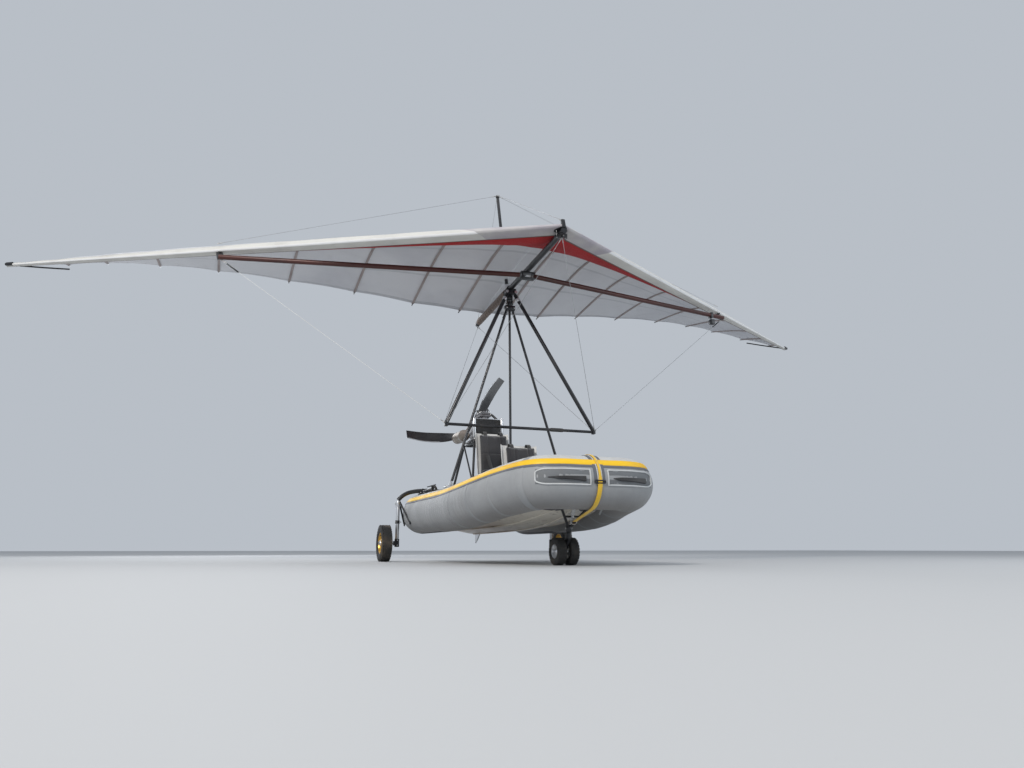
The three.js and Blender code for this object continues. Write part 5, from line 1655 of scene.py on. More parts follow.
@dataclass
class WingFrame:
    """Keel, crossbar, kingpost, control frame and the rigging between them."""

    keel_r: float = 0.031
    nose_y: float = -1.568
    tail_y: float = 1.190
    corner: tuple[float, float, float] = (0.846, -0.280, -1.712)
    apex_y: float = -0.052
    wire_r: float = 0.0022
    king_foot: tuple[float, float, float] = (0.0, 0.060, 0.020)
    king_top: tuple[float, float, float] = (0.0, 0.310, 1.370)
    king_cap: float = 1.386
    bar_start: tuple[float, float, float] = (0.0, -0.590, -0.066)
    bar_end: tuple[float, float, float] = (3.180, 0.300, 0.108)
    # Half the nose plate's outline: across, and back from the nose
    nose_plate: tuple[tuple[float, float], ...] = ((-0.070, 0.090), (-0.032, 0.006), (0.032, 0.006),
                                                   (0.070, 0.090), (0.060, 0.130), (-0.060, 0.130))
    junction: tuple[tuple[float, float, float], ...] = (
        (3.120, 0.300, 0.094), (3.195, 0.322, 0.094), (3.215, 0.428, 0.213), (3.150, 0.404, 0.213))

    def keel(self) -> None:
        """The keel tube with its fittings."""
        at, nose, along, up = WING.at, self.nose_y, WING.way(0, 1, 0), WING.way(0, 0, 1)
        front, rear = at(0, nose + 0.010, 0), at(0, self.tail_y - 0.002, 0)
        Form("keel_tube", "wing").rod(front, rear, self.keel_r, 40).piece(FINISH.black, "keel", 50)
        cap = Form("keel_end_caps", "wing")
        cap.turned(((0.0, 0.0), (0.0, 0.0335), (0.044, 0.034), (0.052, 0.030), (0.052, 0.0)),
                   at(0, self.tail_y - 0.040, 0), along, 40)
        cap.turned(((0.0, 0.0), (0.0, 0.0325), (0.022, 0.0325), (0.022, 0.0)), at(0, nose + 0.004, 0), along,
                   40)
        cap.piece(FINISH.black)
        plates, bolts = Form("nose_plates", "wing"), Form("nose_plate_bolts", "wing")
        for low, high in ((-0.040, -0.034), (0.031, 0.036)):
            plates.plate([at(x, nose + y, low) for x, y in self.nose_plate], up * (high - low), 0.0015)
        for x in (-0.045, 0.045):
            plates.bar(at(x, nose + 0.085, 0), up, -0.034, 0.031, 0.011, 20)
        plates.piece(FINISH.black)
        for x, y in ((0.0, 0.030), (-0.045, 0.085), (0.045, 0.085), (0.0, 0.105)):
            bolts.bolt(at(x, nose + y, 0), up, (-0.047, 0.043), 0.0042, 0.0078,
                       ((-0.046, -0.040), (0.037, 0.043)))
        bolts.piece(FINISH.steel)
        Form("apex_block", "wing").slab(at(0, self.apex_y, -0.039), (0.058, 0.026), -0.039, 0.030, 0.005,
                                        WING.turn).piece(FINISH.black)
        sleeve = Form("crossbar_centre", "wing")
        for z in (-0.033, 0.033):
            sleeve.slab(at(0, -0.570, -0.066) + up * z, (0.085, 0.042), -0.003, 0.003, 0.002, WING.turn)
        for x in (-0.055, 0.055):
            sleeve.bar(at(x, -0.570, 0), up, -0.104, -0.030, 0.0055, 16)
            sleeve.bar(at(x, -0.570, 0), up, -0.106, -0.100, 0.010, HEX, 0.001)
        sleeve.piece(FINISH.black)
        Form("crossbar_holdback", "wing").ribbon(
            [at(0, -0.545, -0.030), at(0, -0.30, 0.012), at(0, 0.10, 0.036)], X, 0.030, 0.003).piece(
            FINISH.black_web)

    def pocket(self) -> None:
        """The brown cloth pocket on the rear keel, with its laced ends."""
        def where(u: float, w: float) -> Vector:
            """A sleeve that hangs a little and puckers.

            Args:
                u: share along.
                w: share round.

            Returns:
                The point.
            """
            turn = math.tau * w
            pucker = 0.0014 * math.sin(u * 95 + 2 * math.sin(turn)) + 0.0008 * math.sin(turn * 5 + u * 20)
            size = self.keel_r + 0.0038 + pucker * (0.02 < u < 0.98)
            up = 1.55 if math.sin(turn) > 0 else 1.06
            return WING.at(size * math.cos(turn), 0.115 + u, size * math.sin(turn) * up)

        Form("keel_pocket", "wing").surface(78, 32, where, True).piece(FINISH.pocket, angle=50)

    def crossbar(self) -> None:
        """Both crossbar halves with their end fittings."""
        at, along = WING.at, WING.way(0, 1, 0)
        start, end = Vector(self.bar_start), Vector(self.bar_end)
        inner = start.lerp(end, 0.086 / end.x)
        for side in Side:
            sign = side.value
            Form(f"crossbar_tube_{side.name}", "wing").rod(
                at(sign * inner.x, inner.y, inner.z), at(sign * end.x, end.y, end.z), 0.027, 36, 0.002).piece(
                FINISH.brown, f"crossbar_{side.name}", 50)
            fitting = Form(f"crossbar_junction_{side.name}", "wing")
            for y in (-0.020, 0.020):
                fitting.plate([at(sign * cx, cy + y, z) for cx, cy, z in self.junction], along * 0.005, 0.001)
            for x, y, z in ((3.158, 0.308, 0.108), (3.182, 0.398, 0.196)):
                fitting.bolt(at(sign * x, y, z), along, (-0.032, 0.034), 0.0055, 0.010, [(-0.035, -0.028)])
            fitting.piece(FINISH.black)
        box, clamp = Form("crossbar_small_box", "wing"), Form("crossbar_small_box_clamp", "wing")
        spot = at(*start.lerp(end, 0.925))
        clamp.slab(spot, (0.020, 0.034), -0.036, 0.034, 0.006).bar(spot, Z, -0.030, -0.068, 0.008, 20)
        box.block(spot - Vector((0.026, 0.036, 0.128)), spot + Vector((0.040, 0.028, -0.062)), 0.010)
        clamp.piece(FINISH.black)
        box.piece(FINISH.black)

    def control(self) -> None:
        """Downtubes, base bar and their fittings."""
        at, (x, y, z) = WING.at, self.corner
        Form("base_bar_tube", "wing").rod(at(-x, y, z), at(x, y, z), 0.0155, 32).piece(
            FINISH.black, "base_bar", 50)
        names = ("base_bar_grips", "corner_fittings", "corner_bolts")
        grips, shoes, bolts = (Form(name, "wing") for name in names)
        for side in Side:
            sign = side.value
            grips.turned(((-0.075, 0.0158), (-0.072, 0.0198), (-0.050, 0.0208), (0.050, 0.0208),
                          (0.072, 0.0198), (0.075, 0.0158)), at(sign * 0.40, y, z), X, 32)
            middle = at(sign * x, y, z)
            shoes.slab(middle, (0.017, 0.024), -0.024, 0.026, 0.004, WING.turn)
            shoes.rod(middle + Vector((-sign * 0.006, 0, 0.016)),
                      middle + Vector((-sign * 0.024, 0.008, 0.058)), 0.019, 28)
            spot = at(sign * x, y, z + 0.014)
            bolts.bar(spot, X * sign, 0.021, -0.021, 0.005, 14)
            for out in (0.019, -0.019):
                bolts.bar(spot, X * sign, out, out * 1.35, 0.0085, HEX)
            top, low = at(sign * 0.052, self.apex_y, -0.080), middle + Vector((-sign * 0.011, 0.003, 0.030))
            Form(f"downtube_tube_{side.name}", "wing").rod(top, low, 0.0215, 36, 0.0015).piece(
                FINISH.black, f"downtube_{side.name}", 50)
            heads = Form(f"downtube_head_{side.name}", "wing")
            for share in (-0.027, 0.027):
                heads.bar(top + Vector((0, share, 0.03)), Y, -0.002, 0.002, 0.016)
            heads.bar(top, (low - top).normalized(), 0.05, 0.09, 0.0242, 32, 0.003)
            heads.bar(top + Z * 0.02, Y, -0.036, 0.036, 0.0055, 14)
            heads.piece(FINISH.metal)
        grips.piece(FINISH.hose)
        shoes.piece(FINISH.black)
        bolts.piece(FINISH.steel)

    def king(self) -> None:
        """The kingpost with its foot and head."""
        foot, top = WING.at(*self.king_foot), WING.at(*self.king_top)
        way = (top - foot).normalized()
        Form("kingpost_tube", "wing").rod(foot + way * 0.012, top, 0.0185, 32, 0.0015).piece(
            FINISH.black, "kingpost", 50)
        middle = WING.at(0, self.king_foot[1] - 0.004, self.keel_r + 0.006)
        Form("kingpost_foot", "wing").bar(foot, way, 0.020, 0.075, 0.0225, 28, 0.003).slab(
            middle, (0.022, 0.045), -0.006, 0.006, 0.003, WING.turn).piece(FINISH.metal)

    def swage(self, form: Form, start: Vector, end: Vector) -> None:
        """The sleeve and thimble at a wire's start.

        Args:
            form: the form that gets them.
            start: the wire's start.
            end: its other end.
        """
        way = (end - start).normalized()
        across = way.orthogonal().normalized()
        form.bar(start, way, 0.035, 0.060, 0.0046, 12, 0.001)
        loop = [start + way * (0.017 - 0.017 * a) + across * 0.0085 * b for a, b in circle(16, 1.0)]
        form.pipe(loop + loop[:1], 0.0024, 8, 0)

    def wires(self) -> list[tuple[str, str, Finish, Point, Point]]:
        """Every wire.

        Returns:
            Piece, node, finish, start and end of each.
        """
        x, y, z = self.corner
        nose, tail, cap = self.nose_y, self.tail_y, self.king_top[1]
        plan = []
        for side in Side:
            s = side.value
            finish = FINISH.pale_wire if side is Side.starboard else FINISH.wire
            plan += [("front", "wires_front", FINISH.wire, (s * x, y - 0.030, z + 0.014),
                      (0.0, nose + 0.060, -0.050)),
                     ("rear", "wires_rear", FINISH.wire, (s * (x + 0.014), y + 0.026, z + 0.014),
                      (0.0, tail - 0.020, -0.044)),
                     (f"side_{side.name}", f"wire_side_{side.name}", finish, (s * (x + 0.012), y, z + 0.010),
                      (s * 3.150, 0.305, 0.080)),
                     ("upper", "wires_upper", FINISH.wire, (s * 0.020, cap, self.king_cap),
                      (s * 3.210, 0.430, 0.320)),
                     ("upper", "wires_upper", FINISH.wire, (s * 0.007, cap - 0.020, self.king_cap),
                      (s * 0.016, nose + 0.030, 0.120))]
        return plan + [("upper", "wires_upper", FINISH.wire, (0.0, cap + 0.021, self.king_cap),
                        (0.0, tail - 0.020, 0.039))]

    def rigging(self) -> None:
        """Every main wire of the wing, with its ends and the tangs that hold it."""
        at, nose, tail = WING.at, self.nose_y, self.tail_y
        forms: dict[str, tuple[Form, str, Finish]] = {}
        swages, sleeves = Form("wire_sleeves", "wing"), Form("side_wire_sleeves", "wing")
        for name, node, finish, start, end in self.wires():
            form = forms.setdefault(name, (Form(f"wires_{name}_lines", "wing"), node, finish))[0]
            a, b = at(*start), at(*end)
            form.rod(a, b, self.wire_r, 10)
            self.swage(swages, a, b)
            self.swage(swages, b, a)
            if name.startswith("side"):
                sleeves.bar(b, (a - b).normalized(), 0.07, 0.23, 0.0075, 16, 0.002)
        for form, node, finish in forms.values():
            form.piece(finish, node, 60)
        swages.piece(FINISH.steel)
        tangs = Form("rigging_tangs", "wing")
        tangs.turned(((-0.020, 0.0), (-0.020, 0.022), (-0.014, 0.024), (0.004, 0.024), (0.010, 0.019),
                      (0.012, 0.0)),
                     at(0, self.king_top[1], self.king_cap), WING.way(0, 0, 1), 32)
        # Columns: half thickness, rounding, then the corners' y and z
        for half, edge, corners in (
                (0.0035, 0.001, ((tail - 0.036, -0.030), (tail - 0.004, -0.030), (tail - 0.012, -0.054),
                                 (tail - 0.028, -0.054))),
                (0.0035, 0.001, ((nose + 0.042, -0.038), (nose + 0.078, -0.038), (nose + 0.070, -0.060),
                                 (nose + 0.050, -0.060))),
                (0.018, 0.002, ((nose - 0.006, 0.030), (nose + 0.040, 0.030), (nose + 0.040, 0.128),
                                (nose + 0.016, 0.128)))):
            tangs.plate([at(half, y, z) for y, z in corners], X * (-2 * half), edge)
        tangs.piece(FINISH.black)
        sleeves.piece(FINISH.black)
        hang = at(0.012, nose + 0.050, -0.060)
        Form("nose_tag", "wing").ribbon(
            [hang, hang + Vector((0.004, 0.0, -0.055)), hang + Vector((0.012, 0.004, -0.110))],
            Vector((0.4, 1, 0)), 0.024, 0.0015).piece(FINISH.red)

    def build(self) -> None:
        """Builds the wing's frame."""
        for part in (self.keel, self.pocket, self.crossbar, self.control, self.king, self.rigging):
            part()


@dataclass
class HangPoint:
    """The bracket on the keel that hangs on the pylon's bolt."""

    cheek_x: float = 0.030
    cheek_t: float = 0.008
    sleeve: tuple[float, float] = (-0.014, 0.022)
    cheek: tuple[tuple[float, float], ...] = (
        (-0.012, -0.019), (-0.005, -0.0225), (0.005, -0.0225), (0.012, -0.019), (0.018, -0.008),
        (0.022, 0.150), (-0.014, 0.150), (-0.018, -0.008))

    def at(self, x: float, y: float, z: float) -> Vector:
        """A point given from the bolt, in the wing's frame."""
        return WING.at(x, y, z - WING.above)

    def cover(self, u: float, w: float) -> Vector:
        """The laced cover's skin, gathered at both ends and creased between.

        Args:
            u: share up it.
            w: share round it.

        Returns:
            The point.
        """
        turn = math.tau * w
        rise = -1 + 2 * u
        crease = 1 + 0.05 * math.sin(turn * 5 + rise * 3) + 0.03 * math.sin(turn * 11 - rise * 7)
        size = math.sqrt(max(0.0, 1 - abs(rise) ** 3)) * crease
        return self.at(0.043 * math.cos(turn) * size, 0.003 + 0.036 * math.sin(turn) * size,
                       0.082 + 0.046 * rise)

    def build(self) -> None:
        """Builds the bracket, its bolt, its wraps and its cover."""
        at, axis, above = self.at, WING.way(0, 1, 0), WING.above
        bracket, bolt = Form("hang_bracket_cheeks", "hang_bracket"), Form("hang_bolt", "hang_bracket")
        for sign in (1, -1):
            x = sign * self.cheek_x - self.cheek_t / 2
            bracket.plate([at(x, y, z) for y, z in self.cheek], X * self.cheek_t, 0.0015)
        low, high = self.sleeve
        bracket.turned(((low, 0.0315), (low, 0.040), (high, 0.040), (high, 0.0315)), at(0, 0, above), axis,
                       48)
        bracket.piece(FINISH.black, "hang_bracket")
        # Columns: start, end, radius, sides, rounding
        for row in ((-0.050, 0.052, 0.0078, 24, 0.001), (-0.046, -0.036, 0.0145, HEX, 0.0015),
                    (0.036, 0.045, 0.0145, HEX, 0.0015), (-0.0355, -0.0345, 0.017, 28),
                    (0.0345, 0.0355, 0.017, 28)):
            bolt.bar(at(0, 0, 0), X, *row)
        bolt.piece(FINISH.steel)
        wraps = Form("hang_point_wraps", "hang_bracket")
        for y, size in ((-0.030, 0.0385), (0.038, 0.0375)):
            loop = [at(a, y, above + b * (1.0 if b > 0 else 1.0 + 0.75 * (b / size) ** 2))
                    for a, b in circle(32, size)]
            wraps.ribbon(loop + loop[:1], axis, 0.024, 0.004)
        wraps.piece(FINISH.black_web)
        Form("hang_point_cover", "hang_bracket").surface(24, 48, self.cover, True).piece(
            FINISH.cover, angle=60)


@dataclass
class Pylon:
    """The struts, mast and head that carry the wing."""

    foot_x: float = 0.680
    y: float = -0.117
    top: tuple[float, float] = (0.040, 2.850)
    tube_top: float = 0.791
    strut_r: float = 0.015
    mast_foot: tuple[float, float, float] = (0.0, -0.170, 0.510)
    bolt_z: float = 2.930
    lug_r: float = 0.030

    def struts(self) -> None:
        """Both side struts with their feet on the tubes."""
        pads, bolts, patches = Form("strut_foot_plates"), Form("strut_foot_bolts"), Form("strut_foot_patches")
        along = TUBES.along_at(self.y)
        for side in Side:
            sign = side.value
            foot = Vector((sign * self.foot_x, self.y, self.tube_top + 0.010))
            top = Vector((sign * self.top[0], self.y, self.top[1] - 0.014))
            way = (top - foot).normalized()
            Form(f"pylon_strut_tube_{side.name}").rod(foot + way * 0.028, top, self.strut_r, 32).piece(
                FINISH.black, f"pylon_strut_{side.name}", 50)
            pads.slab(foot, (0.060, 0.045), -0.014, 0.0, 0.004)
            for y in (-0.019, 0.013):
                low, high = foot + Vector((0, y, -0.002)), foot + way * 0.060 + Vector((0, y, 0))
                pads.plate([low - X * 0.026, low + X * 0.026, high + X * 0.014, high - X * 0.014], Y * 0.006,
                           0.001)
            bolts.bolt(foot + way * 0.040, Y, (-0.028, 0.028), 0.0045, 0.0085,
                       ((-0.026, -0.020), (0.021, 0.027)))
            for x in (-0.044, 0.044):
                for y in (-0.030, 0.030):
                    spot = foot + Vector((x, y, 0))
                    bolts.bar(spot, Z, 0, 0.007, 0.0075, HEX, 0.001).bar(spot, Z, 0, 0.013, 0.0040, 12)
            Tubes().strip(patches, sign * (along - 0.11), sign * (along + 0.11), 58.0, 118.0, 0.003, 0.02)
        pads.piece(FINISH.metal)
        bolts.piece(FINISH.steel)
        patches.piece(FINISH.seam, angle=50)

    def build(self) -> None:
        """Builds the pylon."""
        self.struts()
        foot, top, y = Vector(self.mast_foot), Vector((0.0, self.y, self.top[1] - 0.012)), self.y
        way = (top - foot).normalized()
        Form("mast_tube").rod(foot + way * 0.020, top, 0.014, 32).piece(FINISH.black, "mast", 50)
        Form("mast_foot").slab(foot, (0.045, 0.045), -0.003, 0.007, 0.003).bar(
            foot, way, 0.004, 0.060, 0.018, 28, 0.002).piece(FINISH.metal)
        bolts = Form("mast_foot_bolts")
        for x in (-0.032, 0.032):
            for dy in (-0.032, 0.032):
                bolts.bar(foot + Vector((x, dy, 0)), Z, 0.006, 0.014, 0.0075, HEX, 0.001)
        for x in (-0.045, 0.045):
            bolts.bolt((x, y, 2.870), Y, (-0.040, 0.040), 0.0050, 0.0095, ((-0.041, -0.034), (0.034, 0.041)))
        bolts.piece(FINISH.steel)
        turns = [math.pi * k / 20 for k in range(21)]
        outline = [(-self.lug_r, 2.897), (self.lug_r, 2.897)]
        outline += [(self.lug_r * math.cos(a), self.bolt_z + self.lug_r * math.sin(a)) for a in turns]
        Form("pylon_head_block").block((-0.060, y - 0.032, 2.840), (0.060, y + 0.032, 2.900), 0.006).plate(
            [(-0.020, y + dy, z) for dy, z in outline], X * 0.040).piece(FINISH.black, "pylon_head", 40)


@dataclass
class Cushion:
    """One padded piece of a seat, from a box that cloth under pressure fills out."""

    name: str
    middle: tuple[float, float, float]
    size: tuple[float, float, float]
    lean: float = 0.0
    fill: float = 0.7
    rounding: float = 0.016
    pressure: float = 4.0
    frames: int = 20                 # of cloth simulation
    most: float = 0.014              # how far the cloth may move
    crown: float = 0.012
    channel: float = 0.007           # depth of a sewn channel

    def build(self) -> None:
        """Inflates the box, ends it as a padded piece and sews its channels."""
        form = Form(self.name)
        made = bmesh.ops.create_cube(form.bm, size=1, matrix=Matrix.Diagonal((*self.size, 1)))
        form.bevel({e for v in made["verts"] for e in v.link_edges}, self.rounding, 3)
        bmesh.ops.triangulate(form.bm, faces=form.bm.faces)
        cushion = form.piece(FINISH.cloth, angle=60)
        self.inflate(cushion)
        turn = Matrix.Rotation(math.radians(self.lean), 4, "X")
        cushion.data.transform(Matrix.Translation(self.middle) @ turn)

    def inflate(self, cushion: bpy.types.Object) -> None:
        """Remeshes the cushion and lets pressure crown it.

        Args:
            cushion: the piece.
        """
        remesh = cushion.modifiers.new("remesh", "REMESH")
        remesh.mode = "VOXEL"
        remesh.voxel_size = 0.006
        self.apply(cushion)
        before = [v.co.copy() for v in cushion.data.vertices]
        cloth = cushion.modifiers.new("cloth", "CLOTH")
        cloth.settings.use_pressure = True
        cloth.settings.uniform_pressure_force = self.pressure
        cloth.settings.effector_weights.gravity = 0.0
        for count in range(1, self.frames + 1):
            bpy.context.scene.frame_set(count)
        self.apply(cushion)
        bpy.context.scene.frame_set(1)
        half = [s / 2 for s in self.size]
        for vert, old in zip(cushion.data.vertices, before):
            move = vert.co - old
            if move.length > self.most:
                vert.co = old + move * (self.most / move.length)
            if old.z > 0:
                crown = max((1 - (old.x / half[0]) ** 2) * (1 - (old.y / half[1]) ** 2), 0.0)
                channel = min(abs(abs(old.x) - half[0] * 0.45), abs(old.y))
                vert.co.z += self.crown * crown - self.channel * math.exp(-((channel / 0.008) ** 2))
        cushion.data.shade_smooth()

    @staticmethod
    def apply(cushion: bpy.types.Object) -> None:
        """Turns the modifiers' result into the piece's own mesh.

        Args:
            cushion: the piece.
        """
        result = bpy.data.meshes.new_from_object(cushion.evaluated_get(bpy.context.evaluated_depsgraph_get()))
        old = cushion.data
        cushion.modifiers.clear()
        cushion.data = result
        result.name = old.name


@dataclass
class Cockpit:
    """Seat frame, both seats with their belts, foot bar and tank."""

    rail_x: float = 0.190
    rail_r: float = 0.013
    low_z: float = 0.785
    high_z: float = 0.901
    floor_z: float = 0.505
    posts: tuple[float, float, float] = (-0.860, -0.230, 0.390)
    shell_half: float = 0.206
    # Columns: node, then y and z of the shell's front, heel and top
    shells: tuple[tuple[str, Point, Point, Point], ...] = (
        ("pilot_seat", (-0.890, 0.802), (-0.490, 0.802), (-0.405, 1.236)),
        ("rear_seat", (-0.090, 0.917), (0.395, 0.917), (0.478, 1.486)))
    # Columns: y of the back, y and z of the seat, z of the back's top
    seated: tuple[tuple[float, float, float, float], ...] = (
        (-0.448, -0.700, 0.884, 1.238), (0.438, 0.140, 1.004, 1.488))
    bar_y: float = -1.380

    def frame_tubes(self) -> None:
        """The welded seat frame."""
        form = Form("seat_frame_tubes")
        low, high, floor, rail, size = self.low_z, self.high_z, self.floor_z, self.rail_x, self.rail_r
        for x in (rail, -rail):
            form.rod((x, -0.900, low), (x, 0.410, low), size, 24, 0.002)
            form.rod((x, -0.090, high), (x, 0.410, high), size, 24, 0.002)
            for y in self.posts:
                form.rod((x, y, floor), (x, y, low), size)
                form.rod((x, y, floor), (x, y, floor + 0.006), 0.030, 28, 0.002)
            for y in (-0.060, 0.390):
                form.rod((x, y, low), (x, y, high), size)
        for y in self.posts:
            form.rod((-rail, y, low), (rail, y, low), size)
        form.rod((-rail, 0.390, high), (rail, 0.390, high), size)
        form.piece(FINISH.black, "seat_frame", 50)

    def shell(self, node: str, front: Point, heel: Point, top: Point) -> None:
        """One moulded shell.

        Args:
            node: the frame's node that it stands for.
            front: y and z of its front edge.
            heel: y and z where the seat meets the back.
            top: y and z of its top edge.
        """
        line = curve_through([(0, front[0] + 0.002, front[1] + 0.006), (0, (front[0] + heel[0]) / 2, heel[1]),
                              (0, heel[0], heel[1] + 0.010), (0, heel[0] + 0.022, heel[1] + 0.060),
                              (0, (heel[0] + top[0]) / 2 + 0.024, (heel[1] + top[1]) / 2),
                              (0, top[0] + 0.030, top[1])],
                             8)
        last = len(line) - 1

        def where(u: float, w: float) -> Vector:
            """A bucket whose sides turn up and forward.

            Args:
                u: share along.
                w: share across.

            Returns:
                The point.
            """
            i = round(u * last)
            up = X.cross((line[min(i + 1, last)] - line[max(i - 1, 0)]).normalized())
            side = -1 + 2 * w
            lip = max(0.0, abs(side) - 0.86) / 0.14
            return line[i] + X * (self.shell_half * side) + up * (0.030 * lip ** 1.5)

        made = Form(f"{node}_shell").surface(last, 28, where).piece(FINISH.pale_cloth, node, 60, False)
        thicken(made, 0.005)

    def belts(self) -> None:
        """Shoulder and lap straps with their buckles."""
        straps, buckles = Form("seat_belts"), Form("seat_belt_buckles")
        for back, y, z, top in self.seated:
            for sign in (1, -1):
                shoulder = ((0.10, back + 0.075, top - 0.10), (0.10, back + 0.060, top + 0.004),
                            (0.10, back - 0.004, top - 0.010), (0.095, back - 0.045, (top + z) / 2 + 0.03),
                            (0.070, y + 0.10, z + 0.022), (0.030, y, z + 0.020))
                lap = ((0.205, y + 0.12, z - 0.060), (0.198, y + 0.09, z + 0.010),
                       (0.120, y + 0.03, z + 0.024), (0.030, y, z + 0.024))
                for points, across in ((shoulder, X), (lap, Vector((0, 1, 0.2)))):
                    line = curve_through([(sign * px, py, pz) for px, py, pz in points], 6)
                    straps.ribbon(line, across, 0.044, 0.0024)
            buckles.slab((0, y, z), (0.034, 0.024), 0.018, 0.036, 0.005)
        straps.piece(FINISH.black_web, angle=50)
        buckles.piece(FINISH.steel)

    def build(self) -> None:
        """Builds what stands on the floor."""
        self.frame_tubes()
        for row in self.shells:
            self.shell(*row)
        for name, middle, size, lean in (
                ("pilot_seat_cushion", (0.0, -0.690, 0.842), (0.37, 0.36, 0.050), 0.0),
                ("pilot_seat_back", (0.0, -0.478, 1.040), (0.34, 0.36, 0.046), 79.5),
                ("rear_seat_cushion", (0.0, 0.150, 0.960), (0.38, 0.43, 0.054), 0.0),
                ("rear_seat_back", (0.0, 0.408, 1.230), (0.35, 0.48, 0.048), 81.5)):
            Cushion(name, middle, size, lean).build()
        self.belts()
        bar, grips, y = Form("foot_bar_tubes"), Form("foot_bar_grips"), self.bar_y
        bar.rod((-0.300, y, 0.660), (0.300, y, 0.660), 0.013, 24, 0.002)
        bar.rod((-0.120, y, 0.600), (0.120, y, 0.600), 0.010, 20)
        for sign in (1, -1):
            bar.rod((sign * 0.120, y, 0.545), (sign * 0.120, y, 0.660), 0.013)
            grips.turned(((-0.065, 0.0132), (-0.063, 0.0175), (0.063, 0.0175), (0.065, 0.0132)),
                         (sign * 0.215, y, 0.660), X, 28)
        bar.piece(FINISH.metal, "foot_bar", 50)
        grips.piece(FINISH.hose)
        Form("fuel_tank_body").block((-0.190, 0.550, 0.5055), (0.190, 0.930, 0.758), 0.030).piece(
            FINISH.tank, "fuel_tank", 50)
        fittings = Form("fuel_tank_fittings").rod((0.10, 0.82, 0.755), (0.10, 0.82, 0.785), 0.036, 28, 0.005)
        for y in (0.640, 0.840):
            fittings.ribbon([(x, y, z) for x, z in ((-0.193, 0.512), (-0.193, 0.745), (-0.180, 0.761),
                                                    (0.180, 0.761), (0.193, 0.745), (0.193, 0.512))], Y,
                            0.026, 0.0025)
        fittings.pipe([(0.02, 0.60, 0.757), (0.02, 0.60, 0.80), (0.05, 0.62, 0.95), (0.15, 0.70, 1.20),
                       (0.17, 0.74, 1.38)], 0.0055, 12)
        fittings.piece(FINISH.hose)


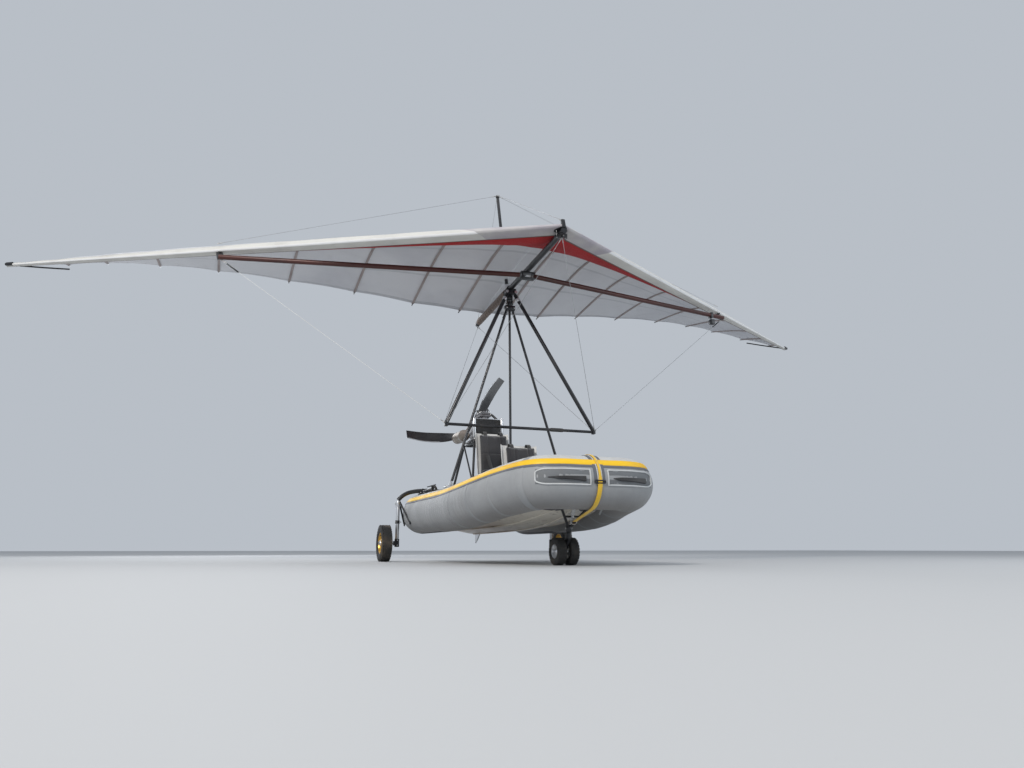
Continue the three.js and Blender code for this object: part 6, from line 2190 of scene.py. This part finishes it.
@dataclass
class Engine:
    """Bed, engine, radiator and exhaust."""

    bed_z: float = 1.400
    bed_x: float = 0.170
    crank_z: float = 1.508
    prop_y: float = 1.235
    prop_z: float = 1.580
    cylinders: tuple[float, float] = (0.782, 0.908)
    front: float = 0.720
    back: float = 0.980
    radiator_y: float = 0.629
    radiator_z: tuple[float, float] = (1.4605, 1.690)
    fins: int = 54
    exhaust_x: float = -0.265
    exhaust_z: float = 1.490

    def bed(self) -> None:
        """The bed's tubes and rubber mounts."""
        names, bed = ("engine_bed_tubes", "engine_rubber_mounts", "engine_bed_plates"), self.bed_z
        form, mounts, plates = (Form(name) for name in names)
        for sign in (1, -1):
            x = sign * self.bed_x
            form.rod((x, 0.610, bed), (x, 1.070, bed), 0.015, 28, 0.002)
            form.rod((x, 1.050, bed), (sign * 0.330, 1.144, 0.655), 0.015, 28)
            form.rod((x, 0.630, bed), (sign * 0.300, 0.320, 0.508), 0.015, 28)
            form.rod((x, 1.050, bed), (sign * 0.240, 0.470, 0.900), 0.011)
            form.rod((sign * 0.150, 0.630, bed), (sign * 0.150, 0.630, bed + 0.060), 0.010, 20)
            plates.slab((sign * 0.330, 1.144, 0), (0.045, 0.014), 0.6405, 0.6530, 0.002)
            plates.rod((sign * 0.300, 0.320, 0.5055), (sign * 0.300, 0.320, 0.512), 0.040, 28, 0.002)
            for y in (0.760, 0.940):
                mounts.turned(((-0.012, 0.0), (-0.012, 0.014), (0.012, 0.014), (0.013, 0.022), (0.026, 0.022),
                               (0.029, 0.017), (0.029, 0.0)), (sign * 0.130, y, bed), Z, 28)
        for y in (0.630, 0.760, 0.940, 1.050):
            form.rod((-self.bed_x, y, bed), (self.bed_x, y, bed), 0.012)
        form.piece(FINISH.black, "engine_bed", 50)
        mounts.piece(FINISH.hose)
        plates.piece(FINISH.metal)

    def core(self) -> None:
        """Crankcase, cylinders, head and gearbox."""
        low, front, back, crank = self.bed_z + 0.0295, self.front, self.back, self.crank_z
        case = Form("engine_case")
        case.block((-0.150, front, low), (0.150, back, low + 0.024), 0.005)
        case.turned(((0.0, 0.0), (0.0, 0.070), (0.006, 0.078), (0.252, 0.078), (0.258, 0.070), (0.258, 0.0)),
                    (0, front, crank), Y, 48)
        case.block((-0.084, front + 0.004, low + 0.018), (0.084, back - 0.004, 1.582), 0.012)
        case.turned(((0.0, 0.0), (0.0, 0.050), (0.004, 0.066), (0.020, 0.076), (0.024, 0.0)),
                    (0, front - 0.022, crank), Y, 48)
        for y in self.cylinders:
            case.turned(((0.0, 0.0), (0.0, 0.056), (0.012, 0.060), (0.150, 0.060), (0.172, 0.056),
                         (0.172, 0.0)),
                        (0, y, 1.562), Z, 40)
            # Columns: start, end, z, radius, sides, rounding
            for start, end, z, *rest in ((-0.112, -0.040, 1.650, 0.024),
                                         (-0.112, -0.103, 1.650, 0.034, 28, 0.002),
                                         (0.040, 0.072, 1.666, 0.030, 28, 0.002)):
                case.rod((start, y, z), (end, y, z), *rest)
        case.block((-0.070, front - 0.003, 1.731), (0.070, 0.972, 1.760), 0.008)
        case.block((-0.064, front + 0.004, 1.762), (0.064, 0.966, 1.789), 0.010)
        for start, end, z, *rest in (
                (0.760, 0.940, 1.792, 0.019, 28, 0.005), (0.976, 1.110, 1.520, 0.076, 44, 0.006),
                (0.976, 1.110, 1.590, 0.084, 48, 0.006),
                (1.100, self.prop_y - 0.0445, self.prop_z, 0.042, 36, 0.003)):
            case.rod((0, start, z), (0, end, z), *rest)
        case.piece(FINISH.block, "engine", 40)

    def bolted(self) -> None:
        """The bolts on the engine, and the plugs with their leads."""
        low, front = self.bed_z + 0.0295, self.front
        bolts, leads = Form("engine_bolts"), Form("engine_leads")
        for sign in (1, -1):
            for k in range(6):
                bolts.bar((sign * 0.055, front + 0.018 + k * 0.0435, 0), Z, 1.786, 1.797, 0.006, HEX, 0.0008)
            for y in (0.745, 0.955):
                bolts.bar((sign * 0.130, y, low), Z, 0.022, 0.034, 0.009, HEX, 0.001)
            for y in self.cylinders:
                a, b = Vector((sign * 0.038, y, 1.775)), Vector((sign * 0.046, y, 1.837))
                leads.rod(a, b, 0.0085, 20, 0.002)
                leads.pipe([b - Z * 0.004, b + Vector((sign * 0.006, 0.004, 0)),
                            (sign * 0.075, y + 0.030, 1.800), (sign * 0.080, 0.985, 1.700),
                            (sign * 0.060, 1.000, 1.640)], 0.0036, 10)
        # The gearbox' two rims, each without the bolts that the other covers: z, radius, way, limit
        for z, size, way, limit in ((1.590, 0.074, 1, 1.565), (1.520, 0.066, -1, 1.545)):
            for x, rise in circle(10, size):
                if way * (z + rise - limit) > 0:
                    bolts.bar((x, 1.109, z + rise), Y, 0, 0.006, 0.0055, HEX, 0.0008)
        for x, rise in circle(8, 0.058):
            bolts.bar((x, front - 0.018, self.crank_z + rise), Y, 0, -0.008, 0.0045, HEX)
        bolts.piece(FINISH.steel)
        leads.piece(FINISH.hose)

    def intake(self) -> None:
        """Carburettors and their cone filters."""
        bodies, filters = Form("carburettors"), Form("air_filters")
        profile = [(0.0, 0.0), (0.0, 0.046), (0.008, 0.049)]
        for k in range(14):
            along, size = 0.012 + k * 0.0056, 0.047 - k * 0.00055
            profile += [(along, size), (along + 0.0028, size - 0.004)]
        profile += [(0.092, 0.039), (0.098, 0.034), (0.098, 0.0)]
        for y in self.cylinders:
            bodies.rod((0.064, y, 1.666), (0.150, y, 1.666), 0.021, 28)
            bodies.rod((0.084, y, 1.666), (0.138, y, 1.666), 0.026, 28, 0.002)
            bodies.rod((0.112, y, 1.602), (0.112, y, 1.652), 0.024, 28, 0.004)
            bodies.rod((0.112, y, 1.680), (0.112, y, 1.714), 0.019, 28, 0.003)
            filters.turned(profile, (0.142, y, 1.666), X, 40)
        bodies.piece(FINISH.metal)
        filters.piece(FINISH.cloth)

    def radiator(self) -> None:
        """The core with its tubes and fins, two tanks and the hoses."""
        y, (low, high) = self.radiator_y, self.radiator_z
        core = Form("radiator_core").slab((0, y, 0), (0.160, 0.017), low + 0.008, high - 0.008, 0.001)
        for k in range(19):
            core.slab((0, y, low + 0.016 + k * 0.0109), (0.160, 0.0205), -0.0014, 0.0014, 0.0005)
        for k in range(self.fins):
            core.slab((-0.156 + k * 0.00589, y, 0), (0.0006, 0.019), low + 0.008, high - 0.008, 0)
        core.piece(FINISH.core, "radiator", 40)
        tanks = Form("radiator_tanks").rod((0.175, y, high - 0.002), (0.175, y, high + 0.016), 0.019, 28,
                                           0.003)
        for x in (0.175, -0.175):
            tanks.rod((x, y, low), (x, y, high), 0.0245, 28, 0.006)
        for z in (low + 0.004, high - 0.004):
            tanks.slab((0, y, z), (0.170, 0.022), -0.004, 0.004, 0.002)
        tanks.piece(FINISH.metal)
        hoses, clips = Form("coolant_hoses"), Form("coolant_hose_clips")
        for route in (((0.160, y + 0.020, 1.660), (0.148, 0.668, 1.672), (0.118, 0.690, 1.712),
                       (0.076, 0.722, 1.758), (0.052, 0.746, 1.764)),
                      ((-0.160, y + 0.020, 1.492), (-0.150, 0.664, 1.490), (-0.128, 0.682, 1.480),
                       (-0.072, 0.733, 1.478))):
            hoses.pipe(route, 0.0138, 20)
            for a, b in (route[1:3], route[-2:]):
                clips.bar(a, (Vector(b) - Vector(a)).normalized(), 0.004, 0.013, 0.0152, 24, 0.001)
        hoses.piece(FINISH.hose)
        clips.piece(FINISH.steel)

    def exhaust(self) -> None:
        """Headers and silencer with its hangers."""
        x, z, bed = self.exhaust_x, self.exhaust_z, self.bed_z
        form = Form("exhaust_system")
        form.pipe([(-0.112, 0.782, 1.650), (-0.150, 0.782, 1.648), (-0.185, 0.760, 1.620),
                   (-0.215, 0.720, 1.570), (-0.250, 0.712, 1.520)], 0.0235, 24)
        form.pipe([(-0.112, 0.908, 1.650), (-0.146, 0.905, 1.650), (-0.172, 0.860, 1.640),
                   (-0.186, 0.790, 1.628)],
                  0.0195, 24)
        form.turned(((0.630, 0.0), (0.630, 0.028), (0.640, 0.031), (0.738, 0.067), (0.742, 0.069),
                     (0.748, 0.068), (1.022, 0.068), (1.028, 0.069), (1.032, 0.067), (1.108, 0.026),
                     (1.112, 0.021), (1.135, 0.020), (1.135, 0.016), (1.112, 0.0)), (x, 0, z), Y, 48)
        form.piece(FINISH.burnt, "exhaust", 40)
        hanger = Form("exhaust_hanger").block((-0.262, 0.772, bed - 0.010), (-0.176, 0.792, bed + 0.010),
                                              0.002)
        for y in (0.776, 0.960):
            hanger.rod((x, y, z), (x, y + 0.014, z), 0.0705, 44, 0.001)
        corners = ((-0.275, bed), (-0.255, bed), (-0.250, 1.440), (-0.285, 1.440))
        hanger.plate([(cx, 0.775, cz) for cx, cz in corners], Y * 0.016, 0.001)
        hanger.piece(FINISH.steel)
        springs = Form("exhaust_springs")
        for y in self.cylinders:
            for side, rise in circle(3, 0.030, 0.5):
                springs.bar((-0.118, y + side, 1.650 + rise), X, 0, -0.034, 0.0042, 12)
        springs.piece(FINISH.steel)

    def build(self) -> None:
        """Builds the power unit."""
        for part in (self.bed, self.core, self.bolted, self.intake, self.radiator, self.exhaust):
            part()


@dataclass
class Propeller:
    """Hub and blades."""

    y: float = 1.235
    z: float = 1.580
    turn: float = 24.4
    # Columns: radius, chord, twist in degrees, sweep back, thickness
    rows: tuple[tuple[float, float, float, float, float], ...] = (
        (0.054, 0.064, 58, 0.000, 0.034), (0.180, 0.100, 42, -0.012, 0.024),
        (0.400, 0.140, 28, -0.022, 0.017), (0.640, 0.132, 20, 0.000, 0.012), (0.838, 0.106, 15, 0.044, 0.008),
        (0.850, 0.102, 15, 0.046, 0.006))
    guard_from: float = 0.44         # share of the blade where its edge guard starts
    guard_round: float = 0.17        # share of the section that it wraps

    def section(self, share: float, around: float, grow: float = 1.0) -> Vector:
        """A point on the upright blade.

        Args:
            share: 0 at the hub, 1 at the tip.
            around: share round the section, from the trailing edge over the back.
            grow: how thick it is, as a share.

        Returns:
            The point, from the hub's middle.
        """
        radius, chord, twist, sweep, thick = smooth_row(self.rows, share)
        angle = math.tau * around
        u = 0.5 * math.cos(angle)
        w = 0.16 * (1 - 4 * u * u) + 0.5 * math.sin(angle) * (0.62 - 0.38 * u * 2) * grow
        along, across = u * chord + sweep, w * thick
        turn = math.radians(twist)
        return Vector((along * math.cos(turn) - across * math.sin(turn),
                       along * math.sin(turn) + across * math.cos(turn), radius))

    def guard(self, u: float, w: float) -> Vector:
        """A thin guard wrapped round the leading edge.

        Args:
            u: share along it.
            w: share across it.

        Returns:
            The point, from the hub's middle.
        """
        share, around = self.guard_from + (1 - self.guard_from) * u, 0.5 + (w - 0.5) * self.guard_round
        spot = self.section(share, around)
        out = spot - self.section(share, around, 0.9)
        return spot + (out.normalized() * 0.0007 if out.length > 1e-6 else Vector())

    def build(self) -> None:
        """Builds the hub and the three blades."""
        middle = Vector((0, self.y, self.z))
        for number in range(3):
            angle = math.radians(self.turn) + math.tau * number / 3
            turn = Matrix.Translation(middle) @ Matrix.Rotation(angle, 4, "Y")
            Form(f"propeller_blade_skin_{number + 1}", "propeller").surface(
                60, 32, lambda u, w, turn=turn: turn @ self.section(u, w), True).piece(
                FINISH.blade, f"propeller_blade_{number + 1}", 50)
            thicken(Form(f"propeller_blade_edge_{number + 1}", "propeller").surface(
                36, 12, lambda u, w, turn=turn: turn @ self.guard(u, w)).piece(
                FINISH.blade_edge, angle=60, recalculate=False), 0.0012)
        hub, bolts = Form("propeller_hub_plates", "propeller"), Form("propeller_hub_bolts", "propeller")
        hub.turned(((-0.0445, 0.0), (-0.0445, 0.052), (-0.040, 0.056), (-0.014, 0.056), (-0.012, 0.050),
                    (0.012, 0.050), (0.014, 0.056), (0.026, 0.056), (0.031, 0.052), (0.031, 0.034),
                    (0.058, 0.031), (0.062, 0.026), (0.062, 0.0)), middle, Y, 56)
        hub.piece(FINISH.black, "propeller_hub", 40)
        for x, z in circle(6, 0.043, 0.25):
            spot = middle + Vector((x, 0.030, z))
            bolts.bar(spot, Y, 0, 0.007, 0.0070, HEX, 0.001).bar(spot, Y, 0, 0.013, 0.0038, 12)
        bolts.piece(FINISH.steel)


@dataclass
class Wheel:
    """A tyre on its rim, turned about its axle."""

    name: str
    body: str
    middle: tuple[float, float, float]
    radius: float
    width: float
    bead: float
    rim_width: float
    hub_width: float
    bore: float
    blocks: int                      # tread blocks round the tyre
    tread: float = 0.004
    wall: float = 0.72               # half width at the bead, as a share

    def tyre(self, node: str) -> None:
        """The tyre with its ribs and shoulder blocks.

        Args:
            node: the frame's node that it stands for.
        """
        half, bead, outer, top = self.width / 2, self.bead, self.radius - self.tread, self.radius - 0.0008
        side = [(x * half, bead + rise * (outer - bead)) for x, rise in (
            (self.wall, 0), (0.84, 0.07), (0.86, 0.10), (0.97, 0.27), (1.0, 0.45), (0.98, 0.66), (0.90, 0.83),
            (0.74, 0.95), (0.50, 0.99))]
        crown = [((rib + x) * half, r) for rib in (-0.42, -0.15, 0.15, 0.42)
                 for x, r in ((-0.10, outer), (-0.085, top), (0.085, top), (0.10, outer))]
        form = Form(f"{self.name}_tyre_tread", self.body)
        form.turned([(-x, r) for x, r in side] + crown + side[::-1], self.middle, X, 72)
        size = Vector((half * 0.15, self.tread * 0.9, math.pi * self.radius / self.blocks * 0.66))
        for k in range(self.blocks):
            for sign in (1, -1):
                angle = math.tau * (k + 0.25 * sign) / self.blocks
                spot = Vector(self.middle) + Vector((
                    sign * half * 0.74, math.cos(angle) * (outer - 0.003), math.sin(angle) * (outer - 0.003)))
                turn = Matrix.Rotation(angle, 4, "X") @ Matrix.Rotation(sign * 0.42, 4, "Z")
                form.block(spot - size, spot + size, 0.001, turn)
        form.piece(FINISH.rubber, node, 35)

    def rim(self, form: Form) -> None:
        """One rim's turned body.

        Args:
            form: the form that gets it.
        """
        half, bead, hub, bore = self.rim_width / 2, self.bead, self.hub_width / 2, self.bore
        web = bead - bore
        side = [(half + 0.002, bead + 0.004), (half + 0.0045, bead + 0.001), (half + 0.003, bead - 0.003),
                (half - 0.003, bead - 0.05 * web), (half * 0.66, bead - 0.10 * web),
                (half * 0.40, bead - 0.20 * web), (half * 0.34, bead - 0.30 * web),
                (half * 0.46, bead - 0.50 * web), (hub - 0.010, bore + 0.24 * web),
                (hub - 0.004, bore + 0.17 * web), (hub, bore + 0.15 * web), (hub, bore)]
        form.turned([(-x, r) for x, r in reversed(side)] + side, self.middle, X, 64)

    def bolts(self, form: Form, count: int, ring: float, out: float, size: float) -> None:
        """A ring of bolts through the rim.

        Args:
            form: the form that gets them.
            count: how many there are.
            ring: radius of their ring.
            out: how far their nuts stand out from the wheel's middle.
            size: radius of a nut.
        """
        for y, z in circle(count, ring, 0.3):
            spot, end = Vector(self.middle) + Vector((0, y, z)), out + size * 0.6
            form.bar(spot, X, -out, out, size, HEX, size * 0.15).bar(spot, X, -end, end, size * 0.5, 12)


@dataclass
class MainGear:
    """The beam over the tubes, the legs with their braces, and the main wheels."""

    y: float = 1.023
    leg_x: float = 0.990
    leg_r: float = 0.023
    leg_top: float = 0.706
    axle_z: float = 0.211
    wheel_x: float = 1.140
    beam_r: float = 0.025
    # Half the beam: x and z
    beam_line: tuple[tuple[float, float], ...] = (
        (0.600, 0.830), (0.720, 0.830), (0.800, 0.820), (0.880, 0.799), (0.945, 0.760), (0.990, 0.715))
    pad_x: float = 0.672

    def beam(self) -> None:
        """The beam with its pads and the legs' braces."""
        y = self.y
        form, pads, bolts = Form("gear_beam_tube"), Form("gear_beam_pads"), Form("gear_beam_bolts")
        form.pipe([(-x, y, z) for x, z in reversed(self.beam_line)] + [(x, y, z) for x, z in self.beam_line],
                  self.beam_r, 28, 4)
        for sign in (1, -1):
            pad = (sign * self.pad_x, y, 0)
            pads.slab(pad, (0.068, 0.049), 0.778, 0.806, 0.004)
            for start, end in ((-0.036, -0.006), (0.006, 0.036)):
                pads.bar((sign * self.pad_x, y, 0.830), X, start, end, 0.0295, 32, 0.002)
            for dx in (-0.052, 0.052):
                for dy in (-0.035, 0.035):
                    bolts.bar(Vector(pad) + Vector((dx, dy, 0)), Z, 0.804, 0.812, 0.008, HEX, 0.001)
            for x, foot_y, z, dy in ((0.884, 0.846, 0.454, -0.006), (0.880, 1.154, 0.444, 0.006)):
                form.rod((sign * 0.978, y + dy, self.leg_top), (sign * x, foot_y, z), 0.011, 20)
                pads.ball((sign * (x - 0.004), foot_y, z), (0.010, 0.034, 0.034))
        form.piece(FINISH.black, "gear_beam", 50)
        pads.piece(FINISH.black, angle=50)
        bolts.piece(FINISH.steel)

    def leg(self, side: Side) -> None:
        """One leg with its clamps and stub axle.

        Args:
            side: the side that it is on.
        """
        foot, out, axle = Vector((side.value * self.leg_x, self.y, 0)), X * side.value, self.axle_z
        tube, dark, bolts = (Form(f"gear_leg_{part}_{side.name}") for part in ("tube", "clamps", "bolts"))
        tube.bar(foot, Z, 0.250, self.leg_top, self.leg_r - 0.001, 36, 0.001)
        tube.bar(foot, Z, 0.640, 0.700, 0.0285, 36, 0.003)
        tube.bar(foot + Z * axle, out, 0.010, 0.219, 0.0118, 28, 0.001)
        tube.piece(FINISH.metal, f"gear_leg_{side.name}", 40)
        dark.bar(foot, Z, 0.438, 0.476, 0.0275, 32, 0.003)
        dark.slab(foot - Y * 0.032, (0.010, 0.012), 0.440, 0.474, 0.003)
        dark.bar(foot, Z, 0.168, 0.262, 0.0275, 32, 0.004)
        dark.slab(foot + out * 0.022, (0.022, 0.026), axle - 0.026, axle + 0.026, 0.006)
        dark.bar(foot + Z * axle, out, 0.072, 0.094, 0.0175, 28, 0.002)
        dark.piece(FINISH.black)
        ends = ((-0.036, -0.030), (0.030, 0.036))
        for z, y in ((0.456, -0.034), (0.670, 0.0)):
            bolts.bolt(foot + Vector((0, y, z)), X, (-0.034, 0.034), 0.0045, 0.0085, ends)
        for z in (0.188, 0.246):
            bolts.bolt(foot + Z * z, Y, (-0.034, 0.034), 0.0045, 0.0080, ends)
        bolts.bar(foot + Z * axle, out, 0.209, 0.219, 0.0175, HEX, 0.0015)
        bolts.piece(FINISH.steel)

    def wheel(self, side: Side) -> None:
        """One main wheel with its hub and valve.

        Args:
            side: the side that it is on.
        """
        name, out = side.name, side.value
        wheel = Wheel(f"main_{name}", f"main_wheel_{name}", (out * self.wheel_x, self.y, self.axle_z), 0.211,
                      0.125, 0.118, 0.088, 0.104, 0.0125, 34)
        wheel.tyre(f"main_tyre_{name}")
        rim, hub, valve = (Form(f"main_{part}_{name}", wheel.body) for part in ("rim_body", "hub", "valve"))
        wheel.rim(rim)
        rim.piece(FINISH.gold, f"main_rim_{name}", 30)
        wheel.bolts(hub, 6, 0.068, 0.0185, 0.0075)
        cap = ((0.040, 0.014), (0.040, 0.034), (0.046, 0.034), (0.054, 0.030), (0.0555, 0.026),
               (0.0555, 0.014))
        for sign in (1, -1):
            hub.turned([(sign * x, r) for x, r in cap], wheel.middle, X, 40)
        hub.piece(FINISH.metal)
        spot = Vector(wheel.middle) + Vector((out * 0.020, 0.0, 0.094))
        valve.rod(spot, spot + Vector((out * 0.034, 0, -0.008)), 0.0038, 14, 0.0005)
        valve.rod(spot + Vector((out * 0.026, 0, -0.006)), spot + Vector((out * 0.037, 0, -0.0087)), 0.0050,
                  14, 0.0008)
        valve.piece(FINISH.hose)

    def build(self) -> None:
        """Builds the main gear."""
        self.beam()
        for side in Side:
            self.leg(side)
            self.wheel(side)


@dataclass
class NoseGear:
    """The frame under the bow with its shock, the steered fork and the twin nose wheels."""

    steer_y: float = -1.665
    bracket: tuple[float, float, float] = (0.149, -1.815, 0.535)
    arm_end: tuple[float, float, float] = (0.010, -1.678, 0.340)
    tie: tuple[float, float, float] = (0.078, -1.740, 0.432)
    axle: tuple[float, float] = (-1.557, 0.125)
    wheel_x: float = 0.063
    shock_top: tuple[float, float, float] = (0.0, -1.810, 0.545)
    shock_low: tuple[float, float, float] = (0.0, -1.701, 0.368)
    # From the bracket's pin: back and up
    cheek: tuple[tuple[float, float], ...] = (
        (-0.028, 0.040), (0.028, 0.040), (0.020, -0.006), (0.006, -0.016), (-0.006, -0.016), (-0.020, -0.006))
    knuckle: tuple[tuple[float, float], ...] = (
        (-1.689, 0.290), (-1.641, 0.290), (-1.600, 0.244), (-1.540, 0.172), (-1.528, 0.146), (-1.528, 0.110),
        (-1.542, 0.098), (-1.570, 0.098), (-1.590, 0.118), (-1.640, 0.180), (-1.682, 0.226), (-1.689, 0.240))

    def frame(self) -> None:
        """Brackets, arms, tie bar and steering head."""
        form, bolts = Form("nose_frame_tubes"), Form("nose_frame_bolts")
        (x, y, z), (end_x, *end), (tie_x, *tie) = self.bracket, self.arm_end, self.tie
        for sign in (1, -1):
            pin = Vector((sign * x, y, z))
            for off in (-0.020, 0.014):
                form.plate([pin + Vector((off, dy, dz)) for dy, dz in self.cheek], X * 0.006, 0.001)
            form.slab(pin, (0.024, 0.030), 0.036, 0.044, 0.002)
            form.rod(pin, (sign * end_x, *end), 0.0125).bar(pin, X, -0.013, 0.013, 0.016, 24, 0.002)
            bolts.bolt(pin, X, (-0.028, 0.028), 0.0048, 0.0092, ((-0.029, -0.022), (0.022, 0.029)))
        form.rod((-tie_x, *tie), self.tie, 0.0088, 20)
        form.turned(((0.0, 0.0125), (0.0, 0.027), (0.003, 0.029), (0.057, 0.029), (0.060, 0.027),
                     (0.060, 0.0125)),
                    (0, self.steer_y, 0.300), Z, 44)
        form.plate([(-0.060, -1.756, 0.414), (-0.086, -1.752, 0.452), (-0.052, -1.712, 0.402),
                    (-0.030, -1.704, 0.372)], (-0.006, 0.002, 0), 0.001)
        form.piece(FINISH.black, "nose_frame", 45)
        for low, high in ((-0.034, -0.027), (0.027, 0.034)):
            bolts.bar((0, self.steer_y, 0.330), X, low, high, 0.0075, HEX, 0.001)
        bolts.piece(FINISH.steel)

    def shock(self) -> None:
        """The shock from the hull to the frame."""
        top, low = Vector(self.shock_top), Vector(self.shock_low)
        way = (low - top).normalized()
        half, eye = top.lerp(low, 0.50), top.lerp(low, 0.642)
        Form("nose_shock_body").rod(top, half, 0.0168, 32, 0.002).rod(half, eye, 0.0090).piece(
            FINISH.piping, "nose_shock", 40)
        ends = Form("nose_shock_ends")
        for share in (0.06, 0.30, 0.47):
            ends.bar(top.lerp(low, share), way, 0, 0.008, 0.0185, 32, 0.0015)
        ends.bar(eye, X, -0.014, 0.014, 0.0150, 28, 0.002)
        ends.rod(eye, low, 0.0085, 20)
        ends.piece(FINISH.metal)

    def fork(self) -> None:
        """The steered knuckle and its pin."""
        form, nut = Form("nose_fork_plate", "nose_fork"), Form("nose_fork_nut", "nose_fork")
        form.plate([(0.012, y, z) for y, z in self.knuckle], X * -0.024, 0.003)
        form.turned(((0.0, 0.0), (0.0, 0.022), (0.004, 0.026), (0.034, 0.026), (0.0370, 0.024),
                     (0.0370, 0.0115), (0.052, 0.0115), (0.096, 0.0115), (0.096, 0.0)),
                    (0, self.steer_y, 0.262), Z, 40)
        for off in (0.012, -0.016):
            form.bar((0, *self.axle), X, off, off + 0.004, 0.024, 32, 0.001)
        form.piece(FINISH.black, "nose_fork")
        nut.bar((0, self.steer_y, 0), Z, 0.3605, 0.369, 0.0185, HEX, 0.0015)
        nut.bar((0, self.steer_y, 0), Z, 0.350, 0.374, 0.0085, 20, 0.001)
        nut.piece(FINISH.steel)

    def build(self) -> None:
        """Builds the nose gear."""
        self.frame()
        self.shock()
        self.fork()
        hubs, bolts = Form("nose_hub_bodies", "nose_wheels"), Form("nose_hub_bolts", "nose_wheels")
        for side in Side:
            wheel = Wheel(f"nose_{side.name}", "nose_wheels", (side.value * self.wheel_x, *self.axle), 0.125,
                          0.088, 0.062, 0.062, 0.076, 0.0076, 26, 0.003)
            wheel.tyre(f"nose_tyre_{side.name}")
            wheel.rim(hubs)
            wheel.bolts(bolts, 5, 0.036, 0.0115, 0.005)
        for low, high, *rest in ((-0.119, 0.119, 0.0079, 24, 0.001), (0.102, 0.112, 0.0160, HEX, 0.0015),
                                 (-0.112, -0.102, 0.0160, HEX, 0.0015)):
            hubs.bar((0, *self.axle), X, low, high, *rest)
        hubs.piece(FINISH.metal, "nose_wheel_hubs", 35)
        bolts.piece(FINISH.steel)


@dataclass
class Studio:
    """Floor, light and the camera at floor level."""

    floor_size: float = 90.0
    azimuth: float = -20.6
    eye_height: float = 0.15
    distance: float = 9.0
    lens: float = 27.4
    aim: tuple[float, float, float] = (0.15, 0.20, 2.05)
    sky: Colour = (0.78, 0.84, 0.92)
    sky_strength: float = 0.62

    def place(self, name: str, data: bpy.types.ID) -> bpy.types.Object:
        """Puts an object into the scene.

        Args:
            name: its name.
            data: its mesh, lamp or camera.

        Returns:
            The object.
        """
        made = bpy.data.objects.new(name, data)
        bpy.context.scene.collection.objects.link(made)
        return made

    def floor(self) -> None:
        """A pale plain floor."""
        form = bmesh.new()
        bmesh.ops.create_grid(form, x_segments=1, y_segments=1, size=self.floor_size / 2)
        mesh = bpy.data.meshes.new("studio_floor")
        form.to_mesh(mesh)
        form.free()
        graph = Graph("studio_floor")
        colour = graph.mix(graph.noise(0.4, 2.0) * 0.25, (0.50, 0.51, 0.52), (0.46, 0.47, 0.48))
        Finish.end(graph, graph.node("ShaderNodeBsdfPrincipled",
                                     inputs={"Base Color": colour, "Roughness": 0.8}))
        mesh.materials.append(graph.material)
        self.place("studio_floor", mesh)

    def light(self, name: str, spot: Point, target: Point, size: float, power: float, colour: Colour) -> None:
        """One soft lamp.

        Args:
            name: its name.
            spot: where it stands.
            target: what it faces.
            size: side of its square.
            power: watts.
            colour: its colour.
        """
        lamp = bpy.data.lights.new(name, "AREA")
        lamp.shape, lamp.size, lamp.energy, lamp.color = "SQUARE", size, power, colour
        made = self.place(name, lamp)
        made.location = spot
        made.rotation_euler = (Vector(target) - Vector(spot)).to_track_quat("-Z", "Y").to_euler()

    def build(self) -> None:
        """Sets floor, lights, sky and camera."""
        self.floor()
        self.light("key_light", (-12.0, -11.0, 12.0), (0, 0, 1.5), 4.0, 2100, (1.0, 0.96, 0.91))
        self.light("fill_light", (9.0, -7.0, 4.0), (0, 0, 1.5), 7.0, 300, (0.90, 0.95, 1.0))
        self.light("top_light", (0.0, 2.0, 12.0), (0, 0, 0), 10.0, 220, (1.0, 1.0, 1.0))
        self.light("rear_light", (-3.0, 10.0, 5.0), (0, 0, 1.5), 6.0, 260, (0.95, 0.97, 1.0))
        scene, world = bpy.context.scene, bpy.data.worlds.new("studio_sky")
        world.use_nodes = True
        back = world.node_tree.nodes["Background"]
        back.inputs["Color"].default_value = (*self.sky, 1)
        back.inputs["Strength"].default_value = self.sky_strength
        scene.world = world
        camera = bpy.data.cameras.new("camera")
        camera.lens, camera.clip_end = self.lens, 400
        made = self.place("camera", camera)
        angle, aim = math.radians(self.azimuth), Vector(self.aim)
        made.location = (aim.x + math.sin(angle) * self.distance, aim.y - math.cos(angle) * self.distance,
                         self.eye_height)
        made.rotation_euler = (aim - made.location).to_track_quat("-Z", "Y").to_euler()
        scene.camera = made
        scene.view_settings.view_transform = "Standard"


def main() -> None:
    """Builds the craft in order."""
    logging.basicConfig(level=logging.INFO, format="%(message)s")
    for part in (Studio(), Tubes(), BowTrim(), Hull(), HangPoint(), Sail(), WingFrame(), Pylon(), Cockpit(),
                 Engine(), Propeller(), MainGear(), NoseGear()):
        part.build()


if __name__ == "__main__":
    main()
